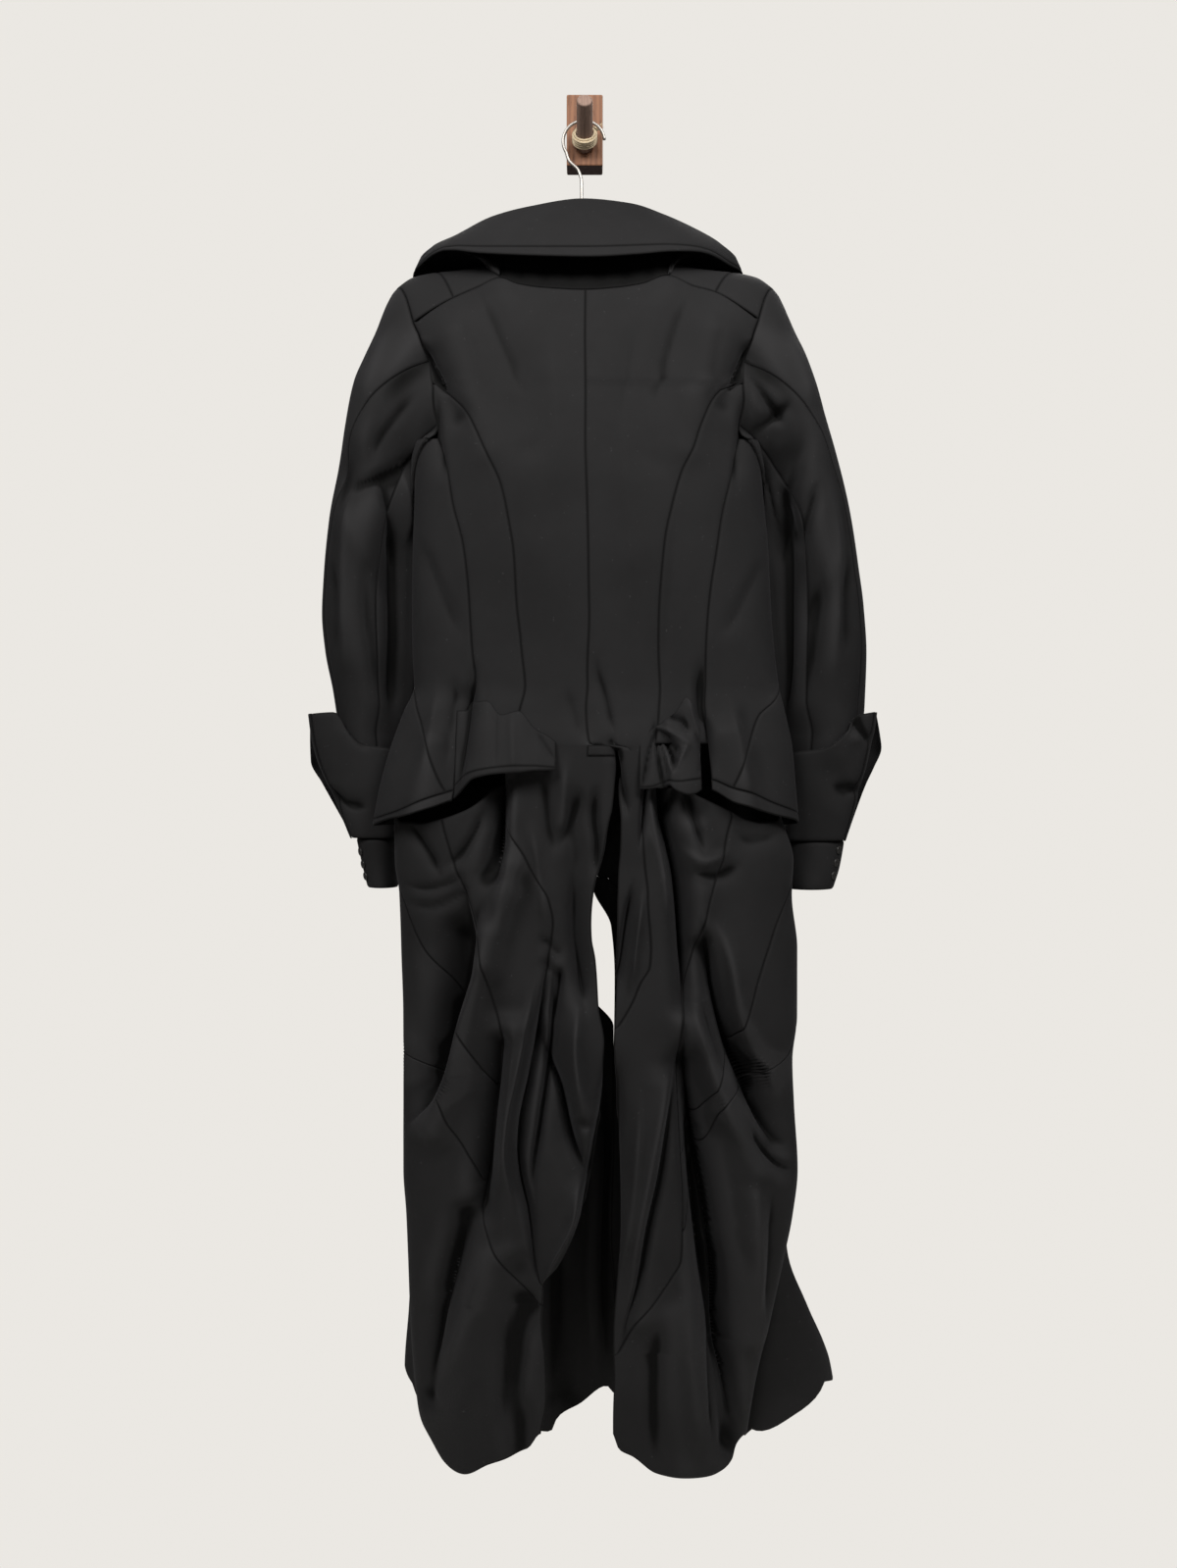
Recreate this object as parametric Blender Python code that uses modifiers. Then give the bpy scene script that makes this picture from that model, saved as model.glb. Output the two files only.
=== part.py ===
"""Long wool coat on a hanger, hung by a twine-wrapped peg from a wooden wall block.

Metres, +Z up. The origin is the centre of the block's back face, which lies on the wall plane y = 0.
The coat's back faces -Y. Tables are in millimetres, top to bottom, and MM turns them into metres.

Each cloth piece is cut from one of a few smooth shells (torso, skirt, sleeve, cuff). A shell reads
its section at every height from a table, and a pair of seam lines bounds each piece on it, so that
neighbours share their seam and stay one seam gap apart.
"""

import math
from collections import namedtuple

import bmesh
import bpy
import numpy as np
from mathutils import Matrix, Vector

MM = 0.001
CLOTH = 2.0 * MM            # wall thickness of the wool
SEAM = 0.3 * MM             # gap between two pieces at a seam
SOFT_FIT = 0.4 * MM         # clearance of a cloth piece that lies on something

# Wall block, peg and twine
BLOCK_SIZE = (41 * MM, 26 * MM, 81 * MM)
BLOCK_BEVEL = 1.6 * MM
PEG_RADIUS = 9.3 * MM
PEG_LENGTH = 60 * MM
PEG_RISE = math.radians(24)
PEG_HEIGHT = -17 * MM       # of the peg's axis at the block's face
TWINE_RADIUS = 1.3 * MM
TWINE_TURNS = 4
TWINE_START = 6.6 * MM      # along the peg from the block's face

# Hanger
HOOK_WIRE = 1.75 * MM
HOOK_RADIUS = 23.2 * MM
HOOK_DEPTH = -42 * MM       # y of the hook's plane at the peg
HOOK_LIFT = -20.5 * MM      # height of the hook's centre, so that its wire rests on the peg
HANGER_DEPTH = -53 * MM     # y of the hanger's bar
HANGER_RADIUS = 6.5 * MM
HANGER_REACH = 170 * MM

# Shoulder line: height of the ridge over the hanger, by distance from the centre
RIDGE = ((0, -160), (80, -163), (110, -168), (140, -172), (167, -174.5), (190, -179), (205, -188), (219, -201))
# Distance from the centre at the yoke's back seam, its ridge and its front seam
NECK_CORNER = (92, 97, 96)
CROSS_SEAM = (142, 168, 160)
SHOULDER_TIP = {"l": (186, 214, 203), "r": (189, 216, 206)}
RIDGE_DEPTH = -54 * MM      # y of the ridge
RIDGE_ROUND = 70 * MM       # drop over which the shoulder rounds into the back
RIDGE_ROUND_FRONT = 45 * MM

Section = namedtuple("Section", "z left right front_left front_right back side front fullness")
TORSO_SECTIONS = (
    #        z   left right  f_left f_right back side front fullness
    Section(-160, -236, 240, -236, 240, -106, -54, -22, 3.0),
    Section(-210, -232, 236, -232, 236, -112, -56, -20, 3.0),
    Section(-262, -222, 226, -222, 226, -122, -62, -17, 3.0),
    Section(-320, -204, 210, -204, 210, -131, -68, -14, 3.0),
    Section(-372, -187, 193, -187, 193, -136, -72, -13, 3.0),
    Section(-421, -187, 196, -183, 192, -138, -74, -13, 3.0),
    Section(-485, -189, 202, -184, 194, -136, -74, -13, 3.0),
    Section(-550, -190, 205, -184, 194, -131, -74, -14, 3.0),
    Section(-600, -189, 209, -183, 194, -128, -76, -15, 3.0),
    Section(-636, -187, 213, -180, 194, -127, -80, -16, 3.0),
    Section(-665, -198, 219, -180, 196, -130, -86, -16, 3.0),
    Section(-703, -211, 226, -182, 198, -137, -92, -15, 3.0),
    Section(-745, -222, 229, -184, 200, -146, -97, -14, 3.0),
    Section(-785, -229, 232, -186, 202, -152, -100, -13, 3.0),
)
SKIRT_SECTIONS = (
    Section(-703, -184, 194, -168, 184, -137, -92, -28, 3.0),
    Section(-745, -196, 203, -170, 182, -138, -97, -26, 3.0),
    Section(-785, -206, 215, -174, 188, -139, -99, -24, 3.0),
    Section(-827, -206, 227, -182, 198, -140, -94, -21, 3.0),
    Section(-862, -202, 226, -188, 205, -143, -88, -18, 3.0),
    Section(-923, -201, 233, -190, 210, -145, -80, -17, 3.0),
    Section(-996, -199, 233, -190, 212, -146, -79, -16, 3.0),
    Section(-1045, -199, 228, -190, 212, -146, -78, -16, 3.0),
    Section(-1094, -199, 230, -190, 214, -146, -77, -15, 3.0),
    Section(-1166, -199, 234, -190, 218, -146, -76, -14, 3.0),
    Section(-1213, -196, 229, -192, 222, -146, -75, -14, 3.0),
    Section(-1264, -194, 219, -196, 232, -145, -74, -13, 3.0),
    Section(-1324, -192, 206, -204, 260, -144, -73, -12, 3.0),
    Section(-1390, -188, 190, -212, 288, -143, -72, -12, 3.0),
    Section(-1460, -178, 178, -214, 298, -142, -72, -12, 3.0),
    Section(-1500, -170, 170, -214, 300, -142, -72, -12, 3.0),
)
JOIN_TOP, JOIN_BOTTOM = -704, -745   # the centre backs pass from the torso's form to the skirt's

# Upper edge of the back and front panels: neck seam in the middle, yoke seam to each side
TORSO_TOP_BACK = ((-186, -242), (-151, -221), (-115, -203), (-92, -193), (-73, -202), (-46, -207.5),
                  (0, -210.5), (36, -207.5), (63, -202), (90, -190), (118, -202), (139, -208),
                  (178, -231), (189, -238))
TORSO_TOP_FRONT = ((-205, -226), (-180, -222), (-140, -212), (-96, -204), (-70, -240), (-40, -262),
                   (0, -272), (40, -262), (70, -240), (96, -204), (140, -212), (180, -222), (205, -226))
# Peplum: hem seam and the lower edge of its band
PEPLUM_SEAM = ((-229, -783), (-188, -769), (-173, -762), (-147, -752), (-137, -749), (0, -745),
               (132, -738), (155, -747), (177, -753), (198, -762), (230, -774))
PEPLUM_EDGE = ((-229, -789), (-205, -780), (-193, -778), (-157, -767), (-139, -760), (0, -755),
               (132, -749), (157, -763), (168, -766), (202, -776), (230, -782))
PEPLUM_SEAM_FRONT, PEPLUM_EDGE_FRONT = -778, -789
# Skirt: upper edge, a cowl dipping under the peplum on each side, and the hem
SKIRT_TOP_BACK = ((-208, -752), (-200, -770), (-190, -783), (-167, -785), (-152, -782), (-122, -775),
                  (-107, -769), (-98, -755), (-88, -745), (0, -745), (66, -745), (100, -748),
                  (122, -757), (150, -772), (165, -781), (177, -784), (193, -783), (207, -776), (222, -756))
SKIRT_TOP_FRONT = -745
HEM_BACK = ((-186, -1405), (-181, -1430), (-164, -1450), (-148, -1466), (-127, -1474), (-102, -1463),
            (-61, -1447), (-45, -1428), (27, -1425), (36, -1444), (51, -1452), (76, -1470), (105, -1477),
            (138, -1481), (152, -1479), (165, -1474), (174, -1460), (184, -1425))
HEM_FRONT = ((-212, -1375), (-199, -1396), (-120, -1452), (-40, -1484), (-31, -1468), (-6, -1454),
             (26, -1432), (34, -1440), (90, -1468), (188, -1476), (233, -1447), (262, -1424), (272, -1410))

# Seam lines. Side B is the back and F the front; x is where the seam lies at height z.
ARMHOLE_BACK_L = (("B", -186, -242), ("B", -176, -268), ("B", -169, -295), ("B", -165, -312),
                  ("B", -163, -345), ("B", -161, -370))
ARMHOLE_BACK_R = (("B", 189, -238), ("B", 180, -267), ("B", 174, -294), ("B", 172, -313),
                  ("B", 172, -343), ("B", 170, -370))
ARMHOLE_FRONT_L = (("F", -203, -226), ("F", -180, -256), ("F", -164, -295), ("F", -158, -335),
                   ("F", -163, -370))
ARMHOLE_FRONT_R = (("F", 206, -226), ("F", 184, -256), ("F", 170, -295), ("F", 164, -335),
                   ("F", 169, -370))
# First princess seam, running down into the skirt's first spiral seam
PRINCESS_L = (("B", -162, -312), ("B", -146, -326), ("B", -128, -344), ("B", -115, -366),
              ("B", -103, -393), ("B", -89, -425), ("B", -81, -461), ("B", -75, -500), ("B", -72, -553),
              ("B", -68, -590), ("B", -66, -654), ("B", -78, -700), ("B", -88, -745), ("B", -83, -789),
              ("B", -64, -818), ("B", -52, -842), ("B", -38, -864), ("B", -33, -887), ("B", -35, -907),
              ("B", -50, -996), ("B", -60, -1051), ("B", -70, -1099), ("B", -72, -1131),
              ("B", -70, -1153), ("B", -60, -1196), ("B", -52, -1249), ("B", -46.5, -1270))
PRINCESS_R = (("B", 169, -312), ("B", 146, -322), ("B", 134, -338), ("B", 126, -355), ("B", 116, -384),
              ("B", 103, -412), ("B", 93, -448), ("B", 86, -481), ("B", 81, -533), ("B", 79, -593),
              ("B", 78, -679), ("B", 70, -715), ("B", 66, -745), ("B", 61, -788), ("B", 63, -820),
              ("B", 67, -860), ("B", 70, -910), ("B", 69, -935), ("B", 59, -953), ("B", 50, -974),
              ("B", 34.5, -1000))
SIDE_BACK_L = (("B", -161, -370), ("B", -158, -377), ("B", -148, -405), ("B", -141, -443), ("B", -130, -486),
               ("B", -125, -525), ("B", -123, -553), ("B", -121, -588), ("B", -117, -630),
               ("B", -127, -662), ("B", -139, -749))
SIDE_BACK_R = (("B", 170, -370), ("B", 168, -377), ("B", 159, -409), ("B", 146, -461), ("B", 139, -507),
               ("B", 136, -525), ("B", 131, -575), ("B", 129, -634), ("B", 128, -662), ("B", 134, -745))
SIDE_FRONT_L = (("F", -163, -370), ("F", -166, -450), ("F", -174, -550), ("F", -186.9, -637))
SIDE_FRONT_R = (("F", 169, -370), ("F", 173, -450), ("F", 190, -550), ("F", 212.9, -637))
GODET_BACK_L = (("B", -186.9, -637), ("B", -184, -650), ("B", -178, -670), ("B", -165, -703), ("B", -147, -752))
GODET_BACK_R = (("B", 212.9, -637), ("B", 208, -650), ("B", 187, -670), ("B", 174, -703), ("B", 156, -745))
GODET_FRONT_L = (("F", -186.9, -637), ("F", -174, -670), ("F", -158, -710), ("F", -146, -775))
GODET_FRONT_R = (("F", 212.9, -637), ("F", 190, -670), ("F", 172, -710), ("F", 160, -775))
CENTRE_L = (("B", 1, -210), ("B", 4, -491), ("B", 7, -554), ("B", 8, -690), ("B", 22, -700), ("B", 34, -715),
            ("B", 33, -739), ("B", 30, -766), ("B", 24, -792), ("B", 14, -835), ("B", 9, -859), ("B", 7, -907),
            ("B", 11, -929), ("B", 15, -978), ("B", 21, -1018), ("B", 20, -1049), ("B", 16, -1093),
            ("B", 12, -1113), ("B", 3, -1168), ("B", -3, -1197), ("B", -15, -1227), ("B", -28, -1251),
            ("B", -43, -1270), ("B", -45, -1300), ("B", -41, -1350), ("B", -40, -1390), ("B", -45, -1430),
            ("B", -45, -1460))
CENTRE_R = (("B", 1, -210), ("B", 4, -491), ("B", 7, -554), ("B", 8, -690), ("B", 23, -700), ("B", 36, -715),
            ("B", 38, -740), ("B", 38, -770),
            ("B", 36, -830), ("B", 35, -890), ("B", 34, -940), ("B", 31, -1005), ("B", 35, -1060),
            ("B", 37, -1150), ("B", 36, -1238), ("B", 31, -1301), ("B", 31, -1377), ("B", 30, -1430),
            ("B", 32, -1460))
FRONT_EDGE_L = (("F", -1, -272), ("F", -1, -640), ("F", -6, -745), ("F", -9, -790), ("F", -8, -860),
                ("F", -8, -950), ("F", 4, -985), ("F", 26, -1030), ("F", 27, -1120), ("F", 28, -1432))
FRONT_EDGE_R = (("F", 1, -272), ("F", 1, -640), ("F", 6, -745), ("F", 12, -790), ("F", 13, -862),
                ("F", 30, -905), ("F", 34, -955), ("F", 34, -990), ("F", 33, -1040), ("F", 35, -1432))
# Spiral seams of the skirt, which climb round the outer side on to the hidden front
SPIRAL_1_L = (("B", -152, -781), ("B", -147, -800), ("B", -136, -836), ("B", -115, -890), ("B", -103, -939),
              ("B", -96, -968), ("B", -87, -1011), ("B", -94, -1064), ("B", -101, -1123), ("B", -108, -1169),
              ("B", -111, -1195), ("B", -102, -1218), ("B", -84, -1249), ("B", -64, -1272), ("B", -48, -1291))
SPIRAL_2_L = (("F", -60, -746), ("F", -130, -785), ("F", -178, -818), ("F", -204, -848), ("B", -197, -866), ("B", -177, -920),
              ("B", -158, -951), ("B", -142, -983), ("B", -116, -1030), ("B", -97, -1064))
SPIRAL_3_L = (("F", -12, -846), ("F", -80, -920), ("F", -150, -985), ("F", -188, -1025), ("B", -192, -1045),
              ("B", -153, -1075), ("B", -142, -1105), ("B", -129, -1126), ("B", -118, -1148), ("B", -111, -1168))
SPIRAL_1_R = (("B", 158, -782), ("B", 149, -812), ("B", 140, -842), ("B", 126, -891), ("B", 116, -920),
              ("B", 108, -951), ("B", 105, -975), ("B", 102, -1010), ("B", 103, -1136), ("B", 104, -1215),
              ("B", 102, -1245), ("B", 92, -1262), ("B", 72, -1288), ("B", 53, -1310), ("B", 42, -1330),
              ("B", 34.5, -1344))
SPIRAL_2_R = (("F", 60, -746), ("F", 140, -780), ("F", 200, -826), ("B", 225, -850), ("B", 202, -903),
              ("B", 186, -948), ("B", 175, -983), ("B", 159, -1020), ("B", 138, -1062), ("B", 118, -1100),
              ("B", 106, -1136))
SPIRAL_3_R = (("F", 26, -850), ("F", 100, -920), ("F", 170, -965), ("F", 232.8, -1000), ("B", 222, -1035),
              ("B", 180, -1058), ("B", 143, -1083), ("B", 135, -1109), ("B", 120, -1150), ("B", 107, -1213))

# Folds: depth is outward when positive; width is how far it spreads from its path of (x, z) points
Fold = namedtuple("Fold", "side depth width path")
TORSO_FOLDS = (
    Fold("B", -9, 15, ((-116, -214), (-104, -238), (-86, -280), (-63, -323), (-60, -380))),
    Fold("B", 5, 22, ((-140, -262), (-118, -330), (-104, -385))),
    Fold("B", -9, 15, ((117, -212), (103, -238), (90, -280), (77, -330), (72, -390))),
    Fold("B", 5, 22, ((140, -258), (120, -325), (108, -385))),
    Fold("B", -7, 13, ((-168, -285), (-152, -318), (-136, -350))),
    Fold("B", -7, 13, ((174, -280), (163, -305), (150, -335))),
    Fold("B", -6, 14, ((-127, -655), (-133, -700), (-139, -748))),
    Fold("B", 7, 18, ((-160, -700), (-170, -745), (-176, -775))),
    Fold("B", 7, 18, ((150, -690), (160, -725), (166, -765))),
    Fold("F", -5, 30, ((-90, -300), (-70, -450), (-80, -600))),
    Fold("F", -5, 30, ((90, -320), (75, -460), (84, -610))),
)
SKIRT_FOLDS = (
    Fold("B", -16, 13, ((-92, -742), (-92, -792), (-97, -838))),
    Fold("B", 9, 16, ((-80, -830), (-90, -880), (-101, -930))),
    Fold("B", -16, 20, ((-140, -905), (-150, -960), (-165, -1020), (-180, -1070))),
    Fold("B", 10, 18, ((-106, -900), (-112, -950), (-122, -1000), (-136, -1060), (-160, -1110))),
    Fold("B", -14, 14, ((-88, -1020), (-96, -1064), (-103, -1123), (-108, -1185))),
    Fold("B", 10, 18, ((-75, -1000), (-84, -1100), (-86, -1170), (-78, -1225))),
    Fold("B", -10, 16, ((-48, -1010), (-30, -1061), (-18, -1115), (-4, -1150))),
    Fold("B", 8, 16, ((-8, -980), (-8, -1060), (2, -1100))),
    Fold("B", -12, 16, ((-128, -1203), (-145, -1265), (-161, -1317), (-172, -1400))),
    Fold("B", 8, 22, ((-98, -1245), (-120, -1320), (-140, -1400), (-135, -1480))),
    Fold("B", -9, 14, ((-64, -1290), (-70, -1370), (-68, -1450))),
    Fold("B", -13, 12, ((79, -745), (83, -780), (97, -842), (101, -896), (104, -975))),
    Fold("B", 8, 16, ((118, -790), (124, -840), (120, -900))),
    Fold("B", -12, 16, ((125, -915), (142, -975), (157, -1020), (174, -1051), (192, -1088), (208, -1130))),
    Fold("B", 9, 18, ((112, -985), (135, -1045), (160, -1100), (182, -1150))),
    Fold("B", -22, 18, ((108, -1040), (117, -1100), (126, -1160), (136, -1220), (146, -1290), (154, -1370),
                        (164, -1450))),
    Fold("B", 8, 20, ((80, -1060), (70, -1150), (66, -1230), (60, -1300))),
    Fold("B", 7, 18, ((92, -1300), (96, -1380), (104, -1460))),
    Fold("B", 8, 14, ((178, -1180), (182, -1260), (184, -1340))),
    Fold("F", 6, 24, ((-140, -900), (-132, -1100), (-150, -1400))),
    Fold("F", -7, 22, ((-80, -860), (-70, -1100), (-85, -1420))),
    Fold("F", 6, 24, ((-30, -1050), (-20, -1240), (-24, -1440))),
    Fold("F", -7, 22, ((96, -880), (104, -1120), (120, -1430))),
    Fold("F", 6, 24, ((160, -900), (172, -1120), (200, -1380))),
)

# Sleeves: z, outer and inner edge seen from behind, back and front
Sleeve = namedtuple("Sleeve", "z outer inner back front")
SLEEVE_L = (
    Sleeve(-190, -216, -150, -86, -26), Sleeve(-213, -226, -160, -90, -22), Sleeve(-239, -234, -168, -96, -18),
    Sleeve(-274, -247, -178, -103, -15), Sleeve(-297, -255, -184, -107, -14), Sleeve(-350, -265, -190, -110, -13),
    Sleeve(-398, -273, -194, -108, -13), Sleeve(-450, -283, -195, -105, -12), Sleeve(-517, -290, -196, -100, -12),
    Sleeve(-556, -292, -197, -96, -12), Sleeve(-595, -289, -198, -90, -12), Sleeve(-640, -281, -203, -80, -13),
    Sleeve(-720, -270, -206.5, -73, -15),
)
SLEEVE_R = (
    Sleeve(-190, 218, 150, -86, -26), Sleeve(-213, 227, 160, -90, -22), Sleeve(-239, 236, 168, -96, -18),
    Sleeve(-268, 247, 180, -102, -15), Sleeve(-334, 265, 192, -109, -13), Sleeve(-382, 279, 199, -109, -13),
    Sleeve(-424, 290, 203, -107, -12), Sleeve(-458, 297, 205, -104, -12), Sleeve(-503, 304, 208, -101, -12),
    Sleeve(-545, 310, 211, -97, -12), Sleeve(-601, 314, 215, -90, -12), Sleeve(-656, 313, 221, -79, -13),
    Sleeve(-720, 303, 225, -73, -15),
)
SLEEVE_SETTLE = 0.28        # share of the sleeve's length over which the armhole's form dies away
SLEEVE_END_L = ((-275, -664), (-258, -688), (-240, -700), (-205, -704))   # x, z of the seam with the cuff
SLEEVE_END_R = ((300, -668), (284, -690), (262, -704), (224, -708))
# Sleeve seams as turns round the tube, from 0 on the outer edge through 0.25 on the back to 0.5 inside
SLEEVE_SEAM_OUT_L = ((0.00, 0.235), (0.10, 0.20), (0.22, 0.16), (0.35, 0.115), (0.50, 0.09), (0.70, 0.07), (1.00, 0.075))
SLEEVE_SEAM_IN_L = ((0.00, 0.375), (0.20, 0.34), (0.40, 0.30), (0.60, 0.285), (0.80, 0.285), (1.00, 0.30))
SLEEVE_SEAM_OUT_R = ((0.00, 0.235), (0.10, 0.20), (0.22, 0.165), (0.35, 0.125), (0.50, 0.10), (0.75, 0.09), (1.00, 0.11))
SLEEVE_SEAM_IN_R = ((0.00, 0.375), (0.20, 0.33), (0.40, 0.275), (0.60, 0.285), (0.80, 0.30), (1.00, 0.31))
SLEEVE_SEAM_UNDER = 0.80    # the under panel's seam on the hidden front
# Sleeve folds: depth, width, path of (turn, share of length)
SLEEVE_FOLDS_L = ((-8, 0.055, ((0.36, 0.16), (0.28, 0.26), (0.20, 0.34), (0.12, 0.40))),
                  (5, 0.060, ((0.34, 0.26), (0.27, 0.36), (0.22, 0.46))),
                  (-5, 0.050, ((0.33, 0.40), (0.30, 0.52))))
SLEEVE_FOLDS_R = ((-8, 0.055, ((0.36, 0.14), (0.28, 0.22), (0.36, 0.32))),
                  (5, 0.060, ((0.30, 0.30), (0.24, 0.42), (0.22, 0.55))),
                  (-5, 0.050, ((0.36, 0.34), (0.30, 0.46), (0.26, 0.60))))

# Cuffs: z, inner edge, outer edge of the near layer and of the far layer, back and front
Wing = namedtuple("Wing", "z inner near far back front")
WING_L = (
    Wing(-666, -201, -306, -313, -80, -10), Wing(-690, -201, -303, -313, -79, -10),
    Wing(-718, -202, -296, -312, -77, -10), Wing(-742, -205, -286, -299, -75, -11),
    Wing(-765, -208, -276, -286, -73, -12), Wing(-786, -210, -267, -274, -72, -13),
    Wing(-803, -210, -260, -264, -72, -14),
)
WING_R = (
    Wing(-662, 221, 324, 332, -80, -10), Wing(-685, 220, 321, 336, -79, -10),
    Wing(-702, 219.5, 317, 338, -78, -10), Wing(-725, 221.5, 312, 329, -76, -11),
    Wing(-744, 226, 307, 320, -75, -11), Wing(-775, 229, 299, 308, -73, -13),
    Wing(-806, 230, 290, 297, -72, -14),
)
SLEEVE_TUCK = 5 * MM        # how far a sleeve's end reaches into its flared cuff
WING_OPEN = (20, 7)         # half gap between the two layers at the outer edge, at the top and bottom
# Narrow cuffs: z, outer, inner, back, front
CUFF_L = (Sleeve(-790, -259, -212, -70, -16), Sleeve(-830, -250, -210, -71, -18), Sleeve(-858, -243, -209, -72, -20))
CUFF_R = (Sleeve(-790, 294, 231, -70, -16), Sleeve(-835, 286, 232, -71, -18), Sleeve(-860, 278, 232, -72, -20))
CUFF_SIDES = 14
BUTTON_RADIUS = 4.5 * MM
BUTTON_THICK = 2.2 * MM
BUTTONS_L = (-818, -832, -845)   # heights on each narrow cuff
BUTTONS_R = (-816, -830, -844)

# Collar: its fold and the outer edge of its fall at places numbered round the neck, 0 and 16 at the front
Collar = namedtuple("Collar", "fold edge")
COLLAR = (
    Collar((-86, -13, -240), (-108, -8, -262)), Collar((-130, -15, -205), (-150, -11, -216)),
    Collar((-168, -34, -167), (-184, -28, -182)), Collar((-182, -50, -156), (-193, -46, -174)),
    Collar((-168, -60, -146), (-180, -62, -166)), Collar((-142, -68, -138), (-155, -82, -161)),
    Collar((-100, -76, -120), (-112, -98, -171)), Collar((-58, -81, -111), (-64, -106, -177)),
    Collar((-2, -84, -104), (3, -109, -180)),
    Collar((50, -81, -108), (56, -106, -176)), Collar((86, -76, -118), (96, -98, -169)),
    Collar((122, -68, -131), (133, -82, -164)), Collar((150, -60, -143), (160, -62, -168)),
    Collar((168, -50, -156), (178, -46, -172)), Collar((158, -34, -166), (172, -28, -180)),
    Collar((124, -15, -205), (142, -11, -216)), Collar((84, -13, -240), (104, -8, -262)),
)
COLLAR_YOKE = (5.2, 4.4, 3.6, 3.0, 2.2, 1.6, 1.1)   # places of the yoke's rows, from its back seam to its front one
COLLAR_BACK = (6.4, 7.2, 8.0)                       # places of the centre back's columns inward from the yoke
COLLAR_FOLD = 3.6 * MM      # outer radius of the fold
COLLAR_BAND = 0.16          # share of the fall's height that its edge band takes
COLLAR_BULGE = 5 * MM       # how far the fall rounds outward over its fold

# Flaps folded out of the peplum over the centre backs: x across, upper edge, hem seam, band edge, lift
Flap = namedtuple("Flap", "x top seam edge lift_top lift_edge")
FLAP_L = (
    Flap(-129, -668, -735, -748, 4, 9), Flap(-118, -655, -730, -738, 4, 13), Flap(-104, -654, -727, -734, 4, 16),
    Flap(-88, -669, -725, -732, 5, 17), Flap(-70, -665, -724, -731, 6, 16), Flap(-52, -684, -724, -729, 6, 13),
    Flap(-38, -692, -725, -728.5, 5, 9), Flap(-30, -698, -725.5, -728, 4, 7),
)
FLAP_R = (
    Flap(81, -677, -735, -742, 2.8, 8), Flap(90, -673, -740, -746, 5, 14), Flap(100, -668, -740, -750, 5, 17),
    Flap(108, -658, -739, -753, 5, 16), Flap(117, -668, -738, -752, 5, 13), Flap(124, -682, -737, -747, 2.8, 8),
)

WOOL = (0.018, 0.018, 0.020, 1.0)
COLOURS = {
    "wool": (WOOL, 0.75, 0.0),
    "button": ((0.02, 0.02, 0.022, 1.0), 0.35, 0.0),
    "block_wood": ((0.26, 0.11, 0.06, 1.0), 0.55, 0.0),
    "peg_wood": ((0.30, 0.22, 0.15, 1.0), 0.6, 0.0),
    "hanger_wood": ((0.45, 0.28, 0.14, 1.0), 0.5, 0.0),
    "steel": ((0.62, 0.62, 0.64, 1.0), 0.3, 1.0),
    "twine": ((0.45, 0.33, 0.20, 1.0), 0.9, 0.0),
}


# ---- reading curves and tables -------------------------------------------------------------------

def smooth(at, xs, ys):
    """Height at `at` of a smooth curve through (xs, ys), xs rising, that never overshoots its points."""
    xs, ys = np.asarray(xs, float), np.asarray(ys, float)
    run = np.diff(xs)
    rise = np.diff(ys) / run
    slope = np.zeros(len(xs))
    same = rise[:-1] * rise[1:] > 0
    slope[1:-1][same] = (2 * rise[:-1] * rise[1:] / (rise[:-1] + rise[1:] + 1e-300))[same]
    slope[0], slope[-1] = rise[0], rise[-1]
    at = np.clip(at, xs[0], xs[-1])
    k = np.clip(np.searchsorted(xs, at, side="right") - 1, 0, len(xs) - 2)
    t = (at - xs[k]) / run[k]
    ends = (1 + 2 * t) * (1 - t) ** 2 * ys[k] + t * t * (3 - 2 * t) * ys[k + 1]
    return ends + run[k] * (t * (1 - t) ** 2 * slope[k] - t * t * (1 - t) * slope[k + 1])


def ease(t):
    """0 to 1 with level ends."""
    t = np.clip(t, 0, 1)
    return t * t * (3 - 2 * t)


def columns(rows):
    """The named columns of a table in millimetres, as arrays in metres with z rising."""
    names = rows[0]._fields
    data = np.array(rows, float)[::-1]
    return {name: data[:, i] * (1 if name == "fullness" else MM) for i, name in enumerate(names)}


def curve(points):
    """A height curve over x from (x, z) points in millimetres."""
    data = np.array(points, float) * MM
    return lambda x: smooth(x, data[:, 0], data[:, 1])


def level_curve(height):
    return lambda x: np.full(np.shape(x), height * MM)


def path_distance(x, z, path):
    """Distance of every (x, z) from a chain of points."""
    best = np.full(np.shape(x), 1e9)
    for (x0, z0), (x1, z1) in zip(path[:-1], path[1:]):
        along = np.clip(((x - x0) * (x1 - x0) + (z - z0) * (z1 - z0)) / ((x1 - x0) ** 2 + (z1 - z0) ** 2), 0, 1)
        best = np.minimum(best, np.hypot(x - x0 - along * (x1 - x0), z - z0 - along * (z1 - z0)))
    return best


# ---- shells ----------------------------------------------------------------------------------------

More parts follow.
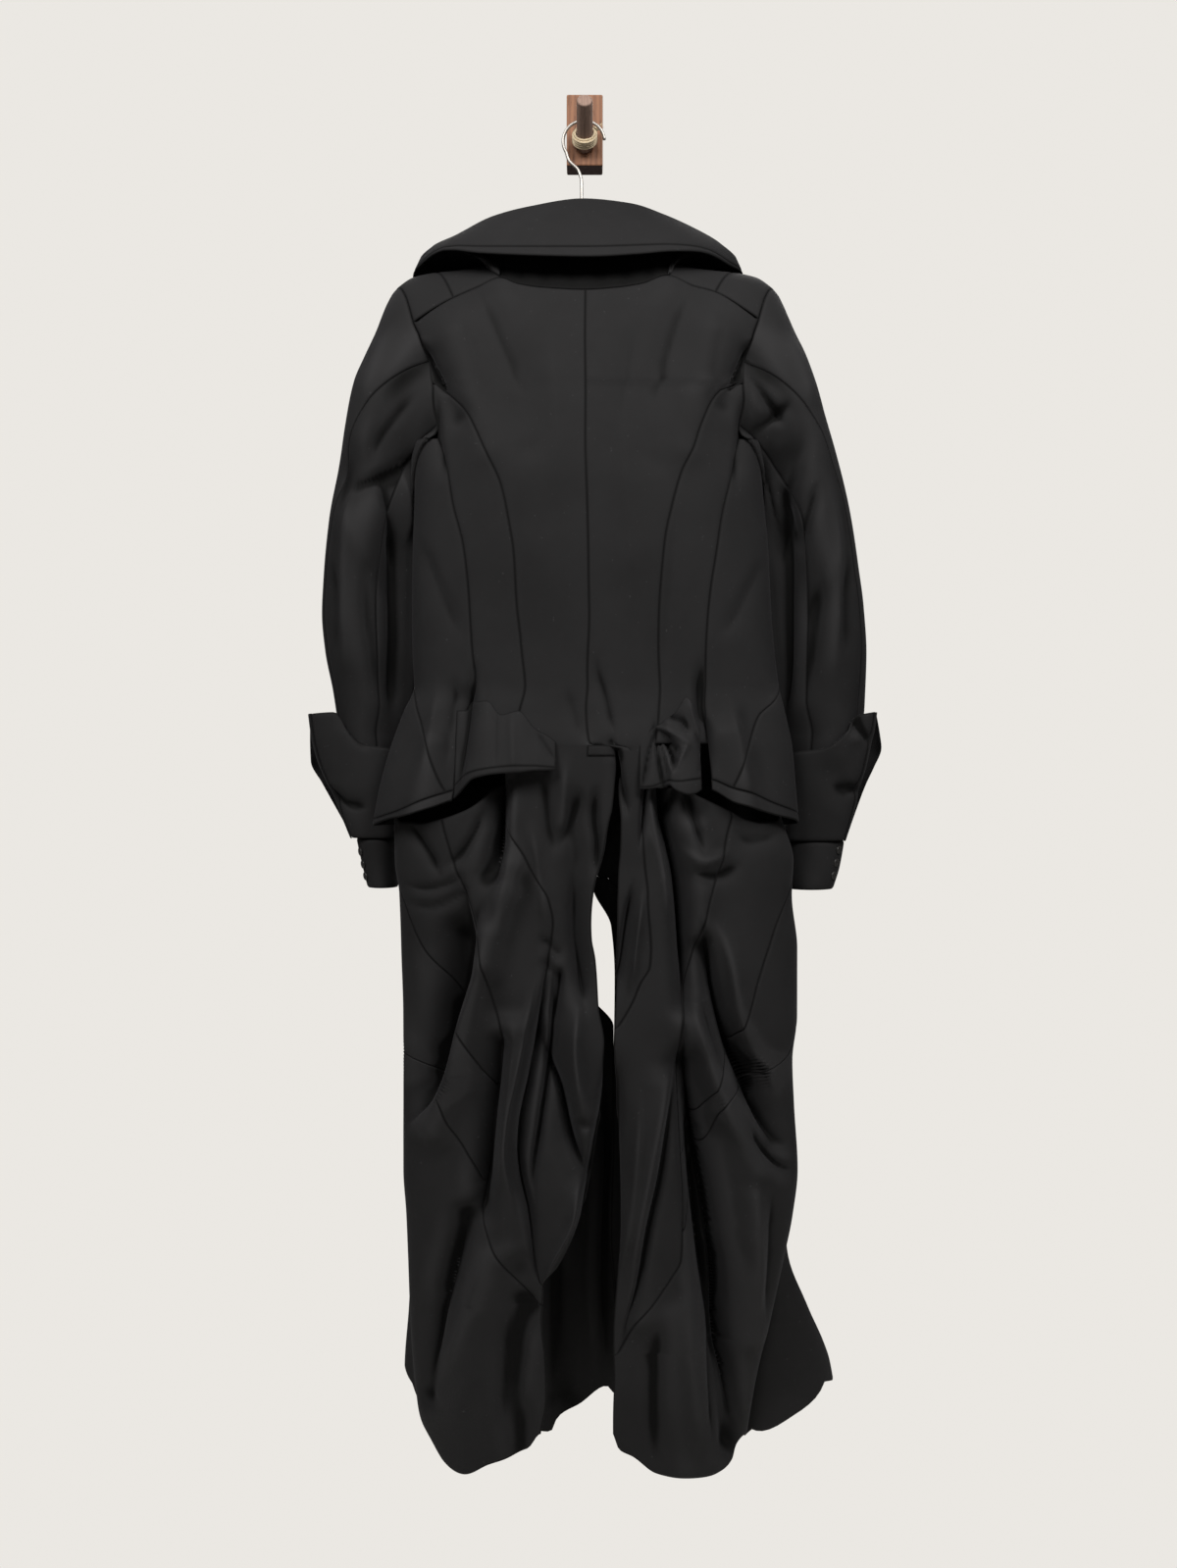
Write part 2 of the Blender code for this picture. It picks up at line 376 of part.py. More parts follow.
class Shell:
    """A garment's form: a closed section at each height, and upper and lower edges over x.

    A point is found by its turn (0 on the left side, 0.25 at the centre back, 0.5 on the right side,
    0.75 or -0.25 at the centre front) and its level, which is its height away from the edges.
    """

    def __init__(self, sections, folds, stops, top, bottom, shoulder=False):
        self.table = columns(sections)
        self.folds = folds
        self.stops = stops      # levels: top edge, end of its effect, start of the hem's effect, hem
        self.top = top          # height curves over x of the upper edge, back and front
        self.bottom = bottom
        self.shoulder = shoulder

    def read(self, name, z):
        return smooth(z, self.table["z"], self.table[name])

    def section(self, turn, z):
        """x, y and how far round to the back (1) or front (-1), on the plain section at height z."""
        angle = 2 * math.pi * turn
        cos = np.cos(angle)
        reach = np.sqrt(np.maximum(1 - np.abs(cos) ** self.read("fullness", z), 0))
        on_back = np.sin(angle) > 0
        narrow = np.where(on_back, 0, ease(reach / 0.4))
        left = self.read("left", z) + (self.read("front_left", z) - self.read("left", z)) * narrow
        right = self.read("right", z) + (self.read("front_right", z) - self.read("right", z)) * narrow
        x = (left + right) / 2 - (right - left) / 2 * cos
        side = self.read("side", z)
        y = np.where(on_back, side - (side - self.read("back", z)) * reach,
                     side + (self.read("front", z) - side) * reach)
        return x, y, np.where(on_back, reach, -reach)

    def height(self, x, facing, level):
        """Height of a level at x: the level itself, bent to meet the upper and lower edges."""
        top, high, low, bottom = (stop * MM for stop in self.stops)
        share = ease(0.5 + facing / 0.7)
        upper = self.top[0](x) * share + self.top[1](x) * (1 - share)
        lower = self.bottom[0](x) * share + self.bottom[1](x) * (1 - share)
        if high <= low:
            return upper + (top - level) / (top - bottom) * (lower - upper)
        up = np.clip((level - high) / (top - high), 0, None)
        down = np.clip((low - level) / (low - bottom), 0, None)
        return np.where(level > high, high + up * (upper - high),
                        np.where(level < low, low + down * (lower - low), level))

    def plain(self, turn, level):
        x, _, facing = self.section(turn, level)
        z = self.height(x, facing, level)
        x, y, facing = self.section(turn, z)
        return x, y, z, facing

    def lift(self, x, z, facing):
        """Outward movement of the folds at each place."""
        total = np.zeros(np.shape(x))
        for fold in self.folds:
            share = ease((facing if fold.side == "B" else -facing) / 0.5)
            away = path_distance(x, z, [(px * MM, pz * MM) for px, pz in fold.path])
            total = total + fold.depth * MM * share * np.exp(-(away / (fold.width * MM)) ** 2)
        return total

    def place(self, turn, z):
        """The point at a turn and a true height, folds and shoulders included."""
        x, y, facing = self.section(turn, z)
        step = 1e-3
        x0, y0, _ = self.section(turn - step, z)
        x1, y1, _ = self.section(turn + step, z)
        lift = self.lift(x, z, facing) / np.hypot(x1 - x0, y1 - y0)
        x = x + (y1 - y0) * lift
        y = y - (x1 - x0) * lift
        if self.shoulder:
            y = shoulder_depth(x, y, z)
        return np.stack([x, y, z], -1)

    def point(self, turn, level):
        turn, level = np.broadcast_arrays(np.asarray(turn, float), np.asarray(level, float))
        return self.place(turn, self.plain(turn, level)[2])

    def turn_at(self, x, z, side):
        """The turn (below 0 or above 0.5 on the front) of a place given by x and its true height."""
        narrow = 0.0
        for _ in range(1 if side == "B" else 40):
            left = self.read("left", z) + (self.read("front_left", z) - self.read("left", z)) * narrow
            right = self.read("right", z) + (self.read("front_right", z) - self.read("right", z)) * narrow
            cos = np.clip(((left + right) / 2 - x) / ((right - left) / 2), -1, 1)
            reach = np.sqrt(np.maximum(1 - np.abs(cos) ** self.read("fullness", z), 0))
            narrow = (narrow + ease(reach / 0.4)) / 2
        turn = np.arccos(cos) / (2 * math.pi)
        return (turn, reach) if side == "B" else (-turn, -reach)

    def normal(self, turn, level):
        """Outward direction of the surface."""
        e, h = 1.5e-3, 1.5e-3
        across = self.point(turn + e, level) - self.point(turn - e, level)
        down = self.point(turn, level - h) - self.point(turn, level + h)
        out = np.cross(down, across)
        return out / np.linalg.norm(out, axis=-1, keepdims=True)


def ridge(x):
    """Height of the shoulder line."""
    data = np.array(RIDGE, float) * MM
    return smooth(np.abs(x), data[:, 0], data[:, 1])


def shoulder_depth(x, y, z):
    """Round the top of the torso over the shoulder line."""
    span = np.where(y < RIDGE_DEPTH, RIDGE_ROUND, RIDGE_ROUND_FRONT)
    drop = np.clip((ridge(x) - z) / span, 0, 1)
    return RIDGE_DEPTH + (y - RIDGE_DEPTH) * np.sqrt(1 - (1 - drop) ** 2)


def trace(shell, seam, half):
    """A seam's (level, turn) pairs on a shell, found from its (side, x, z) points."""
    levels = np.linspace(shell.stops[3], shell.stops[0], 800) * MM
    pairs = []
    for side, x, z in seam:
        turn, facing = shell.turn_at(x * MM, z * MM, side)
        if side == "F" and half == "r":
            turn += 1
        heights = shell.height(np.full(len(levels), x * MM), facing, levels)
        pairs.append((float(np.interp(z * MM, heights, levels)), float(turn)))
    pairs = np.array(sorted(pairs))
    keep = np.concatenate([[True], np.diff(pairs[:, 0]) > 1e-5])
    return pairs[keep]


def follow(*parts):
    """A boundary made of traced seams from the top down.

    Parts are (seam, level) pairs: each seam is used from its level down to the next one's. A level
    given as a pair (level, True) still belongs to the seam above, so that a piece can end there.
    """
    def at(level):
        turn = smooth(level, parts[0][0][:, 0], parts[0][0][:, 1])
        for seam, start, *above in parts[1:]:
            mine = level < start * MM - 1e-6 if above else level <= start * MM + 1e-6
            turn = np.where(mine, smooth(level, seam[:, 0], seam[:, 1]), turn)
        return turn
    return at


# ---- cloth solids ----------------------------------------------------------------------------------

def wall(name, outer, out, thickness=CLOTH, closed=False):
    """A cloth piece: a grid of outside points, and the same grid moved in along its directions."""
    rows, cols = outer.shape[:2]
    inner = outer - out * thickness
    mesh = bmesh.new()
    layers = [[[mesh.verts.new(p) for p in row] for row in layer] for layer in (outer, inner)]
    cells = cols if closed else cols - 1
    for near, far in ((0, 1), (1, 0)):
        grid = layers[near]
        for i in range(rows - 1):
            for j in range(cells):
                k = (j + 1) % cols
                corners = [grid[i][j], grid[i + 1][j], grid[i + 1][k], grid[i][k]]
                mesh.faces.new(corners if near == 0 else corners[::-1])
    rim = []
    for i in (0, rows - 1):
        rim += [((i, j), (i, (j + 1) % cols)) for j in range(cells)]
    if not closed:
        for j in (0, cols - 1):
            rim += [((i, j), (i + 1, j)) for i in range(rows - 1)]
    for (a, b), (c, d) in rim:
        mesh.faces.new([layers[0][a][b], layers[0][c][d], layers[1][c][d], layers[1][a][b]])
    bmesh.ops.recalc_face_normals(mesh, faces=mesh.faces)
    bmesh.ops.triangulate(mesh, faces=mesh.faces)
    return mesh_object(name, mesh, "wool")


def top_columns(shell, side, edge, tag, start, end):
    """Shares across a top row, with columns exactly at the yoke's cross seam and the neck corner."""
    sign, at = (-1 if tag == "l" else 1), (0 if side == "B" else 2)
    shares = []
    for distance in (CROSS_SEAM[at], NECK_CORNER[at]):
        x = sign * distance * MM
        turn = float(shell.turn_at(x, curve(edge)(x), side)[0]) + (1 if side == "F" and tag == "r" else 0)
        shares.append((turn - start) / (end - start))
    cross, corner = shares
    inner = 3 if side == "B" else 2
    if cross < corner:
        return np.array([0, cross, *np.linspace(corner, 1, inner + 1)])
    return np.array([*np.linspace(0, corner, inner + 1), cross, 1])


def piece(name, shell, first, last, levels, cells, top=None):
    """A cloth piece of a shell between two boundaries, first having the smaller turn."""
    levels = np.array(levels, float) * MM
    start, end = first(levels), last(levels)
    width = np.linalg.norm(shell.point(end, levels) - shell.point(start, levels), axis=-1)
    inset = np.minimum(SEAM / 2 / np.maximum(width, 1e-6), 0.3) * (end - start)
    across = np.linspace(0, 1, cells + 1)[None, :]
    if top:
        across = top_columns(shell, *top, (start + inset)[0], (end - inset)[0])[None, :]
        cells = across.shape[1] - 1
    turn = (start + inset)[:, None] * (1 - across) + (end - inset)[:, None] * across
    level = np.repeat(levels[:, None], cells + 1, 1)
    out = shell.normal(turn, level)
    points = shell.point(turn, level)
    wall(name, points, out)
    return points, out


def between(levels, high, low):
    """The levels of a list from high to low, with both ends."""
    inside = [v for v in levels if low + 6 < v < high - 6]
    return [high] + inside + [low]


# ---- plain objects ---------------------------------------------------------------------------------

def material(name):
    found = bpy.data.materials.get(name)
    if found:
        return found
    colour, roughness, metallic = COLOURS[name]
    made = bpy.data.materials.new(name)
    made.use_nodes = True
    made.diffuse_color = colour
    shader = made.node_tree.nodes["Principled BSDF"]
    shader.inputs["Base Color"].default_value = colour
    shader.inputs["Roughness"].default_value = roughness
    shader.inputs["Metallic"].default_value = metallic
    return made


def add(obj, colour):
    PART.objects.link(obj)
    obj.data.materials.clear()
    obj.data.materials.append(material(colour))
    return obj


def mesh_object(name, mesh, colour):
    data = bpy.data.meshes.new(name)
    mesh.to_mesh(data)
    mesh.free()
    return add(bpy.data.objects.new(name, data), colour)


def wire(name, points, radius, colour, resolution=2, cyclic=False):
    """A tube along a chain of points, with closed ends."""
    data = bpy.data.curves.new(name, "CURVE")
    data.dimensions = "3D"
    data.bevel_depth = radius
    data.bevel_resolution = resolution
    data.use_fill_caps = True
    line = data.splines.new("POLY")
    line.points.add(len(points) - 1)
    for spot, at in zip(line.points, points):
        spot.co = (*at, 1.0)
    line.use_cyclic_u = cyclic
    return add(bpy.data.objects.new(name, data), colour)


def smooth_path(points, count):
    """Evenly read points on a smooth curve through the given ones."""
    points = np.array(points, float)
    length = np.concatenate([[0], np.cumsum(np.linalg.norm(np.diff(points, axis=0), axis=1))])
    at = np.linspace(0, length[-1], count)
    return np.stack([smooth(at, length, points[:, k]) for k in range(3)], -1)


# ---- the holder ------------------------------------------------------------------------------------

def build_block():
    mesh = bmesh.new()
    place = Matrix.Translation((0, -BLOCK_SIZE[1] / 2, 0)) @ Matrix.Diagonal((*BLOCK_SIZE, 1))
    bmesh.ops.create_cube(mesh, size=1.0, matrix=place)
    block = mesh_object("wall_block", mesh, "block_wood")
    bevel = block.modifiers.new("edges", "BEVEL")
    bevel.width = BLOCK_BEVEL
    bevel.segments = 2
    bevel.limit_method = "ANGLE"


def peg_axis():
    """The peg's base point on the block's face and its direction."""
    return (Vector((0, -BLOCK_SIZE[1], PEG_HEIGHT)),
            Vector((0, -math.cos(PEG_RISE), math.sin(PEG_RISE))))


def build_peg():
    """A round peg, its base cut flush with the block's face, its end rounded."""
    base, along = peg_axis()
    mesh = bmesh.new()
    turn = along.to_track_quat("Z", "Y").to_matrix().to_4x4()
    middle = base + along * (PEG_LENGTH / 2 - 6 * MM)
    bmesh.ops.create_cone(mesh, cap_ends=True, segments=24, radius1=PEG_RADIUS, radius2=PEG_RADIUS * 0.94,
                          depth=PEG_LENGTH + 12 * MM, matrix=Matrix.Translation(middle) @ turn)
    face = Vector((0, -BLOCK_SIZE[1] - SEAM, 0))
    bmesh.ops.bisect_plane(mesh, geom=mesh.verts[:] + mesh.edges[:] + mesh.faces[:], dist=1e-6,
                           plane_co=face, plane_no=(0, 1, 0), clear_outer=True)
    bmesh.ops.holes_fill(mesh, edges=[e for e in mesh.edges if e.is_boundary])
    bmesh.ops.recalc_face_normals(mesh, faces=mesh.faces)
    peg = mesh_object("peg", mesh, "peg_wood")
    bevel = peg.modifiers.new("end", "BEVEL")
    bevel.width = 1.2 * MM
    bevel.segments = 2
    bevel.limit_method = "ANGLE"
    bevel.angle_limit = math.radians(50)


def peg_frame():
    """Two directions across the peg."""
    _, along = peg_axis()
    side = Vector((1, 0, 0))
    return side, along.cross(side)


def build_twine():
    """Turns of twine round the peg, and a knot with two short ends in front of them."""
    base, along = peg_axis()
    side, up = peg_frame()
    coil = PEG_RADIUS + TWINE_RADIUS + SOFT_FIT
    steps = 10
    points = []
    for i in range(TWINE_TURNS * steps + 1):
        angle = 2 * math.pi * i / steps
        rise = TWINE_START + (2 * TWINE_RADIUS + SEAM) * i / steps
        points.append(base + along * rise + (side * math.cos(angle) + up * math.sin(angle)) * coil)
    wire("twine_wraps", points, TWINE_RADIUS, "twine")
    knot = bmesh.new()
    seat = base + along * (TWINE_START + 8 * MM)
    seat += (side * math.cos(0.9) + up * math.sin(0.9)) * (coil + 2 * TWINE_RADIUS + 2.2 * MM)
    bmesh.ops.create_uvsphere(knot, u_segments=12, v_segments=8, radius=3.6 * MM,
                              matrix=Matrix.Translation(seat) @ Matrix.Diagonal((1, 0.8, 1, 1)))
    mesh_object("twine_knot", knot, "twine")


def build_hanger():
    """A bar under the shoulders, and the wire hook that rises from it and rests on the peg."""
    turns = 15
    hook = []
    for i in range(turns):
        angle = math.radians(5 + 205 * i / (turns - 1))
        hook.append((HOOK_RADIUS * math.cos(angle) - 1 * MM, HOOK_DEPTH, HOOK_RADIUS * math.sin(angle) + HOOK_LIFT))
    stem = [(-18 * MM, HOOK_DEPTH, HOOK_LIFT - 21 * MM), (-7 * MM, HOOK_DEPTH, HOOK_LIFT - 33 * MM),
            (-3.5 * MM, HOOK_DEPTH - 1 * MM, HOOK_LIFT - 46 * MM), (-3.2 * MM, HOOK_DEPTH - 6 * MM, -0.100)]
    bar_top = bar_height(0)
    stem.append((-2 * MM, HANGER_DEPTH, bar_top + HANGER_RADIUS + SEAM + HOOK_WIRE * 0.2))
    wire("hanger_hook", smooth_path(hook + stem, 36), HOOK_WIRE, "steel")
    xs = np.linspace(-HANGER_REACH, HANGER_REACH, 23)
    wire("hanger_bar", [(x, HANGER_DEPTH, bar_height(x)) for x in xs], HANGER_RADIUS, "hanger_wood", 3)


def bar_height(x):
    """Height of the bar's axis: just under the cloth of the shoulders, level in the neck."""
    return float(ridge(max(abs(x), 60 * MM))) - CLOTH - SOFT_FIT - HANGER_RADIUS - 1.0 * MM


# ---- the coat --------------------------------------------------------------------------------------

TORSO_ROWS = [-205, -233, -262, -287, -312, -341, -370, -415, -460, -505, -550, -595, -637, -665, -700, -750]
SKIRT_ROWS = {
    "l": [-745, -785, -815, -848, -890, -930, -965, -1010, -1064, -1100, -1135, -1168, -1215, -1270, -1291,
          -1345, -1400, -1460],
    "r": [-745, -785, -815, -848, -890, -930, -965, -1000, -1050, -1095, -1136, -1175, -1213, -1255, -1300,
          -1344, -1400, -1460],
}

TORSO = Shell(TORSO_SECTIONS, TORSO_FOLDS, (-205, -262, -700, -750),
              (curve(TORSO_TOP_BACK), curve(TORSO_TOP_FRONT)),
              (curve(PEPLUM_SEAM), level_curve(PEPLUM_SEAM_FRONT)), shoulder=True)
BAND = Shell(TORSO_SECTIONS, TORSO_FOLDS, (-750, -760, -750, -760),
             (curve(PEPLUM_SEAM), level_curve(PEPLUM_SEAM_FRONT)),
             (curve(PEPLUM_EDGE), level_curve(PEPLUM_EDGE_FRONT)))
SKIRT = Shell(SKIRT_SECTIONS, SKIRT_FOLDS, (-745, -862, -1345, -1460),
              (curve(SKIRT_TOP_BACK), level_curve(SKIRT_TOP_FRONT)), (curve(HEM_BACK), curve(HEM_FRONT)))
CENTRE = Shell([s for s in TORSO_SECTIONS if s.z >= JOIN_TOP] + [s for s in SKIRT_SECTIONS if s.z <= JOIN_BOTTOM],
               TORSO_FOLDS[:6] + SKIRT_FOLDS, (-205, -262, -1345, -1460),
               (curve(TORSO_TOP_BACK), curve(TORSO_TOP_FRONT)), (curve(HEM_BACK), curve(HEM_FRONT)), shoulder=True)

# Everything that differs between the left and right half
Half = namedtuple("Half", "armhole_back armhole_front princess side_back side_front godet_back godet_front "
                          "centre front_edge spirals tip joins")
HALVES = {
    "l": Half(ARMHOLE_BACK_L, ARMHOLE_FRONT_L, PRINCESS_L, SIDE_BACK_L, SIDE_FRONT_L, GODET_BACK_L,
              GODET_FRONT_L, CENTRE_L, FRONT_EDGE_L, (SPIRAL_1_L, SPIRAL_2_L, SPIRAL_3_L), -1270,
              (-1064, -848, -1168, -1291)),
    "r": Half(ARMHOLE_BACK_R, ARMHOLE_FRONT_R, PRINCESS_R, SIDE_BACK_R, SIDE_FRONT_R, GODET_BACK_R,
              GODET_FRONT_R, CENTRE_R, FRONT_EDGE_R, (SPIRAL_1_R, SPIRAL_2_R, SPIRAL_3_R), -1000,
              (-1136, -848, -1213, -1344)),
}


def strip(name, tag, shell, outer, inner, levels, cells, top=None):
    """A piece between its outer seam and its inner seam, which lies nearer the centre back."""
    first, last = (outer, inner) if tag == "l" else (inner, outer)
    return piece(f"{name}_{tag}", shell, first, last, levels, cells, top)


def build_torso(tag):
    """Centre back, side back, side panel, godet, front and hem band of one half."""
    half = HALVES[tag]
    seam = {name: trace(TORSO, getattr(half, name), tag)
            for name in ("armhole_back", "armhole_front", "side_back", "side_front", "godet_back",
                         "godet_front", "front_edge")}
    princess = trace(TORSO, half.princess[:14], tag)

    outer = follow((trace(CENTRE, half.armhole_back, tag), 0), (trace(CENTRE, half.princess, tag), -312))
    rows = [v for v in TORSO_ROWS if v >= -700] + SKIRT_ROWS[tag]
    centre = follow((trace(CENTRE, half.centre, tag), 0))
    centre_back = strip("back_center", tag, CENTRE, outer, centre, between(rows, -205, half.tip), 5,
                        top=("B", TORSO_TOP_BACK, tag))

    outer = follow((seam["armhole_back"], 0), (seam["side_back"], -370))
    side = strip("back_side", tag, TORSO, outer, follow((princess, 0)), between(TORSO_ROWS, -312, -700), 3)
    outer = follow((seam["side_front"], 0), (seam["godet_back"], -637))
    side_back = follow((seam["side_back"], 0))
    under = strip("underarm", tag, TORSO, outer, side_back, between(TORSO_ROWS, -370, -750), 5)
    godet = follow((seam["godet_front"], 0)), follow((seam["godet_back"], 0))
    strip("hip_godet", tag, TORSO, *godet, between(TORSO_ROWS, -637, -750), 3)
    edge = follow((seam["front_edge"], 0))
    outer = follow((seam["armhole_front"], 0), (seam["side_front"], -370), (seam["godet_front"], -637))
    ends = (edge, outer) if tag == "l" else (outer, edge)
    front = piece(f"front_{tag}", TORSO, *ends, TORSO_ROWS, 4, top=("F", TORSO_TOP_FRONT, tag))

    hem = np.array(-750 * MM)
    stops = [float(line(hem)) for line in (edge, *godet, side_back)]
    turns = np.concatenate([np.linspace(a, b, n + 1)[:n] for a, b, n in
                            zip(stops[:-1], stops[1:], (4, 3, 5))] + [[stops[-1]]])
    turn, level = np.meshgrid(turns, np.array([-750.4, -760]) * MM)
    wall(f"hem_band_{tag}", BAND.point(turn, level), BAND.normal(turn, level))
    return centre_back, side, under, front


def build_skirt(tag):
    """The four spiral gores of one tail."""
    half = HALVES[tag]
    rows = SKIRT_ROWS[tag]
    spiral_1, spiral_2, spiral_3 = (trace(SKIRT, seam, tag) for seam in half.spirals)
    princess, centre, front_edge = (trace(SKIRT, seam, tag)
                                    for seam in (half.princess[12:], half.centre, half.front_edge))
    hip_tip, side_top, side_tip, mid_tip = half.joins

    inner = follow((princess, 0), (centre, half.tip, True))
    strip("tail_mid", tag, SKIRT, follow((spiral_1, 0)), inner, between(rows, -745, mid_tip), 4)
    strip("tail_hip", tag, SKIRT, follow((spiral_2, 0)), follow((spiral_1, 0)), between(rows, -745, hip_tip), 5)
    outer = follow((front_edge, 0), (spiral_3, side_top))
    inner = follow((spiral_2, 0), (spiral_1, hip_tip, True))
    strip("tail_side", tag, SKIRT, outer, inner, between(rows, -745, side_tip), 6)
    inner = follow((spiral_3, 0), (spiral_1, side_tip, True), (centre, mid_tip, True))
    strip("tail_lower", tag, SKIRT, follow((front_edge, 0)), inner, between(rows, side_top, -1460), 10)


def build_bar_tack():
    """The stitched bar that closes the top of the vent, lying on both centre backs."""
    rows = np.array([-702, -713]) * MM
    turn = CENTRE.turn_at(np.linspace(3, 32, 4) * MM, -708 * MM, "B")[0]
    turn, level = np.meshgrid(turn, rows)
    out = CENTRE.normal(turn, level)
    wall("bar_tack", CENTRE.point(turn, level) + out * (SOFT_FIT + 1.2 * MM), out, thickness=1.2 * MM)


def build_yokes(tag):
    """The neck and tip pieces of one yoke, over the shoulder from the back seam to the front one."""
    sign = -1 if tag == "l" else 1
    neck, cross, tip = NECK_CORNER, CROSS_SEAM, SHOULDER_TIP[tag]
    pieces = {}
    for name, start, end, cells in (("yoke_neck", neck, cross, 3), ("yoke_tip", cross, tip, 3)):
        across = np.linspace(0, 1, cells + 1)[None, :]
        lean = np.array([1.0, 0.6, 0.25, 0.0, -0.3, -0.65, -1.0])[:, None]
        bounds = [np.interp(lean, (-1, 0, 1), (spot[2], spot[1], spot[0])) * MM for spot in (start, end)]
        x = sign * ((bounds[0] + SEAM / 2) * (1 - across) + (bounds[1] - SEAM / 2) * across)
        points = yoke_point(x, np.repeat(lean, cells + 1, 1))
        e = 0.5 * MM
        along = yoke_point(x + e, lean) - yoke_point(x - e, lean)
        over = yoke_point(x, np.clip(lean + 0.02, -1, 1)) - yoke_point(x, np.clip(lean - 0.02, -1, 1))
        out = unit(np.cross(over, along))
        out[[0, -1], :, 2] *= 0.4
        out = unit(out)
        wall(f"{name}_{tag}", points, out)
        pieces[name] = (points, out)
    return pieces["yoke_tip"], pieces["yoke_neck"]


def yoke_point(x, lean):
    """A point of the yoke: lean is 1 on its back seam, 0 on the shoulder line and -1 on its front seam."""
    x, lean = np.broadcast_arrays(np.asarray(x, float), np.asarray(lean, float))
    top = ridge(x)
    points = np.zeros((*x.shape, 3))
    for side, seam, span, mine in (("B", curve(TORSO_TOP_BACK), RIDGE_ROUND, lean > 0),
                                   ("F", curve(TORSO_TOP_FRONT), RIDGE_ROUND_FRONT, lean <= 0)):
        at = 0 if side == "B" else 2
        sign = np.sign(x)
        tips = [np.where(sign < 0, SHOULDER_TIP["l"][at], SHOULDER_TIP["r"][at]) * MM,
                CROSS_SEAM[at] * MM, NECK_CORNER[at] * MM]
        heights = [seam(sign * distance) for distance in tips]
        share = np.clip((np.abs(x) - tips[2]) / (tips[1] - tips[2]), 0, 1)
        beyond = np.clip((np.abs(x) - tips[1]) / (tips[0] - tips[1]), 0, 1)
        low = heights[2] + (heights[1] - heights[2]) * share + (heights[0] - heights[1]) * beyond
        low = low + SEAM + 0.3 * MM
        angle = np.arccos(1 - np.clip((top - low) / span, 0, 1)) * np.abs(lean)
        z = top - span * (1 - np.cos(angle))
        turn, _ = TORSO.turn_at(x, z, side)
        here = TORSO.place(turn, z)
        here[..., 0] = x
        points = np.where(mine[..., None], here, points)
    return points


def armhole_loop(tag, yoke, centre_back, side, under, front):
    """The armhole's edge from the shoulder line down the back, under the arm and up the front."""
    outer = 0 if tag == "l" else -1
    front_outer = -1 if tag == "l" else 0
    rows = len([v for v in TORSO_ROWS if v >= -370])

    def edge(cells, index, count=None):
        points, out = cells
        return [np.concatenate([a, b]) for a, b in zip(points[:count, index], out[:count, index])]

    yoke_edge = edge(yoke, -1)
    back = yoke_edge[:3][::-1] + edge(centre_back, outer, rows - 3) + edge(side, outer, 3)
    points, out = under
    below = [np.concatenate([a, b]) for a, b in zip(points[0], out[0])]
    below = below if tag == "r" else below[::-1]
    up = edge(front, front_outer, rows)[::-1] + yoke_edge[3:][::-1]
    ridge_point = [yoke_edge[3]]
    loop = ridge_point + back + below + up[:-1]
    counts = (0, len(back), len(back) + len(below), len(loop))
    loop = np.array(loop)
    turns = np.zeros(len(loop))
    for (a, b), (low, high) in zip(((0, counts[1]), (counts[1], counts[2]), (counts[2], counts[3])),
                                   ((0, 0.40), (0.42, 0.58), (0.60, 0.97))):
        step = np.linalg.norm(np.diff(loop[a:b + 1 if a == 0 else b, :3], axis=0), axis=1)
        length = np.concatenate([[0], np.cumsum(step)])
        turns[a:a + len(length)] = low + (high - low) * length / length[-1]
    return turns, loop[:, :3], loop[:, 3:]


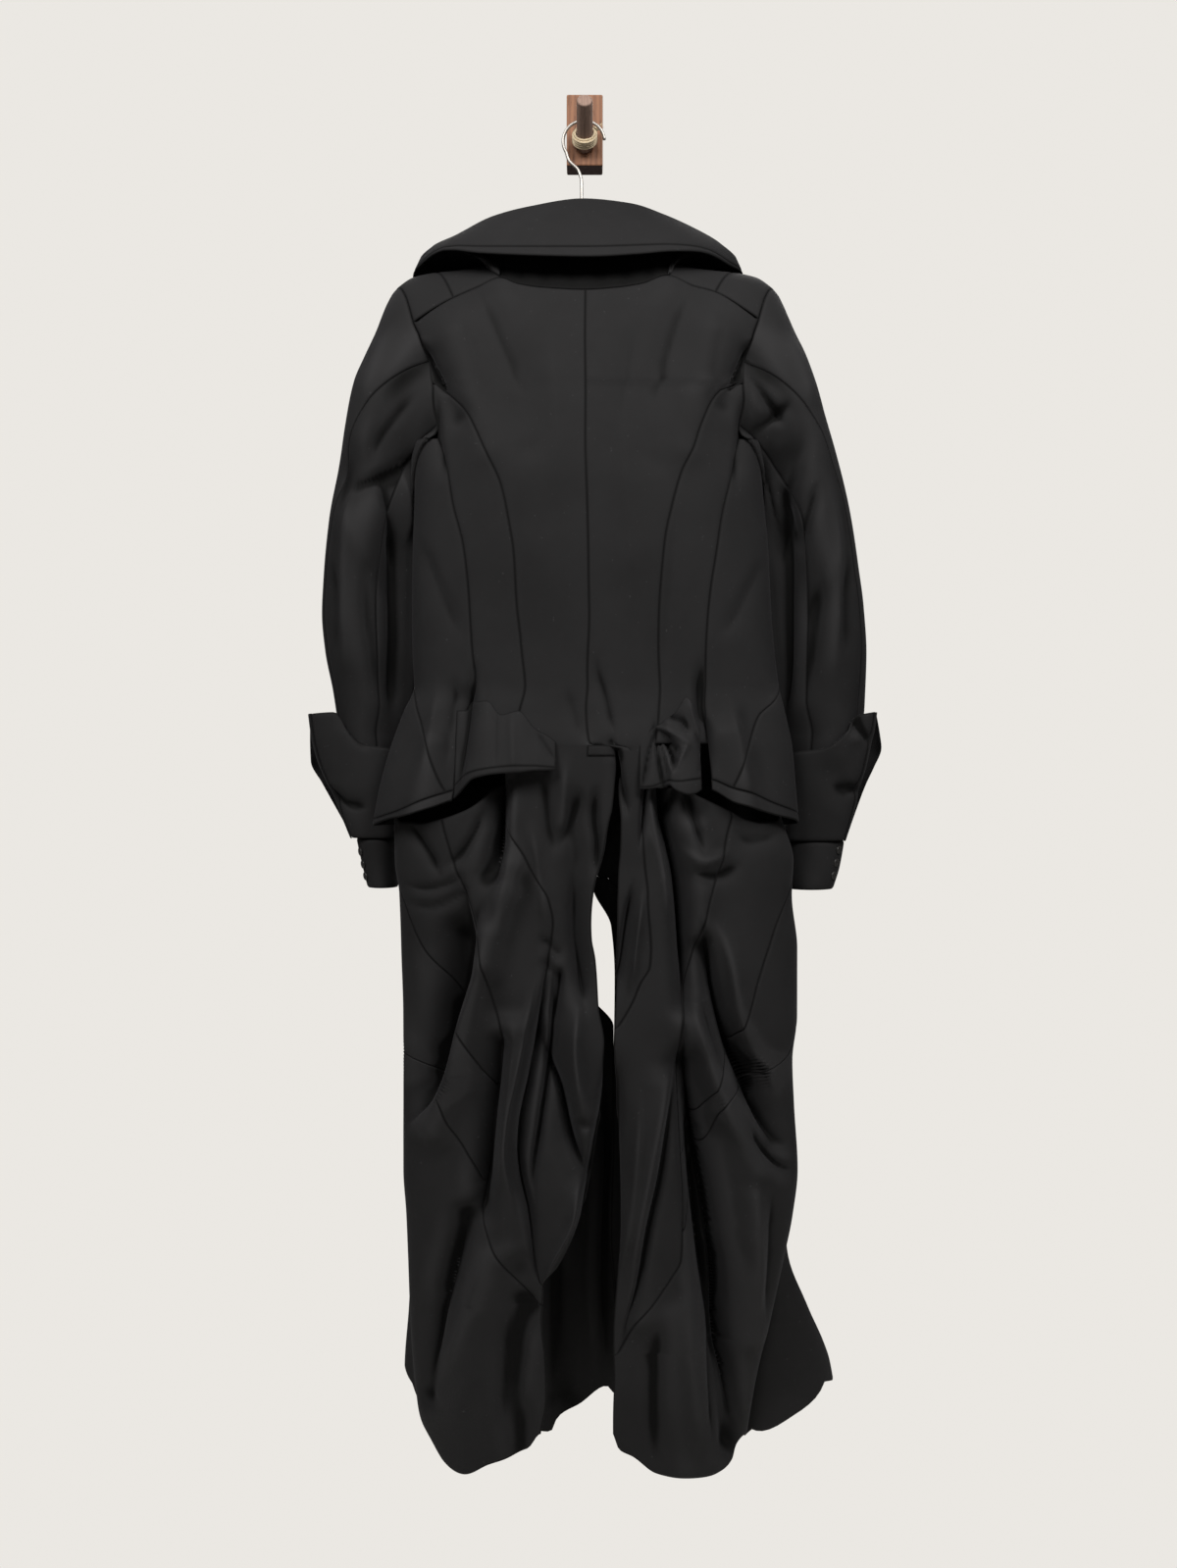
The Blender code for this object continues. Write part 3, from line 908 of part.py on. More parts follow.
class SleeveShell:
    """A sleeve: a tube from the armhole's own edge to the cuff seam.

    A point is found by its turn (0 on the outer edge, 0.25 on the back, 0.5 inside, 0.75 on the front)
    and its share of the way down from the armhole.
    """

    def __init__(self, sections, end, loop, folds, sign):
        self.table = columns(sections)
        self.end = curve(end if end[0][0] < end[-1][0] else end[::-1])
        self.turns, self.edge, self.out = loop
        self.folds = folds
        self.sign = sign

    def armhole(self, turn, values):
        return np.stack([np.interp(turn % 1, self.turns, values[:, k], period=1) for k in range(3)], -1)

    def clear(self, x, y, z):
        """x moved outward where it would come inside the torso under the armhole."""
        narrow = TORSO.read("front_left" if self.sign < 0 else "front_right", z)
        wide = TORSO.read("left" if self.sign < 0 else "right", z)
        side = TORSO.read("side", z)
        reach = np.where(y < side, (side - y) / (side - TORSO.read("back", z)),
                         (y - side) / (TORSO.read("front", z) - side))
        reach = np.clip(reach, 0, 1)
        half = np.where(y < side, wide, wide + (narrow - wide) * ease(reach / 0.4))
        skin = half * (1 - reach ** 2) ** (1 / 3)
        need = self.sign * skin + 1.2 * MM * ease((-366 * MM - z) / (8 * MM))
        below = ease((-362 * MM - z) / (8 * MM))
        return x + self.sign * np.maximum(need - self.sign * x, 0) * below

    def ring(self, turn, z):
        outer, inner, back, front = (smooth(z, self.table["z"], self.table[n])
                                     for n in ("outer", "inner", "back", "front"))
        angle = 2 * math.pi * turn
        return ((outer + inner) / 2 + (outer - inner) / 2 * np.cos(angle),
                (back + front) / 2 + (back - front) / 2 * np.sin(angle))

    def point(self, turn, share):
        turn, share = np.broadcast_arrays(np.asarray(turn, float), np.asarray(share, float))
        start = self.armhole(turn, self.edge)
        end_x, _ = self.ring(turn, -690 * MM)
        z = start[..., 2] + (self.end(end_x) - SLEEVE_TUCK - start[..., 2]) * share
        x0, y0 = self.ring(turn, start[..., 2])
        x, y = self.ring(turn, z)
        fade = np.clip(1 - share / SLEEVE_SETTLE, 0, 1) ** 2
        x = x + (start[..., 0] - x0) * fade
        y = y + (start[..., 1] - y0) * fade
        lift = np.zeros(turn.shape)
        wrapped = (turn + 0.5) % 1 - 0.5
        for depth, width, path in self.folds:
            lift = lift + depth * MM * np.exp(-(path_distance(wrapped, share, path) / width) ** 2)
        lift = lift * ease(share / 0.1)
        angle = 2 * math.pi * turn
        x = x + self.sign * np.cos(angle) * lift
        y = y - np.sin(angle) * lift
        return np.stack([self.clear(x, y, z), y, z], -1)

    def normal(self, turn, share):
        e = 2e-3
        low, high = np.clip(share - e, 0, 1), np.clip(share + e, 0, 1)
        across = self.point(turn + e, share) - self.point(turn - e, share)
        down = self.point(turn, high) - self.point(turn, low)
        out = np.cross(down, across) * -self.sign
        return out / np.linalg.norm(out, axis=-1, keepdims=True)


def build_sleeve(tag, shell, seam_out, seam_in):
    """Top, back and under panel of one sleeve, with the armhole's own points along their upper edge."""
    shares = np.array([0, 0.05, 0.12, 0.21, 0.31, 0.43, 0.58, 0.78, 1.0])
    out_seam = smooth(shares, *np.array(seam_out).T)
    in_seam = smooth(shares, *np.array(seam_in).T)
    under_seam = np.full(len(shares), SLEEVE_SEAM_UNDER)
    for name, first, last in (("sleeve_top", under_seam - 1, out_seam), ("sleeve_back", out_seam, in_seam),
                              ("sleeve_under", in_seam, under_seam)):
        known = np.concatenate([shell.turns - 1, shell.turns])
        inside = known[(known > first[0] + 0.008) & (known < last[0] - 0.008)]
        share_across = (np.concatenate([[first[0]], inside, [last[0]]]) - first[0]) / (last[0] - first[0])
        inset = SEAM / 2 / 0.28
        turn = (first + inset)[:, None] * (1 - share_across) + (last - inset)[:, None] * share_across
        share = np.repeat(shares[:, None], turn.shape[1], 1)
        points = shell.point(turn, share)
        out = shell.normal(turn, share)
        body = shell.armhole(turn[0], shell.out)
        below = ease((0.13 - np.abs((turn[0] % 1) - 0.5)) / 0.06)[:, None]
        edge = body * (1 - below) + out[0] * below
        out[0] = edge / np.linalg.norm(edge, axis=-1, keepdims=True)
        points = points + np.array([shell.sign * 0.5 * MM, 0, 0])
        points[0, :, 2] += 0.5 * MM * below[:, 0]
        wall(f"{name}_{tag}", points, out)


def cuff_point(sections, turn, z):
    """A point of a narrow cuff, a closed oval tube."""
    table = columns(sections)
    outer, inner, back, front = (smooth(z, table["z"], table[n]) for n in ("outer", "inner", "back", "front"))
    angle = 2 * math.pi * turn
    x = (outer + inner) / 2 + (outer - inner) / 2 * np.cos(angle)
    y = (back + front) / 2 + (back - front) / 2 * np.sin(angle)
    return np.stack([x, y, np.broadcast_to(z, x.shape)], -1)


def wing_point(sections, end, turn, share):
    """A point of a flared cuff: turn 0 to 0.5 is its near layer from the open outer edge inward."""
    table = columns(sections)
    top, bottom = table["z"][-1], table["z"][0]
    turn, share = np.broadcast_arrays(np.asarray(turn, float), np.asarray(share, float))
    angle = 2 * math.pi * turn
    seam = curve(end)
    z = np.full(turn.shape, top)
    for _ in range(4):
        inner, near, far, back, front = (smooth(z, table["z"], table[n])
                                         for n in ("inner", "near", "far", "back", "front"))
        tip = np.where(turn < 0.5, near, far)
        x = (tip + inner) / 2 + (tip - inner) / 2 * np.cos(angle)
        high = seam(x) - SEAM
        z = high + (bottom - high) * share
    way = (z - bottom) / (top - bottom)
    gap = (WING_OPEN[1] + (WING_OPEN[0] - WING_OPEN[1]) * way) * MM
    middle = (back + front) / 2
    slack = gap * ease((1 + np.cos(angle)) / 1.2) * 0.8
    reach = np.abs(np.sin(angle)) ** 0.5 * ((front - back) / 2 - slack * 0.5)
    y = middle + np.where(turn < 0.5, -1, 1) * (slack * 0.5 + reach)
    return np.stack([x, y, z], -1)


def build_cuffs(tag, wing, end, cuff, buttons, sign):
    """The flared cuff with its edge band, the narrow cuff below it and three buttons."""
    top = wing[0].z
    seam = ((wing[0].far, top), *end) if sign < 0 else (*end[::-1], (wing[0].far, top))

    def at(turn, share):
        return wing_point(wing, seam, turn, share)

    def out_of(turn, share):
        e = 4e-3
        across = at(np.clip(turn + e, 0.012, 0.988), share) - at(np.clip(turn - e, 0.012, 0.988), share)
        along = at(turn, np.clip(share + e, 0, 1)) - at(turn, np.clip(share - e, 0, 1))
        out = np.cross(along, across) * -sign
        return out / np.linalg.norm(out, axis=-1, keepdims=True)

    turns = np.array([0.02, 0.07, 0.13, 0.19, 0.25, 0.32, 0.39, 0.46, 0.54, 0.61, 0.68, 0.75, 0.81, 0.87, 0.93, 0.98])
    turn, share = np.meshgrid(turns, np.linspace(0, 1, 6))
    wall(f"cuff_wing_{tag}", at(turn, share), out_of(turn, share))
    turn, share = np.meshgrid(np.array([0.022, 0.07]), np.linspace(0, 1, 6))
    out = out_of(turn, share)
    wall(f"cuff_edge_{tag}", at(turn, share) + out * (SOFT_FIT + 1 * MM), out, thickness=1 * MM)

    low, high = cuff[-1].z * MM, (wing[-1].z - 0.8) * MM
    turn, z = np.meshgrid(np.arange(CUFF_SIDES) / CUFF_SIDES, np.array([high, low]))
    points = cuff_point(cuff, turn, z)
    across = cuff_point(cuff, turn + 1e-3, z) - cuff_point(cuff, turn - 1e-3, z)
    rise = points[:1] - points[1:]
    wall(f"cuff_{tag}", points, unit(np.cross(np.broadcast_to(rise, points.shape), across)) * sign, closed=True)
    side = points[:, 1:3].mean(axis=1)
    run = (points[:, 2] - points[:, 1]).sum(axis=0)
    facing = Vector(unit(np.cross(side[0] - side[1], run)) * sign)
    for number, height in enumerate(buttons, 1):
        share = (height * MM - low) / (high - low)
        seat = Vector(side[1] * (1 - share) + side[0] * share) + facing * (BUTTON_THICK / 2 + 1.5 * SOFT_FIT)
        mesh = bmesh.new()
        place = Matrix.Translation(seat) @ facing.to_track_quat("Z", "Y").to_matrix().to_4x4()
        bmesh.ops.create_cone(mesh, cap_ends=True, segments=12, radius1=BUTTON_RADIUS, radius2=BUTTON_RADIUS * 0.9,
                              depth=BUTTON_THICK, matrix=place)
        mesh_object(f"cuff_button_{tag}{number}", mesh, "button")


def neckline(body):
    """The neck edge's own points with their outward directions and their places on the collar."""
    halves = []
    for tag in "lr":
        (centre, centre_out), (front, front_out), (yoke, yoke_out) = body[tag]
        inner = slice(3, 6) if tag == "l" else slice(2, None, -1)
        chest = 1 if tag == "l" else 3
        points = [front[0, chest], *yoke[::-1, 0], *centre[0, inner]]
        out = [front_out[0, chest], *yoke_out[::-1, 0], *centre_out[0, inner]]
        places = [0, *COLLAR_YOKE[::-1], *COLLAR_BACK]
        halves.append((np.array(points), np.array(out), np.array(places, float)))
    (points, out, places), (other, other_out, other_places) = halves
    return (np.concatenate([points[:-1], (points[-1:] + other[-1:]) / 2, other[-2::-1]]),
            np.concatenate([out, other_out[-2::-1]]), np.concatenate([places, 16 - other_places[-2::-1]]))


def unit(vectors):
    return vectors / np.linalg.norm(vectors, axis=-1, keepdims=True)


def build_collar(body):
    """Stand, fall and the fall's edge band, open at the front."""
    stations = np.arange(len(COLLAR), dtype=float)
    seam, seam_out, places = neckline(body)
    fold, edge = (np.stack([smooth(places, stations, np.array([getattr(c, n)[k] for c in COLLAR], float))
                            for k in range(3)], -1) * MM for n in ("fold", "edge"))
    along = unit(np.gradient(fold, axis=0))
    up = fold - seam
    up = unit(up - along * np.sum(up * along, axis=1, keepdims=True))
    down = edge - fold
    down = unit(down - along * np.sum(down * along, axis=1, keepdims=True))
    bend = np.arccos(np.clip(np.sum(up * down, axis=1), -1, 1))[:, None]
    away = unit(down - up * np.cos(bend))
    flat = 1 - bend / math.pi
    neck = seam + up * 0.5 * MM + seam_out * (0.1 * MM + 1.0 * MM * flat)
    drop = COLLAR_FOLD * np.sin(bend / 2)
    top = fold - up * (drop + 0.4 * MM + SEAM)
    stand = np.array([neck, neck * 0.5 + top * 0.5, top])
    out = sheet_out(stand, 1)
    wall("collar_stand", stand, out)

    start = stand[-1] - out[-1] * CLOTH + up * SEAM
    centre = start + up * 0.4 * MM + away * COLLAR_FOLD
    arc = [centre - away * COLLAR_FOLD * np.cos(bend * t) + up * COLLAR_FOLD * np.sin(bend * t)
           for t in (0.25, 0.5, 0.75, 1.0)]
    lower = [arc[-1] * (1 - t) + edge * t + away * COLLAR_BULGE * 1.6 * t * (1 - t)
             for t in (0.4, 1 - COLLAR_BAND)]
    fall = np.array([start, *arc, *lower])
    stand_out = out[-1]
    out = sheet_out(fall, -1)
    out[0] = -stand_out
    wall("collar_fall", fall, out)
    step = unit(edge - lower[-1])
    band = np.array([lower[-1] + step * SEAM, edge])
    wall("collar_band", band, np.array([out[-1], out[-1]]))


def sheet_out(rows, sign):
    """Outward direction of a grid of points."""
    return unit(np.cross(np.gradient(rows, axis=1), np.gradient(rows, axis=0))) * sign


def build_flap(tag, table):
    """A flap of the peplum folded over the centre back, and its hem band."""
    data = np.array(table, float) * MM
    x = np.linspace(data[0, 0], data[-1, 0], 9)
    top, seam, edge, lift_top, lift_edge = (smooth(x, data[:, 0], data[:, k]) for k in range(1, 6))
    shares = np.linspace(0, 1, 4)[:, None]
    z = top * (1 - shares) + seam * shares
    lift = lift_top + (lift_edge - lift_top) * shares ** 0.8
    low_z = np.array([seam - SEAM, edge])
    for name, heights, lifts in (("flap", z, lift), ("flap_band", low_z, np.array([lift_edge, lift_edge * 1.0]))):
        turn, _ = TORSO.turn_at(np.broadcast_to(x, heights.shape), heights, "B")
        base = TORSO.place(turn, heights)
        e = 1e-3
        across = TORSO.place(turn + e, heights) - TORSO.place(turn - e, heights)
        down = TORSO.place(turn, heights - e) - TORSO.place(turn, heights + e)
        out = np.cross(down, across)
        out /= np.linalg.norm(out, axis=-1, keepdims=True)
        wall(f"{name}_{tag}", base + np.array([0, -1, 0]) * lifts[..., None], out)


def main():
    build_block()
    build_peg()
    build_twine()
    build_hanger()
    build_bar_tack()
    necks = {}
    for tag, sections, end, folds, seam_out, seam_in, flap, wing, cuff, buttons, sign in (
            ("l", SLEEVE_L, SLEEVE_END_L, SLEEVE_FOLDS_L, SLEEVE_SEAM_OUT_L, SLEEVE_SEAM_IN_L, FLAP_L, WING_L,
             CUFF_L, BUTTONS_L, -1),
            ("r", SLEEVE_R, SLEEVE_END_R, SLEEVE_FOLDS_R, SLEEVE_SEAM_OUT_R, SLEEVE_SEAM_IN_R, FLAP_R, WING_R,
             CUFF_R, BUTTONS_R, 1)):
        body = build_torso(tag)
        build_skirt(tag)
        build_flap(tag, flap)
        yoke, yoke_neck = build_yokes(tag)
        necks[tag] = (body[0], body[3], yoke_neck)
        loop = armhole_loop(tag, yoke, *body)
        build_sleeve(tag, SleeveShell(sections, end, loop, folds, sign), seam_out, seam_in)
        build_cuffs(tag, wing, end, cuff, buttons, sign)
    build_collar(necks)


for old in list(bpy.data.objects):
    bpy.data.objects.remove(old, do_unlink=True)
PART = bpy.data.collections.new("wool_coat")
bpy.context.scene.collection.children.link(PART)
main()
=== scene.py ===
"""Looks of a long wool coat on a hanger, hung by a twine-wrapped peg from a wooden wall block.

Every cloth piece is a fine grid on the same smooth forms as its solid: a shell reads its section at each
height from a table, seam lines bound each piece on it, and folds and creases lift its surface.
Tables are in millimetres, top to bottom, and MM turns them into metres. The coat's back faces -Y.
"""

import math
from collections import namedtuple
from functools import cache

import bpy
import numpy as np
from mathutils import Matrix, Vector


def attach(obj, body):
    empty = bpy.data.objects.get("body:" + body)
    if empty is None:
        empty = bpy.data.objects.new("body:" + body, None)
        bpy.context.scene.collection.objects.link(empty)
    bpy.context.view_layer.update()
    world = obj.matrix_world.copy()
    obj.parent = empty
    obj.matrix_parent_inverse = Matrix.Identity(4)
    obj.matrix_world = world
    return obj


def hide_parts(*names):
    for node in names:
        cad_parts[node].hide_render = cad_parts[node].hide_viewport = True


bl_info = {
    "name": "Wool coat on a hanger",
    "version": (1, 0, 0),
    "blender": (4, 5, 0),
    "location": "View3D > Sidebar > Coat",
    "description": "Builds a long tailored wool coat, its hanger and its wall peg on their packed frame",
    "category": "Object",
}

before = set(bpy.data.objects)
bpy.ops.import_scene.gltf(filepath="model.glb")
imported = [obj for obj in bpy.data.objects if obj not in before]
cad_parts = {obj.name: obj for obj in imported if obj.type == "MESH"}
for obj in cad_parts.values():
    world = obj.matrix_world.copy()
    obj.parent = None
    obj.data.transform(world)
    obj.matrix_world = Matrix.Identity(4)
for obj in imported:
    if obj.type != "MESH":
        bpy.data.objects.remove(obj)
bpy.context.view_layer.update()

MM = 0.001
CLOTH = 2.0 * MM            # thickness of the wool
SOFT_FIT = 0.4 * MM         # clearance of a piece that lies on something
ROW_STEP = 3.66 * MM        # grid of the cloth, down and across
COLUMN_STEP = 3.66 * MM
SEAM_ROLL = 0.9 * MM        # how far a seamed edge turns in
ROLL_WIDTH = 1.5 * MM
FOCAL = 31.812              # camera lens for a sensor 36 mm high
SLEEVE_GIRTH = 0.28         # round the sleeve, to turn lengths into turns
NARROWEST = 0.0101          # smallest width and length that cloth() works out for a sheet
COLLAR_STAND_OFF = 14 * MM  # how far the fall's outer edge stands off the back
SLEEVE_SLOPE = 0.55         # how much thinner the sleeve's inner half is than its outer one
SLEEVE_HUG = 12 * MM        # how far the sleeve's inside presses towards the body
HUG_START, HUG_END, HUG_RUN = -360, -650, 40        # mm: the levels between which it presses, and its fading
CLEAR_START, CLEAR_FULL, CLEAR_RUN = -362, -366, 8  # mm: from where it is kept off the body, and with a gap
SQUARENESS = 3.0            # of a section: 2 is an ellipse, more is squarer
FRONT_TURN = 0.4            # how far round to the front a section takes to reach its front's width
BLUNT = 0.05                # how blunt a crease's line is
CREASE_FADE = 0.33          # share of a crease's path over which it fades at each end
CREASE_REACH = 3.6          # how many widths away a crease still acts
HOLLOW_REACH = 5            # grid cells each way over which a hollow is measured
NARROW_SHARE = 0.34         # of its box that a sheet fills at least
BELOW = 0.002               # mm under a join that leave the join's own row to the seam above it
SIGN = {"l": -1, "r": 1}    # of x on each half
# Rough length of a piece's side in metres, which sets how many rows or columns its grid has
SIDE = dict(sleeve=0.48, yoke=0.16, hem_band=0.27, wing_round=0.26, wing_down=0.13, wing_band=0.016, collar=0.05,
            collar_band=0.011, flap=0.08, flap_band=0.01, tack_across=0.03, tack_down=0.011)

# Levels in mm: the torso's upper end, the end of the neck's effect, and the ends of its seams and pieces
TORSO_TOP, NECK_FADE, PRINCESS_TOP, UNDERARM, GODET_TOP, CUFF_SEAM = -205, -262, -312, -370, -637, -690
BACK_SIDE_END, CENTRE_JOIN, TORSO_END = -700, -704, -750
SKIRT_TOP, HEM_FADE, HEM = -745, -1345, -1460    # the centre backs pass to the skirt's form at SKIRT_TOP

# Wall block, peg and twine
BLOCK_SIZE = (41 * MM, 26 * MM, 81 * MM)
PEG_RADIUS = 9.3 * MM
PEG_LENGTH = 60 * MM
PEG_RISE = math.radians(24)
PEG_HEIGHT = -17 * MM       # of the peg's axis at the block's face
TWINE_RADIUS = 1.3 * MM
TWINE_TURNS = 4
TWINE_START = 6.6 * MM      # along the peg from the block's face

# Hanger
HOOK_WIRE = 1.75 * MM
HOOK_RADIUS = 23.2 * MM
HOOK_ARC = (5, 210)         # degrees round its centre from its tip to its stem
HOOK_DEPTH = -42 * MM       # y of the hook's plane at the peg
HOOK_LIFT = -20.5 * MM      # height of the hook's centre, so that its wire rests on the peg
HANGER_DEPTH = -53 * MM     # y of the hanger's bar
HANGER_RADIUS = 6.5 * MM
HANGER_REACH = 170 * MM


def pairs(text):
    """Pairs of numbers from a text."""
    values = [float(word) for word in text.split()]
    return list(zip(values[::2], values[1::2]))


def table(fields, text):
    """One record per line. Words stay words, and a field called path takes all the pairs that are left."""
    record, found = namedtuple("Record", fields), []
    for line in text.strip().splitlines():
        words = [word if word.isalpha() else float(word) for word in line.split()]
        if record._fields[-1] == "path":
            start = len(record._fields) - 1
            words[start:] = [list(zip(words[start::2], words[start + 1::2]))]
        found.append(record(*words))
    return found


def seams(text):
    """Seam lines by name. After a name, B (back) or F (front) and then x and z of each point on that side."""
    found, words = {}, iter(text.split())
    for word in words:
        if word in "BF":
            side = word
        elif word[0].isalpha():
            points = found[word] = []
        else:
            points.append((side, float(word), float(next(words))))
    return found


# Shoulder line: height of the ridge over the hanger, by distance from the centre
RIDGE = pairs("0 -160 80 -163 110 -168 140 -172 167 -174.5 190 -179 205 -188 219 -201")
# Distance from the centre at the yoke's back seam, its ridge and its front seam
NECK_CORNER = (92, 97, 96)
CROSS_SEAM = (142, 168, 160)
SHOULDER_TIP = {"l": (186, 214, 203), "r": (189, 216, 206)}
RIDGE_DEPTH = -54 * MM      # y of the ridge
RIDGE_ROUND = 70 * MM       # drop over which the shoulder rounds into the back
RIDGE_ROUND_FRONT = 45 * MM

SECTION = "z left right front_left front_right back side front"
TORSO_SECTIONS = table(SECTION, """
-160 -236 240 -236 240 -106 -54 -22
-210 -232 236 -232 236 -112 -56 -20
-262 -222 226 -222 226 -122 -62 -17
-320 -204 210 -204 210 -131 -68 -14
-372 -187 193 -187 193 -136 -72 -13
-421 -187 196 -183 192 -138 -74 -13
-485 -189 202 -184 194 -136 -74 -13
-550 -190 205 -184 194 -131 -74 -14
-600 -189 209 -183 194 -128 -76 -15
-636 -187 213 -180 194 -127 -80 -16
-665 -198 219 -180 196 -130 -86 -16
-703 -211 226 -182 198 -137 -92 -15
-745 -222 229 -184 200 -146 -97 -14
-785 -229 232 -186 202 -152 -100 -13
""")
SKIRT_SECTIONS = table(SECTION, """
-703 -184 194 -168 184 -137 -92 -28
-745 -196 203 -170 182 -138 -97 -26
-785 -206 215 -174 188 -139 -99 -24
-827 -206 227 -182 198 -140 -94 -21
-862 -202 226 -188 205 -143 -88 -18
-923 -201 233 -190 210 -145 -80 -17
-996 -199 233 -190 212 -146 -79 -16
-1045 -199 228 -190 212 -146 -78 -16
-1094 -199 230 -190 214 -146 -77 -15
-1166 -199 234 -190 218 -146 -76 -14
-1213 -196 229 -192 222 -146 -75 -14
-1264 -194 219 -196 232 -145 -74 -13
-1324 -192 206 -204 260 -144 -73 -12
-1390 -188 190 -212 288 -143 -72 -12
-1460 -178 178 -214 298 -142 -72 -12
-1500 -170 170 -214 300 -142 -72 -12
""")

# Upper edge of the back and front panels: neck seam in the middle, yoke seam to each side
TORSO_TOP_BACK = pairs("""
-186 -242 -151 -221 -115 -203 -92 -193 -73 -202 -46 -207.5 0 -210.5 36 -207.5 63 -202 90 -190 118 -202 139 -208
178 -231 189 -238
""")
TORSO_TOP_FRONT = pairs("""
-205 -226 -180 -222 -140 -212 -96 -204 -70 -240 -40 -262 0 -272 40 -262 70 -240 96 -204 140 -212 180 -222
205 -226
""")
# Peplum: hem seam and the lower edge of its band
PEPLUM_SEAM = pairs("""
-229 -783 -188 -769 -173 -762 -147 -752 -137 -749 0 -745 132 -738 155 -747 177 -753 198 -762 230 -774
""")
PEPLUM_EDGE = pairs("""
-229 -789 -205 -780 -193 -778 -157 -767 -139 -760 0 -755 132 -749 157 -763 168 -766 202 -776 230 -782
""")
PEPLUM_SEAM_FRONT, PEPLUM_EDGE_FRONT = -778, -789
# Skirt: upper edge, a cowl dipping under the peplum on each side, and the hem
SKIRT_TOP_BACK = pairs("""
-208 -752 -200 -770 -190 -783 -167 -785 -152 -782 -122 -771 -107 -760 -98 -749 -88 -745 0 -745 66 -745 100 -748
122 -757 150 -772 165 -781 177 -784 193 -783 207 -776 222 -756
""")
HEM_BACK = pairs("""
-186 -1405 -181 -1430 -164 -1450 -148 -1466 -127 -1474 -102 -1463 -61 -1447 -45 -1428 27 -1425 36 -1444
51 -1452 76 -1470 105 -1477 138 -1481 152 -1479 165 -1474 174 -1460 184 -1425
""")
HEM_FRONT = pairs("""
-212 -1375 -199 -1396 -120 -1452 -40 -1484 -31 -1468 -6 -1454 26 -1432 34 -1440 90 -1468 188 -1476 233 -1447
262 -1424 272 -1410
""")

# Seam lines of each half. The princess seam runs down into the first spiral seam; the spiral seams climb
# round the outer side of the skirt on to the hidden front. The centres share their upper part.
SEAMS = {
    "l": seams("""
armhole_back B -186 -242 -176 -268 -169 -295 -165 -312 -163 -345 -161 -370
armhole_front F -203 -226 -180 -256 -164 -295 -158 -335 -163 -370
princess B -162 -312 -146 -326 -128 -344 -115 -366 -103 -393 -89 -425 -81 -461 -75 -500 -72 -553 -68 -590
-66 -654 -78 -700 -88 -745 -83 -789 -64 -818 -52 -842 -38 -864 -33 -887 -35 -907 -50 -996 -60 -1051 -70 -1099
-72 -1131 -70 -1153 -60 -1196 -52 -1249 -46.5 -1270
side_back B -161 -370 -158 -377 -148 -405 -141 -443 -130 -486 -125 -525 -123 -553 -121 -588 -117 -630 -127 -662
-139 -749
side_front F -163 -370 -166 -450 -174 -550 -186.9 -637
godet_back B -186.9 -637 -184 -650 -178 -670 -165 -703 -147 -752
godet_front F -186.9 -637 -174 -670 -158 -710 -146 -775
centre B 1 -210 4 -491 5 -554 3 -645 5 -699 7 -701.5 31 -705.5 34 -715 33 -739 30 -766 24 -792 14 -835 9 -859
7 -907 11 -929 15 -978 21 -1018 20 -1049 16 -1093 12 -1113 3 -1168 -3 -1197 -15 -1227 -28 -1251 -43 -1270
-45 -1300 -41 -1350 -40 -1390 -45 -1430 -45 -1460
front_edge F -1 -272 -1 -640 -6 -745 -9 -790 -8 -860 -8 -950 6 -985 33 -1020 34 -1120 35 -1432
spiral_1 B -152 -781 -147 -800 -136 -836 -115 -890 -103 -939 -96 -968 -87 -1011 -94 -1064 -101 -1123 -108 -1169
-111 -1195 -102 -1218 -84 -1249 -64 -1272 -48 -1291
spiral_2 F -60 -746 -130 -785 -178 -818 -204 -848 B -197 -866 -177 -920 -158 -951 -142 -983 -116 -1030
-97 -1064
spiral_3 F -12 -846 -80 -920 -150 -985 -188 -1025 B -192 -1045 -153 -1075 -142 -1105 -129 -1126 -118 -1148
-111 -1168
"""),
    "r": seams("""
armhole_back B 189 -238 180 -267 174 -294 172 -313 172 -343 170 -370
armhole_front F 206 -226 184 -256 170 -295 164 -335 169 -370
princess B 169 -312 146 -322 134 -338 126 -355 116 -384 103 -412 93 -448 86 -481 81 -533 79 -593 78 -679
70 -715 66 -745 61 -788 63 -820 67 -860 70 -910 69 -935 59 -953 50 -974 34.5 -1000
side_back B 170 -370 168 -377 159 -409 146 -461 139 -507 136 -525 131 -575 129 -634 128 -662 134 -745
side_front F 169 -370 173 -450 190 -550 212.9 -637
godet_back B 212.9 -637 208 -650 187 -670 174 -703 156 -745
godet_front F 212.9 -637 190 -670 172 -710 160 -775
centre B 1 -210 4 -491 5 -554 3 -645 5 -699 7 -701.5 32 -705.5 36 -715 38 -740 38 -770 36 -830 35 -890 34 -940
31 -1005 35 -1060 37 -1150 36 -1238 31 -1301 31 -1377 30 -1430 32 -1460
front_edge F 1 -272 1 -640 3 -745 3 -790 4 -846 11 -868 30 -905 34 -955 34 -990 33 -1040 35 -1432
spiral_1 B 158 -782 149 -812 140 -842 126 -891 116 -920 108 -951 105 -975 102 -1010 103 -1136 104 -1215
102 -1245 92 -1262 72 -1288 53 -1310 42 -1330 34.5 -1344
spiral_2 F 60 -746 140 -780 200 -826 B 225 -850 202 -903 186 -948 175 -983 159 -1020 138 -1062 118 -1100
106 -1136
spiral_3 F 26 -850 100 -920 170 -965 232.8 -1000 B 222 -1035 180 -1058 143 -1083 135 -1109 120 -1150 107 -1213
"""),
}
for lines in SEAMS.values():
    lines["princess_top"], lines["princess_low"] = lines["princess"][:14], lines["princess"][12:]
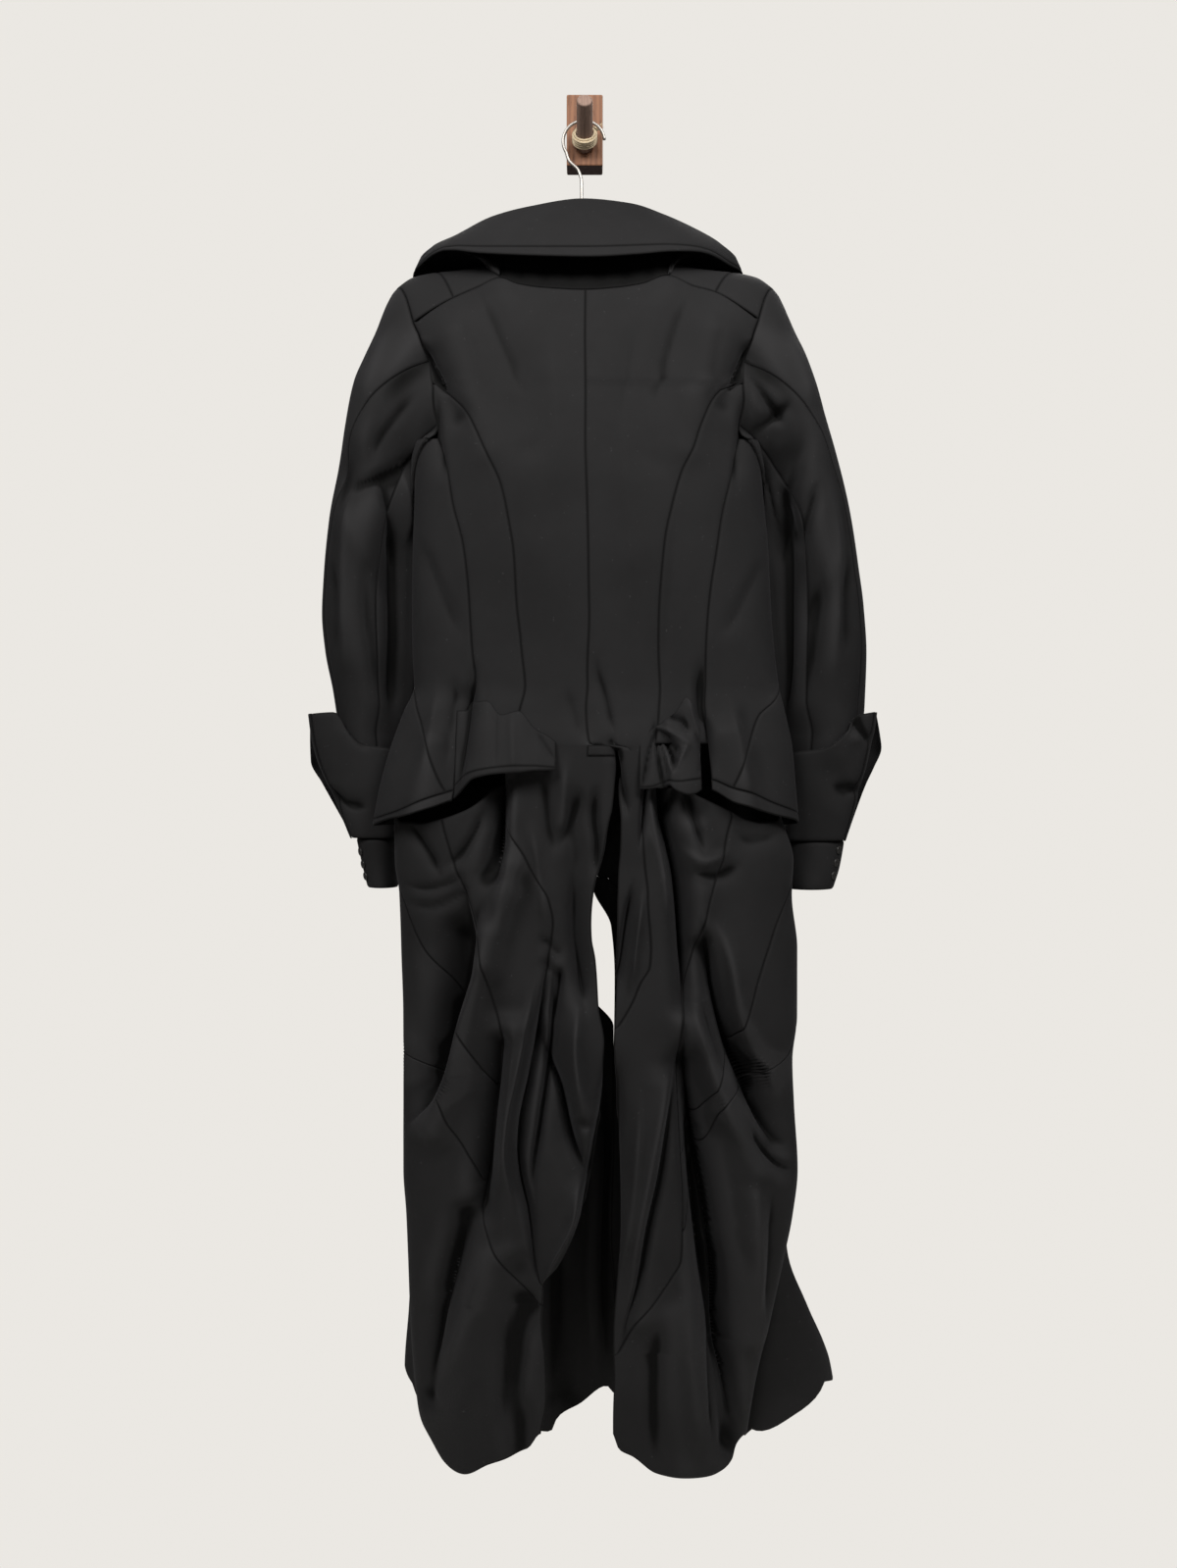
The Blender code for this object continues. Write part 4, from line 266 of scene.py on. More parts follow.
# Levels at which the centre back ends, and at which seams of the tail meet: hip tip, side top, side tip, mid tip
JOINS = {"l": (-1270, -1064, -848, -1168, -1291), "r": (-1000, -1136, -848, -1213, -1344)}

# Folds: depth is outward when positive; width is how far it spreads from its path of x and z
FOLD = "side depth width path"
TORSO_FOLDS = table(FOLD, """
B -3.2 22 -116 -214 -104 -238 -86 -280 -63 -323 -60 -380
B 5 22 -140 -262 -118 -330 -104 -385
B -3.2 22 117 -212 103 -238 90 -280 77 -330 72 -390
B 5 22 140 -258 120 -325 108 -385
B -5 14 -168 -285 -152 -318 -136 -350
B -5 14 174 -280 163 -305 150 -335
B -6 14 -127 -655 -133 -700 -139 -748
B 7 18 -160 -700 -170 -745 -176 -775
B 7 18 150 -690 160 -725 166 -765
F -5 30 -90 -300 -70 -450 -80 -600
F -5 30 90 -320 75 -460 84 -610
""")
SKIRT_FOLDS = table(FOLD, """
B -16 13 -92 -742 -92 -792 -97 -838
B 9 16 -80 -830 -90 -880 -101 -930
B -16 20 -140 -905 -150 -960 -165 -1020 -180 -1070
B 10 18 -106 -900 -112 -950 -122 -1000 -136 -1060 -160 -1110
B -14 14 -88 -1020 -96 -1064 -103 -1123 -108 -1185
B 10 18 -75 -1000 -84 -1100 -86 -1170 -78 -1225
B -10 16 -48 -1010 -30 -1061 -18 -1115 -4 -1150
B 8 16 -8 -980 -8 -1060 2 -1100
B -12 16 -128 -1203 -145 -1265 -161 -1317 -172 -1400
B 8 22 -98 -1245 -120 -1320 -140 -1400 -135 -1480
B -9 14 -64 -1290 -70 -1370 -68 -1450
B -13 12 79 -745 83 -780 97 -842 101 -896 104 -975
B 8 16 118 -790 124 -840 120 -900
B -12 16 125 -915 142 -975 157 -1020 174 -1051 192 -1088 208 -1130
B 9 18 112 -985 135 -1045 160 -1100 182 -1150
B -22 18 108 -1040 117 -1100 126 -1160 136 -1220 146 -1290 154 -1370 164 -1450
B 8 20 80 -1060 70 -1150 66 -1230 60 -1300
B 7 18 92 -1300 96 -1380 104 -1460
B 8 14 178 -1180 182 -1260 184 -1340
F 6 24 -140 -900 -132 -1100 -150 -1400
F -7 22 -80 -860 -70 -1100 -85 -1420
F 6 24 -30 -1050 -20 -1240 -24 -1440
F -7 22 96 -880 104 -1120 120 -1430
F 6 24 160 -900 172 -1120 200 -1380
""")

# Sleeves: z, outer and inner edge seen from behind, back and front
SLEEVE = "z outer inner back front"
SLEEVES = {
    "l": table(SLEEVE, """
-190 -216 -150 -86 -26
-213 -226 -160 -90 -22
-239 -234 -168 -96 -18
-274 -247 -178 -103 -15
-297 -255 -184 -107 -14
-350 -265 -190 -110 -13
-398 -273 -194 -108 -13
-450 -283 -195 -105 -12
-517 -290 -196 -100 -12
-556 -292 -197 -96 -12
-595 -289 -198 -90 -12
-640 -281 -203 -80 -13
-720 -270 -206.5 -73 -15
"""),
    "r": table(SLEEVE, """
-190 218 150 -86 -26
-213 227 160 -90 -22
-239 236 168 -96 -18
-268 247 180 -102 -15
-334 265 192 -109 -13
-382 279 199 -109 -13
-424 290 203 -107 -12
-458 297 205 -104 -12
-503 304 208 -101 -12
-545 310 211 -97 -12
-601 314 215 -90 -12
-656 313 221 -79 -13
-720 303 225 -73 -15
"""),
}
SLEEVE_SETTLE = 0.28        # share of the sleeve's length over which the armhole's form dies away
SLEEVE_ENDS = {"l": pairs("-275 -664 -258 -688 -240 -700 -205 -704"),   # x and z of the seam with the cuff
               "r": pairs("300 -668 284 -690 262 -704 224 -708")}
# Sleeve seams as turns round the tube, from 0 on the outer edge through 0.25 on the back to 0.5 inside, after the
# share of the length: first the outer seam, then the inner one
SLEEVE_SEAMS = {
    "l": (pairs("0 0.235 0.1 0.2 0.22 0.16 0.35 0.115 0.5 0.09 0.7 0.07 1 0.075"),
          pairs("0 0.375 0.2 0.34 0.4 0.3 0.6 0.285 0.8 0.285 1 0.3")),
    "r": (pairs("0 0.235 0.1 0.2 0.22 0.165 0.35 0.125 0.5 0.1 0.75 0.09 1 0.11"),
          pairs("0 0.375 0.2 0.33 0.4 0.275 0.6 0.285 0.8 0.3 1 0.31")),
}
SLEEVE_SEAM_UNDER = 0.80    # the under panel's seam on the hidden front
# Sleeve folds: depth, width, path of turn and share of length
SLEEVE_FOLDS = {
    "l": table("depth width path", """
-8 0.055 0.36 0.16 0.28 0.26 0.2 0.34 0.12 0.4
5 0.06 0.34 0.26 0.27 0.36 0.22 0.46
-5 0.05 0.33 0.4 0.3 0.52
"""),
    "r": table("depth width path", """
-8 0.055 0.36 0.14 0.28 0.22 0.36 0.32
5 0.06 0.3 0.3 0.24 0.42 0.22 0.55
-5 0.05 0.36 0.34 0.3 0.46 0.26 0.6
"""),
}

# Flared cuffs: z, inner edge, outer edge of the near layer and of the far layer, back and front
WINGS = {
    "l": table("z inner near far back front", """
-666 -201 -306 -313 -80 -10
-690 -201 -303 -313 -79 -10
-718 -202 -296 -312 -77 -10
-742 -205 -286 -299 -75 -11
-765 -208 -276 -286 -73 -12
-786 -210 -267 -274 -72 -13
-803 -210 -260 -264 -72 -14
"""),
    "r": table("z inner near far back front", """
-662 221 324 332 -80 -10
-685 220 321 336 -79 -10
-702 219.5 317 338 -78 -10
-725 221.5 312 329 -76 -11
-744 224 307 320 -75 -11
-775 224 299 308 -73 -13
-806 222.5 290 297 -72 -14
"""),
}
SLEEVE_TUCK = 5 * MM        # how far a sleeve's end reaches into its flared cuff
WING_OPEN = (20, 7)         # half gap between the two layers at the outer edge, at the top and bottom
# Narrow cuffs, under the flared ones
CUFFS = {
    "l": table(SLEEVE, """
-790 -259 -212 -70 -16
-830 -250 -210 -71 -18
-858 -243 -209 -72 -20
"""),
    "r": table(SLEEVE, """
-790 294 222.5 -70 -16
-835 286 224 -71 -18
-860 278 226 -72 -20
"""),
}
CUFF_SIDES = 14
BUTTON_THICK = 2.2 * MM
BUTTONS = {"l": (-818, -832, -845), "r": (-816, -830, -844)}   # heights on each narrow cuff

# Collar: x, y, z of its fold and of its fall's outer edge at places numbered round the neck, 0 and 16 at the front
COLLAR = np.array(table("fold_x fold_y fold_z edge_x edge_y edge_z", """
-86 -13 -240 -108 -8 -262
-130 -15 -205 -150 -11 -216
-168 -34 -167 -184 -28 -182
-182 -50 -156 -193 -46 -174
-168 -60 -146 -180 -62 -166
-142 -68 -138 -155 -82 -161
-100 -76 -120 -112 -98 -171
-58 -81 -111 -64 -106 -177
-2 -84 -104 3 -109 -180
50 -81 -108 56 -106 -176
86 -76 -118 96 -98 -169
122 -68 -131 133 -82 -164
150 -60 -143 160 -62 -168
168 -50 -156 178 -46 -172
158 -34 -166 172 -28 -180
124 -15 -205 142 -11 -216
84 -13 -240 104 -8 -262
"""))
COLLAR_YOKE = (5.2, 4.4, 3.6, 3.0, 2.2, 1.6, 1.1)   # places of the yoke's rows, from its back seam to its front one
COLLAR_BACK = (6.4, 7.2, 8.0)                       # places of the centre back's columns inward from the yoke
COLLAR_FOLD = 3.6 * MM      # outer radius of the fold
COLLAR_BAND = 0.16          # share of the fall's height that its edge band takes
COLLAR_BULGE = 5 * MM       # how far the fall rounds outward over its fold

# Flaps folded out of the peplum over the centre backs: x across, upper edge, hem seam, band edge, lift at both
FLAP = "x top seam edge lift_top lift_edge"
FLAPS = {
    "l": table(FLAP, """
-139 -664 -745 -758 0.3 1
-134 -664 -740 -753 2 5
-129 -664 -735 -748 4 9
-118 -655 -730 -738 4 13
-104 -654 -727 -734 4 16
-88 -669 -725 -732 5 17
-70 -665 -724 -731 6 16
-52 -684 -724 -729 6 13
-38 -692 -725 -728.5 5 9
-30 -698 -725.5 -728 4 7
"""),
    "r": table(FLAP, """
58 -693 -746 -748 0.3 0.6
68 -687 -746 -748 0.6 1
76 -681 -744 -747 1 1.6
80 -679 -742 -747 1.6 3.5
84 -676 -741 -746 3 7
88 -673 -739 -744 5 12
94 -669 -740 -749 5 15
101 -660 -740 -752 4.5 17
108 -650 -739 -754 3.5 16
116 -660 -738 -753 4 13
123 -682 -737 -749 2.8 9
"""),
}

# Finer creases: depth outward, width on the left and on the right of a path of x and z running down
CREASE = "side depth left right path"
TORSO_CREASES = table(CREASE, """
B -2.4 5 20 -122 -193 -109 -222 -93 -261 -76 -301 -61 -341
B -1.6 7 14 -130 -229 -120 -269 -109 -316 -103 -364
B -2.4 20 5 122 -191 109 -222 94 -264 83 -306 72 -347
B -1.6 14 7 152 -227 144 -269 137 -316 131 -364
B -2.5 14 14 62 -227 50 -280 39 -343 32 -427
B 2 20 20 -42 -216 -31 -322 -29 -469
B 2 18 18 34 -301 45 -427 53 -575
B -2 16 16 -80 -407 -71 -491 -65 -586 -59 -659
B -2 16 16 99 -407 93 -491 85 -586 76 -670
B -14 4 4 -177 -262 -169 -286 -158 -306 -148 -329
B -14 4 4 181 -262 173 -286 165 -303 158 -325
B -6 10 6 -161 -314 -159 -361 -148 -425
B -6 6 10 172 -314 168 -372 159 -436
B -4 8 4 9 -601 17 -630 26 -662 34 -704
B -2.5 10 10 -21 -638 -10 -670 -4 -701
B -3 10 10 -183 -470 -156 -533 -128 -596
B -3 10 10 200 -491 173 -543 139 -596
B -10 7 5 -115 -607 -122 -644 -126 -686 -130 -722 -134 -762
B -5 8 8 -138 -618 -143 -670 -147 -733
B 4 10 10 -157 -628 -163 -691 -171 -759
B -10 6 5 128 -601 123 -639 124 -668 131 -686 131 -723 132 -760
B 4 10 10 153 -639 164 -702 174 -771
F -5 8 16 -85 -218 -63 -352 -57 -475
F -5 16 8 94 -218 74 -352 66 -475
F 4 14 14 -130 -475 -107 -565 -102 -654
F -4 10 10 -152 -565 -158 -632 -163 -721
F 4 14 14 141 -475 119 -565 116 -654
F -4 10 10 166 -565 172 -632 179 -721
""")
SKIRT_CREASES = table(CREASE, """
B -10 8 4 28 -687 35 -717 40 -744 48 -781
B -7 6 7 -103 -762 -118 -796 -135 -821 -152 -835
B -7 9 9 -196 -777 -180 -798 -163 -823 -152 -848
B -4 6 6 -200 -850 -173 -855 -147 -850 -123 -835
B -4 6 6 -200 -871 -168 -874 -140 -864 -117 -848
B -29 4 5 -89 -712 -89 -765 -89 -796 -94 -849
B 9 8 12 -72 -723 -78 -784 -84 -837 -93 -910
B -29 30 3 -108 -863 -115 -900 -121 -938 -131 -967 -143 -1000 -153 -1043 -167 -1074 -184 -1100 -204 -1123
B 10 4 16 -100 -884 -110 -941 -120 -972 -132 -1006 -141 -1047 -158 -1085 -178 -1113
B -20 9 9 -83 -984 -92 -1046 -100 -1109 -106 -1172 -115 -1226
B 8 8 8 -73 -983 -79 -1064 -84 -1123 -87 -1187
B -22 3 9 -36 -900 -40 -939 -50 -996 -60 -1051 -70 -1099 -72 -1131 -70 -1153 -60 -1196 -52 -1249 -46 -1286
B 9 10 3 -49 -931 -60 -996 -70 -1051 -79 -1099 -81 -1131 -78 -1161 -69 -1213
B -17 3 8 -32 -926 -35 -1003 -41 -1051 -48 -1099 -55 -1159 -50 -1192
B -4 8 8 -50 -899 -37 -913 -19 -928
B -4 8 8 -49 -924 -36 -938 -19 -951
B -12 5 6 -25 -932 -28 -963 -35 -1001
B 12 10 9 -4 -965 -10 -1018 -6 -1060 4 -1102
B -23 4 6 -48 -1006 -38 -1036 -25 -1065 -14 -1115 4 -1164
B -7 8 9 -12 -1094 2 -1102 19 -1098
B -23 5 8 24 -1021 16 -1091 12 -1110 2 -1169 -2 -1193 -12 -1251
B 10 7 4 -4 -1152 -10 -1197 -22 -1224 -36 -1249 -50 -1280
B -20 46 3 -131 -827 -121 -910 -135 -972 -156 -1045 -185 -1108
B -14 20 26 -12 -733 -10 -827 -6 -931 4 -1025
B -17 14 10 109 -1078 121 -1172 132 -1255 146 -1339 159 -1412
B -12 12 22 151 -984 180 -1046 203 -1098 220 -1151
B -13 7 8 -120 -1175 -133 -1222 -147 -1269 -162 -1321 -177 -1399
B 8 12 12 -96 -1212 -112 -1269 -131 -1326 -156 -1389
B -6 12 12 -77 -1284 -85 -1368 -87 -1441
B 5 12 12 -53 -1295 -60 -1357 -68 -1420
B -7 9 9 -2 -744 -14 -780 -31 -817
B -9 6 6 14 -739 10 -774 13 -806 11 -848
B 5 9 9 -18 -706 -22 -759 -23 -817
B -6 8 8 -45 -723 -40 -770 -31 -827
B 6 10 10 -58 -775 -46 -848 -39 -900
B -10 6 8 -12 -827 -12 -890 -6 -943 4 -995
B -16 3 4 76 -670 70 -715 65 -749 62 -780 57 -817
B -29 4 6 75 -675 79 -737 82 -777 89 -805 97 -842 102 -896 105 -954 103 -1005
B -35 8 3 101 -963 107 -1028 117 -1089 126 -1132 141 -1209 152 -1272 156 -1316 161 -1350 168 -1382 180 -1477
B -23 10 9 105 -1048 114 -1122 122 -1195 135 -1269 143 -1332
B 8 5 7 67 -733 74 -785 84 -837 90 -890
B -13 4 6 53 -838 43 -891 37 -933 23 -985
B 9 6 8 63 -848 55 -906 49 -964
B -17 5 8 35 -1010 36 -1084 34 -1159 30 -1233 26 -1308
B -13 3 8 103 -1004 93 -1064 85 -1112 78 -1155 66 -1207 55 -1271 44 -1310 35 -1359
B 9 10 4 92 -1025 82 -1088 71 -1140 61 -1192 46 -1276
B -26 10 4 117 -874 132 -916 142 -963 153 -1004 172 -1046 192 -1088 209 -1117 232 -1145
B 11 4 16 134 -879 152 -931 161 -983 175 -1021 196 -1056 219 -1093
B -12 7 6 170 -1100 193 -1133 212 -1152 233 -1165
B -6 5 6 121 -963 134 -1011 153 -1057
B 10 8 12 109 -962 130 -1039 146 -1087 180 -1148
B -9 5 7 101 -738 115 -780 128 -821
B 5 7 7 98 -808 125 -825 159 -812
B -6 8 8 109 -835 138 -841 169 -825
B -9 4 4 98 -739 92 -758 84 -781
B 8 9 9 59 -1058 52 -1162 36 -1267
B -4 10 10 157 -792 178 -804 213 -796
B -7 12 12 203 -1161 201 -1245 192 -1339
B 6 12 12 177 -1150 182 -1233 180 -1327
B 6 12 12 109 -1275 115 -1369 123 -1452
B -7 10 10 80 -1297 73 -1380 75 -1464
B -9 9 9 144 -1307 138 -1380 142 -1464
F -7 5 6 7 -1057 11 -1168 7 -1291 15 -1437
F 6 5 6 20 -1034 24 -1168 20 -1303 27 -1448
F -7 6 12 -141 -777 -130 -889 -134 -1034 -127 -1191
F 6 12 12 -107 -855 -101 -1023 -107 -1236 -101 -1414
F -8 10 6 -74 -811 -67 -945 -76 -1101 -69 -1303 -76 -1482
F 7 10 10 -31 -967 -38 -1135 -34 -1325 -40 -1470
F -6 9 9 -163 -1168 -154 -1291 -165 -1403
F -7 6 12 72 -822 81 -967 72 -1146 81 -1336 74 -1482
F 6 12 12 112 -833 116 -1012 125 -1213 121 -1414
F -8 10 6 150 -855 159 -1034 170 -1236 179 -1437
F 6 12 12 195 -922 204 -1090 217 -1291 235 -1414
""")
SLEEVE_CREASES = {
    "l": table(CREASE, """
B -10 5 9 -154 -359 -181 -384 -209 -404 -239 -417 -263 -423
B -9 7 7 -218 -402 -216 -428 -209 -466 -205 -508
B 6 8 8 -196 -391 -192 -434 -194 -487
B -16 12 30 -206 -411 -206 -486 -208 -572 -214 -658 -216 -701
B 5 8 10 -252 -390 -257 -465 -263 -551 -261 -637
B -4 8 8 -166 -308 -196 -337 -222 -372 -243 -412
B -4 7 9 -237 -487 -239 -540 -235 -594 -227 -658
B -3 10 10 -278 -487 -269 -540 -272 -615
B 4 12 12 -206 -238 -224 -281 -241 -335
F -6 8 8 -186 -340 -220 -373 -251 -387
F 4 10 10 -265 -429 -262 -497 -265 -564
"""),
    "r": table(CREASE, """
B -10 6 5 163 -286 182 -308 199 -331 218 -359
B -9 5 5 225 -329 199 -348 165 -365
B 7 7 7 169 -300 182 -325 180 -359
B -8 6 7 167 -361 186 -402 201 -450 208 -498
B -9 5 8 205 -412 220 -446 233 -493
B -7 8 5 252 -412 242 -455 233 -500
B -16 30 12 210 -390 219 -486 221 -572 219 -658 217 -711
B 5 10 8 263 -401 272 -476 274 -551 268 -637
B -4 9 7 257 -487 255 -540 251 -594 242 -658
B -3 10 10 289 -487 283 -540 287 -615
B 4 12 12 217 -243 233 -286 248 -340
F -6 8 8 195 -340 229 -373 262 -387
F 4 10 10 276 -429 278 -497 276 -564
"""),
}
WING_CREASES = {
    "l": table(CREASE, """
B -5 5 8 -274 -659 -257 -687 -233 -709
B 4 8 8 -263 -664 -242 -684 -218 -692
B -6 6 9 -287 -744 -265 -765 -235 -769
"""),
    "r": table(CREASE, """
B -5 8 5 292 -666 302 -683 322 -698
B 4 8 8 270 -670 289 -687 311 -700
B -6 9 6 322 -744 298 -750 270 -744
"""),
}
FLAP_CREASES = {
    "l": table(CREASE, """
B -1.6 1.5 1.5 -93 -653 -93 -682 -93 -708 -93 -733
B -3 4 4 -53 -684 -43 -700 -28 -723
B -3 7 9 -112 -641 -119 -677 -125 -733
B 3 8 8 -78 -657 -76 -692 -73 -739
"""),
    "r": table(CREASE, """
B -5 2 2.5 77 -680 72 -698 66 -719 60 -756
B -7 2 3.5 75 -680 76 -700 79 -725 84 -759
B -6 1.6 2 75 -677 79 -694 84 -715 89 -750
B -6 2 5 77 -678 89 -673 99 -675 107 -684 111 -696
B 4 2.2 1.6 70 -679 85 -686 97 -692 108 -699 115 -702
B -15 2.2 4 78 -684 84 -694 89 -707 93 -719 94 -733
B -9 5 3 82 -687 91 -698 97 -707 97 -717
B 4 1.6 2.6 110 -696 103 -711 96 -724 87 -741
B -4 2 4 113 -684 119 -698 123 -715 119 -737
B 3 3 3 111 -641 113 -663 119 -684 125 -705
"""),
}
# Slanting creases of the collar's stand: place round the neck at the seam, slant towards the fold, depth
STAND_CREASES = ((5.3, 0.9, -1.4), (6.1, 0.7, -1.6), (6.9, 0.5, -1.2), (7.6, 0.4, -1.0), (8.5, -0.5, -1.2),
                 (9.2, -0.6, -1.6), (10.0, -0.8, -1.5), (10.7, -0.9, -1.2))
HANGS_FROM = {"back_center": "yoke_neck", "back_side": "back_center", "underarm": "back_side",
              "hip_godet": "underarm", "front": "yoke_neck", "hem_band": "underarm"}


# ---- curves and tables

def smooth(at, xs, ys):
    """Height at `at` of a smooth curve through (xs, ys), xs rising, that never overshoots its points."""
    xs, ys = np.asarray(xs, float), np.asarray(ys, float)
    run = np.diff(xs)
    rise = np.diff(ys) / run
    slope = np.zeros(len(xs))
    same = rise[:-1] * rise[1:] > 0
    slope[1:-1][same] = (2 * rise[:-1] * rise[1:] / (rise[:-1] + rise[1:] + 1e-300))[same]
    slope[0], slope[-1] = rise[0], rise[-1]
    at = np.clip(at, xs[0], xs[-1])
    k = np.clip(np.searchsorted(xs, at, side="right") - 1, 0, len(xs) - 2)
    t = (at - xs[k]) / run[k]
    ends = (1 + 2 * t) * (1 - t) ** 2 * ys[k] + t * t * (3 - 2 * t) * ys[k + 1]
    return ends + run[k] * (t * (1 - t) ** 2 * slope[k] - t * t * (1 - t) * slope[k + 1])


def ease(t):
    """0 to 1 with level ends."""
    t = np.clip(t, 0, 1)
    return t * t * (3 - 2 * t)


def columns(rows):
    """The columns of a table in millimetres by their names, as arrays in metres with z rising."""
    return dict(zip(rows[0]._fields, np.array(rows)[::-1].T * MM))


def curve(points):
    """A height curve over x from (x, z) points in millimetres, or one height for every x."""
    if not isinstance(points, list):
        return lambda x: np.full(np.shape(x), points * MM)
    data = np.array(points) * MM
    return lambda x: smooth(x, data[:, 0], data[:, 1])


def refine(points, times=4):
    """A chain of points made smooth, with extra points between them."""
    points = np.array(points) * MM
    length = arc(points, 0)
    at = np.linspace(0, length[-1], times * (len(points) - 1) + 1)
    return np.stack([smooth(at, length, points[:, k]) for k in range(2)], -1)


def along_path(x, z, path):
    """Distance from a chain of points, negative on its left where it runs down, and the share of its length."""
    best, signed, share = (np.full(np.shape(x), v) for v in (1e9, 1e9, 0.0))
    before = arc(np.array(path), 0)
    for (x0, z0), (x1, z1), start in zip(path[:-1], path[1:], before):
        length = math.hypot(x1 - x0, z1 - z0)
        dx, dz = (x1 - x0) / length, (z1 - z0) / length
        along = np.clip((x - x0) * dx + (z - z0) * dz, 0, length)
        away = np.hypot(x - x0 - along * dx, z - z0 - along * dz)
        nearer = away < best
        best = np.where(nearer, away, best)
        signed = np.where(nearer, away * np.where(dx * (z - z0) < dz * (x - x0), -1, 1), signed)
        share = np.where(nearer, (start + along) / before[-1], share)
    return signed, share


def crease_lift(creases, x, z, facing):
    """Sum of depth * exp(1.5 * (sqrt(BLUNT) - sqrt((away / width)^2 + BLUNT))) over the creases.

    away is the distance from the crease's path and width its left or right one, so that a crease can
    be steep on one side. It fades in and out over the first and last third of its path.
    """
    x, z, facing = np.broadcast_arrays(x, z, facing)
    total = np.zeros(x.shape)
    for crease in creases:
        path = refine(crease.path)
        reach = CREASE_REACH * MM * max(crease.left, crease.right)
        toward = facing if crease.side == "B" else -facing
        near = ((toward > 0) & (x > path[:, 0].min() - reach) & (x < path[:, 0].max() + reach)
                & (z > path[:, 1].min() - reach) & (z < path[:, 1].max() + reach))
        if near.any():
            away, share = along_path(x[near], z[near], path)
            width = np.where(away < 0, crease.left, crease.right) * MM
            fade = ease(share / CREASE_FADE) * ease((1 - share) / CREASE_FADE) * ease(toward[near] / 0.4)
            fall = np.exp(1.5 * (BLUNT ** 0.5 - ((away / width) ** 2 + BLUNT) ** 0.5))
            total[near] += crease.depth * MM * fade * fall
    return total


def unit(vectors):
    return vectors / np.maximum(np.linalg.norm(vectors, axis=-1, keepdims=True), 1e-12)


def spread(length, step):
    """Shares from 0 to 1 along a side: even steps, with closer ones near both ends for the rolled edge."""
    near = np.array((0.0, 0.5, 1.2, 2.4)) * MM
    near = near * min(1, length / (6 * near[-1]))
    count = max(2, round((length - 2 * near[-1]) / step))
    inside = np.linspace(near[-1], length - near[-1], count + 1)
    return np.concatenate([near[:-1], inside, (length - near[-2::-1])]) / length


def arc(points, axis):
    """Length along a grid from its first row or column, at every point."""
    step = np.linalg.norm(np.diff(points, axis=axis), axis=-1)
    return np.insert(np.cumsum(step, axis=axis), 0, 0, axis=axis)


# ---- shells

class Shell:
    """A garment's form: a closed section at each height, and upper and lower edges over x.

    A point is found by its turn (0 on the left side, 0.25 at the centre back, 0.5 on the right side,
    0.75 or -0.25 at the centre front) and its level, which is its height away from the edges.
    stops are four levels: the top edge, the end of its effect, the start of the hem's effect, the hem.
    """

    def __init__(self, sections, folds, creases, stops, top, bottom, shoulder=False):
        self.table, self.folds, self.creases, self.stops = columns(sections), folds, creases, stops
        self.top, self.bottom = ([curve(side) for side in edge] for edge in (top, bottom))
        self.shoulder = shoulder

    def read(self, name, z):
        return smooth(z, self.table["z"], self.table[name])

    def sides(self, z, narrow):
        """Middle and half width of the section, as wide as the back for narrow 0 and the front for 1."""
        left, right = (self.read(side, z) + (self.read(f"front_{side}", z) - self.read(side, z)) * narrow
                       for side in ("left", "right"))
        return (left + right) / 2, (right - left) / 2

    def section(self, turn, z):
        """x, y and how far round to the back (1) or front (-1), on the plain section at height z."""
        angle = 2 * math.pi * turn
        cos = np.cos(angle)
        reach = bow(cos)
        on_back = np.sin(angle) > 0
        middle, half = self.sides(z, np.where(on_back, 0, ease(reach / FRONT_TURN)))
        side = self.read("side", z)
        y = np.where(on_back, side - (side - self.read("back", z)) * reach,
                     side + (self.read("front", z) - side) * reach)
        return middle - half * cos, y, np.where(on_back, reach, -reach)

    def height(self, x, facing, level):
        """Height of a level at x: the level itself, bent to meet the upper and lower edges."""
        top, high, low, bottom = (stop * MM for stop in self.stops)
        share = ease(0.5 + facing / 0.7)
        upper, lower = (back(x) * share + front(x) * (1 - share) for back, front in (self.top, self.bottom))
        if high <= low:
            return upper + (top - level) / (top - bottom) * (lower - upper)
        up = np.clip((level - high) / (top - high), 0, None)
        down = np.clip((low - level) / (low - bottom), 0, None)
        return np.where(level > high, high + up * (upper - high),
                        np.where(level < low, low + down * (lower - low), level))

    def lift(self, x, z, facing):
        """Outward movement of the folds, each depth * exp(-(away / width)^2), and of the creases."""
        total = crease_lift(self.creases, x, z, facing)
        for fold in self.folds:
            share = ease((facing if fold.side == "B" else -facing) / 0.5)
            away = along_path(x, z, np.array(fold.path) * MM)[0]
            total = total + fold.depth * MM * share * np.exp(-(away / (fold.width * MM)) ** 2)
        return total

    def place(self, turn, z):
        """The point at a turn and a true height, folds and shoulders included."""
        x, y, facing = self.section(turn, z)
        (x0, y0, _), (x1, y1, _) = (self.section(turn + step, z) for step in (-1e-3, 1e-3))
        lift = self.lift(x, z, facing) / np.hypot(x1 - x0, y1 - y0)
        x, y = x + (y1 - y0) * lift, y - (x1 - x0) * lift
        return np.stack([x, shoulder_depth(x, y, z) if self.shoulder else y, z], -1)

    def point(self, turn, level):
        turn, level = np.broadcast_arrays(turn, level)
        x, _, facing = self.section(turn, level)
        return self.place(turn, self.height(x, facing, level))

    def turn_at(self, x, z, side):
        """The turn (below 0 or above 0.5 on the front) of a place given by x and its true height."""
        narrow = 0.0
        for _ in range(1 if side == "B" else 40):
            middle, half = self.sides(z, narrow)
            cos = np.clip((middle - x) / half, -1, 1)
            reach = bow(cos)
            narrow = (narrow + ease(reach / FRONT_TURN)) / 2
        turn = np.arccos(cos) / (2 * math.pi)
        return (turn, reach) if side == "B" else (-turn, -reach)


def bow(cos):
    """How far a section has come round to its back or front: sqrt(1 - |cos|^SQUARENESS)."""
    return np.sqrt(np.maximum(1 - np.abs(cos) ** SQUARENESS, 0))


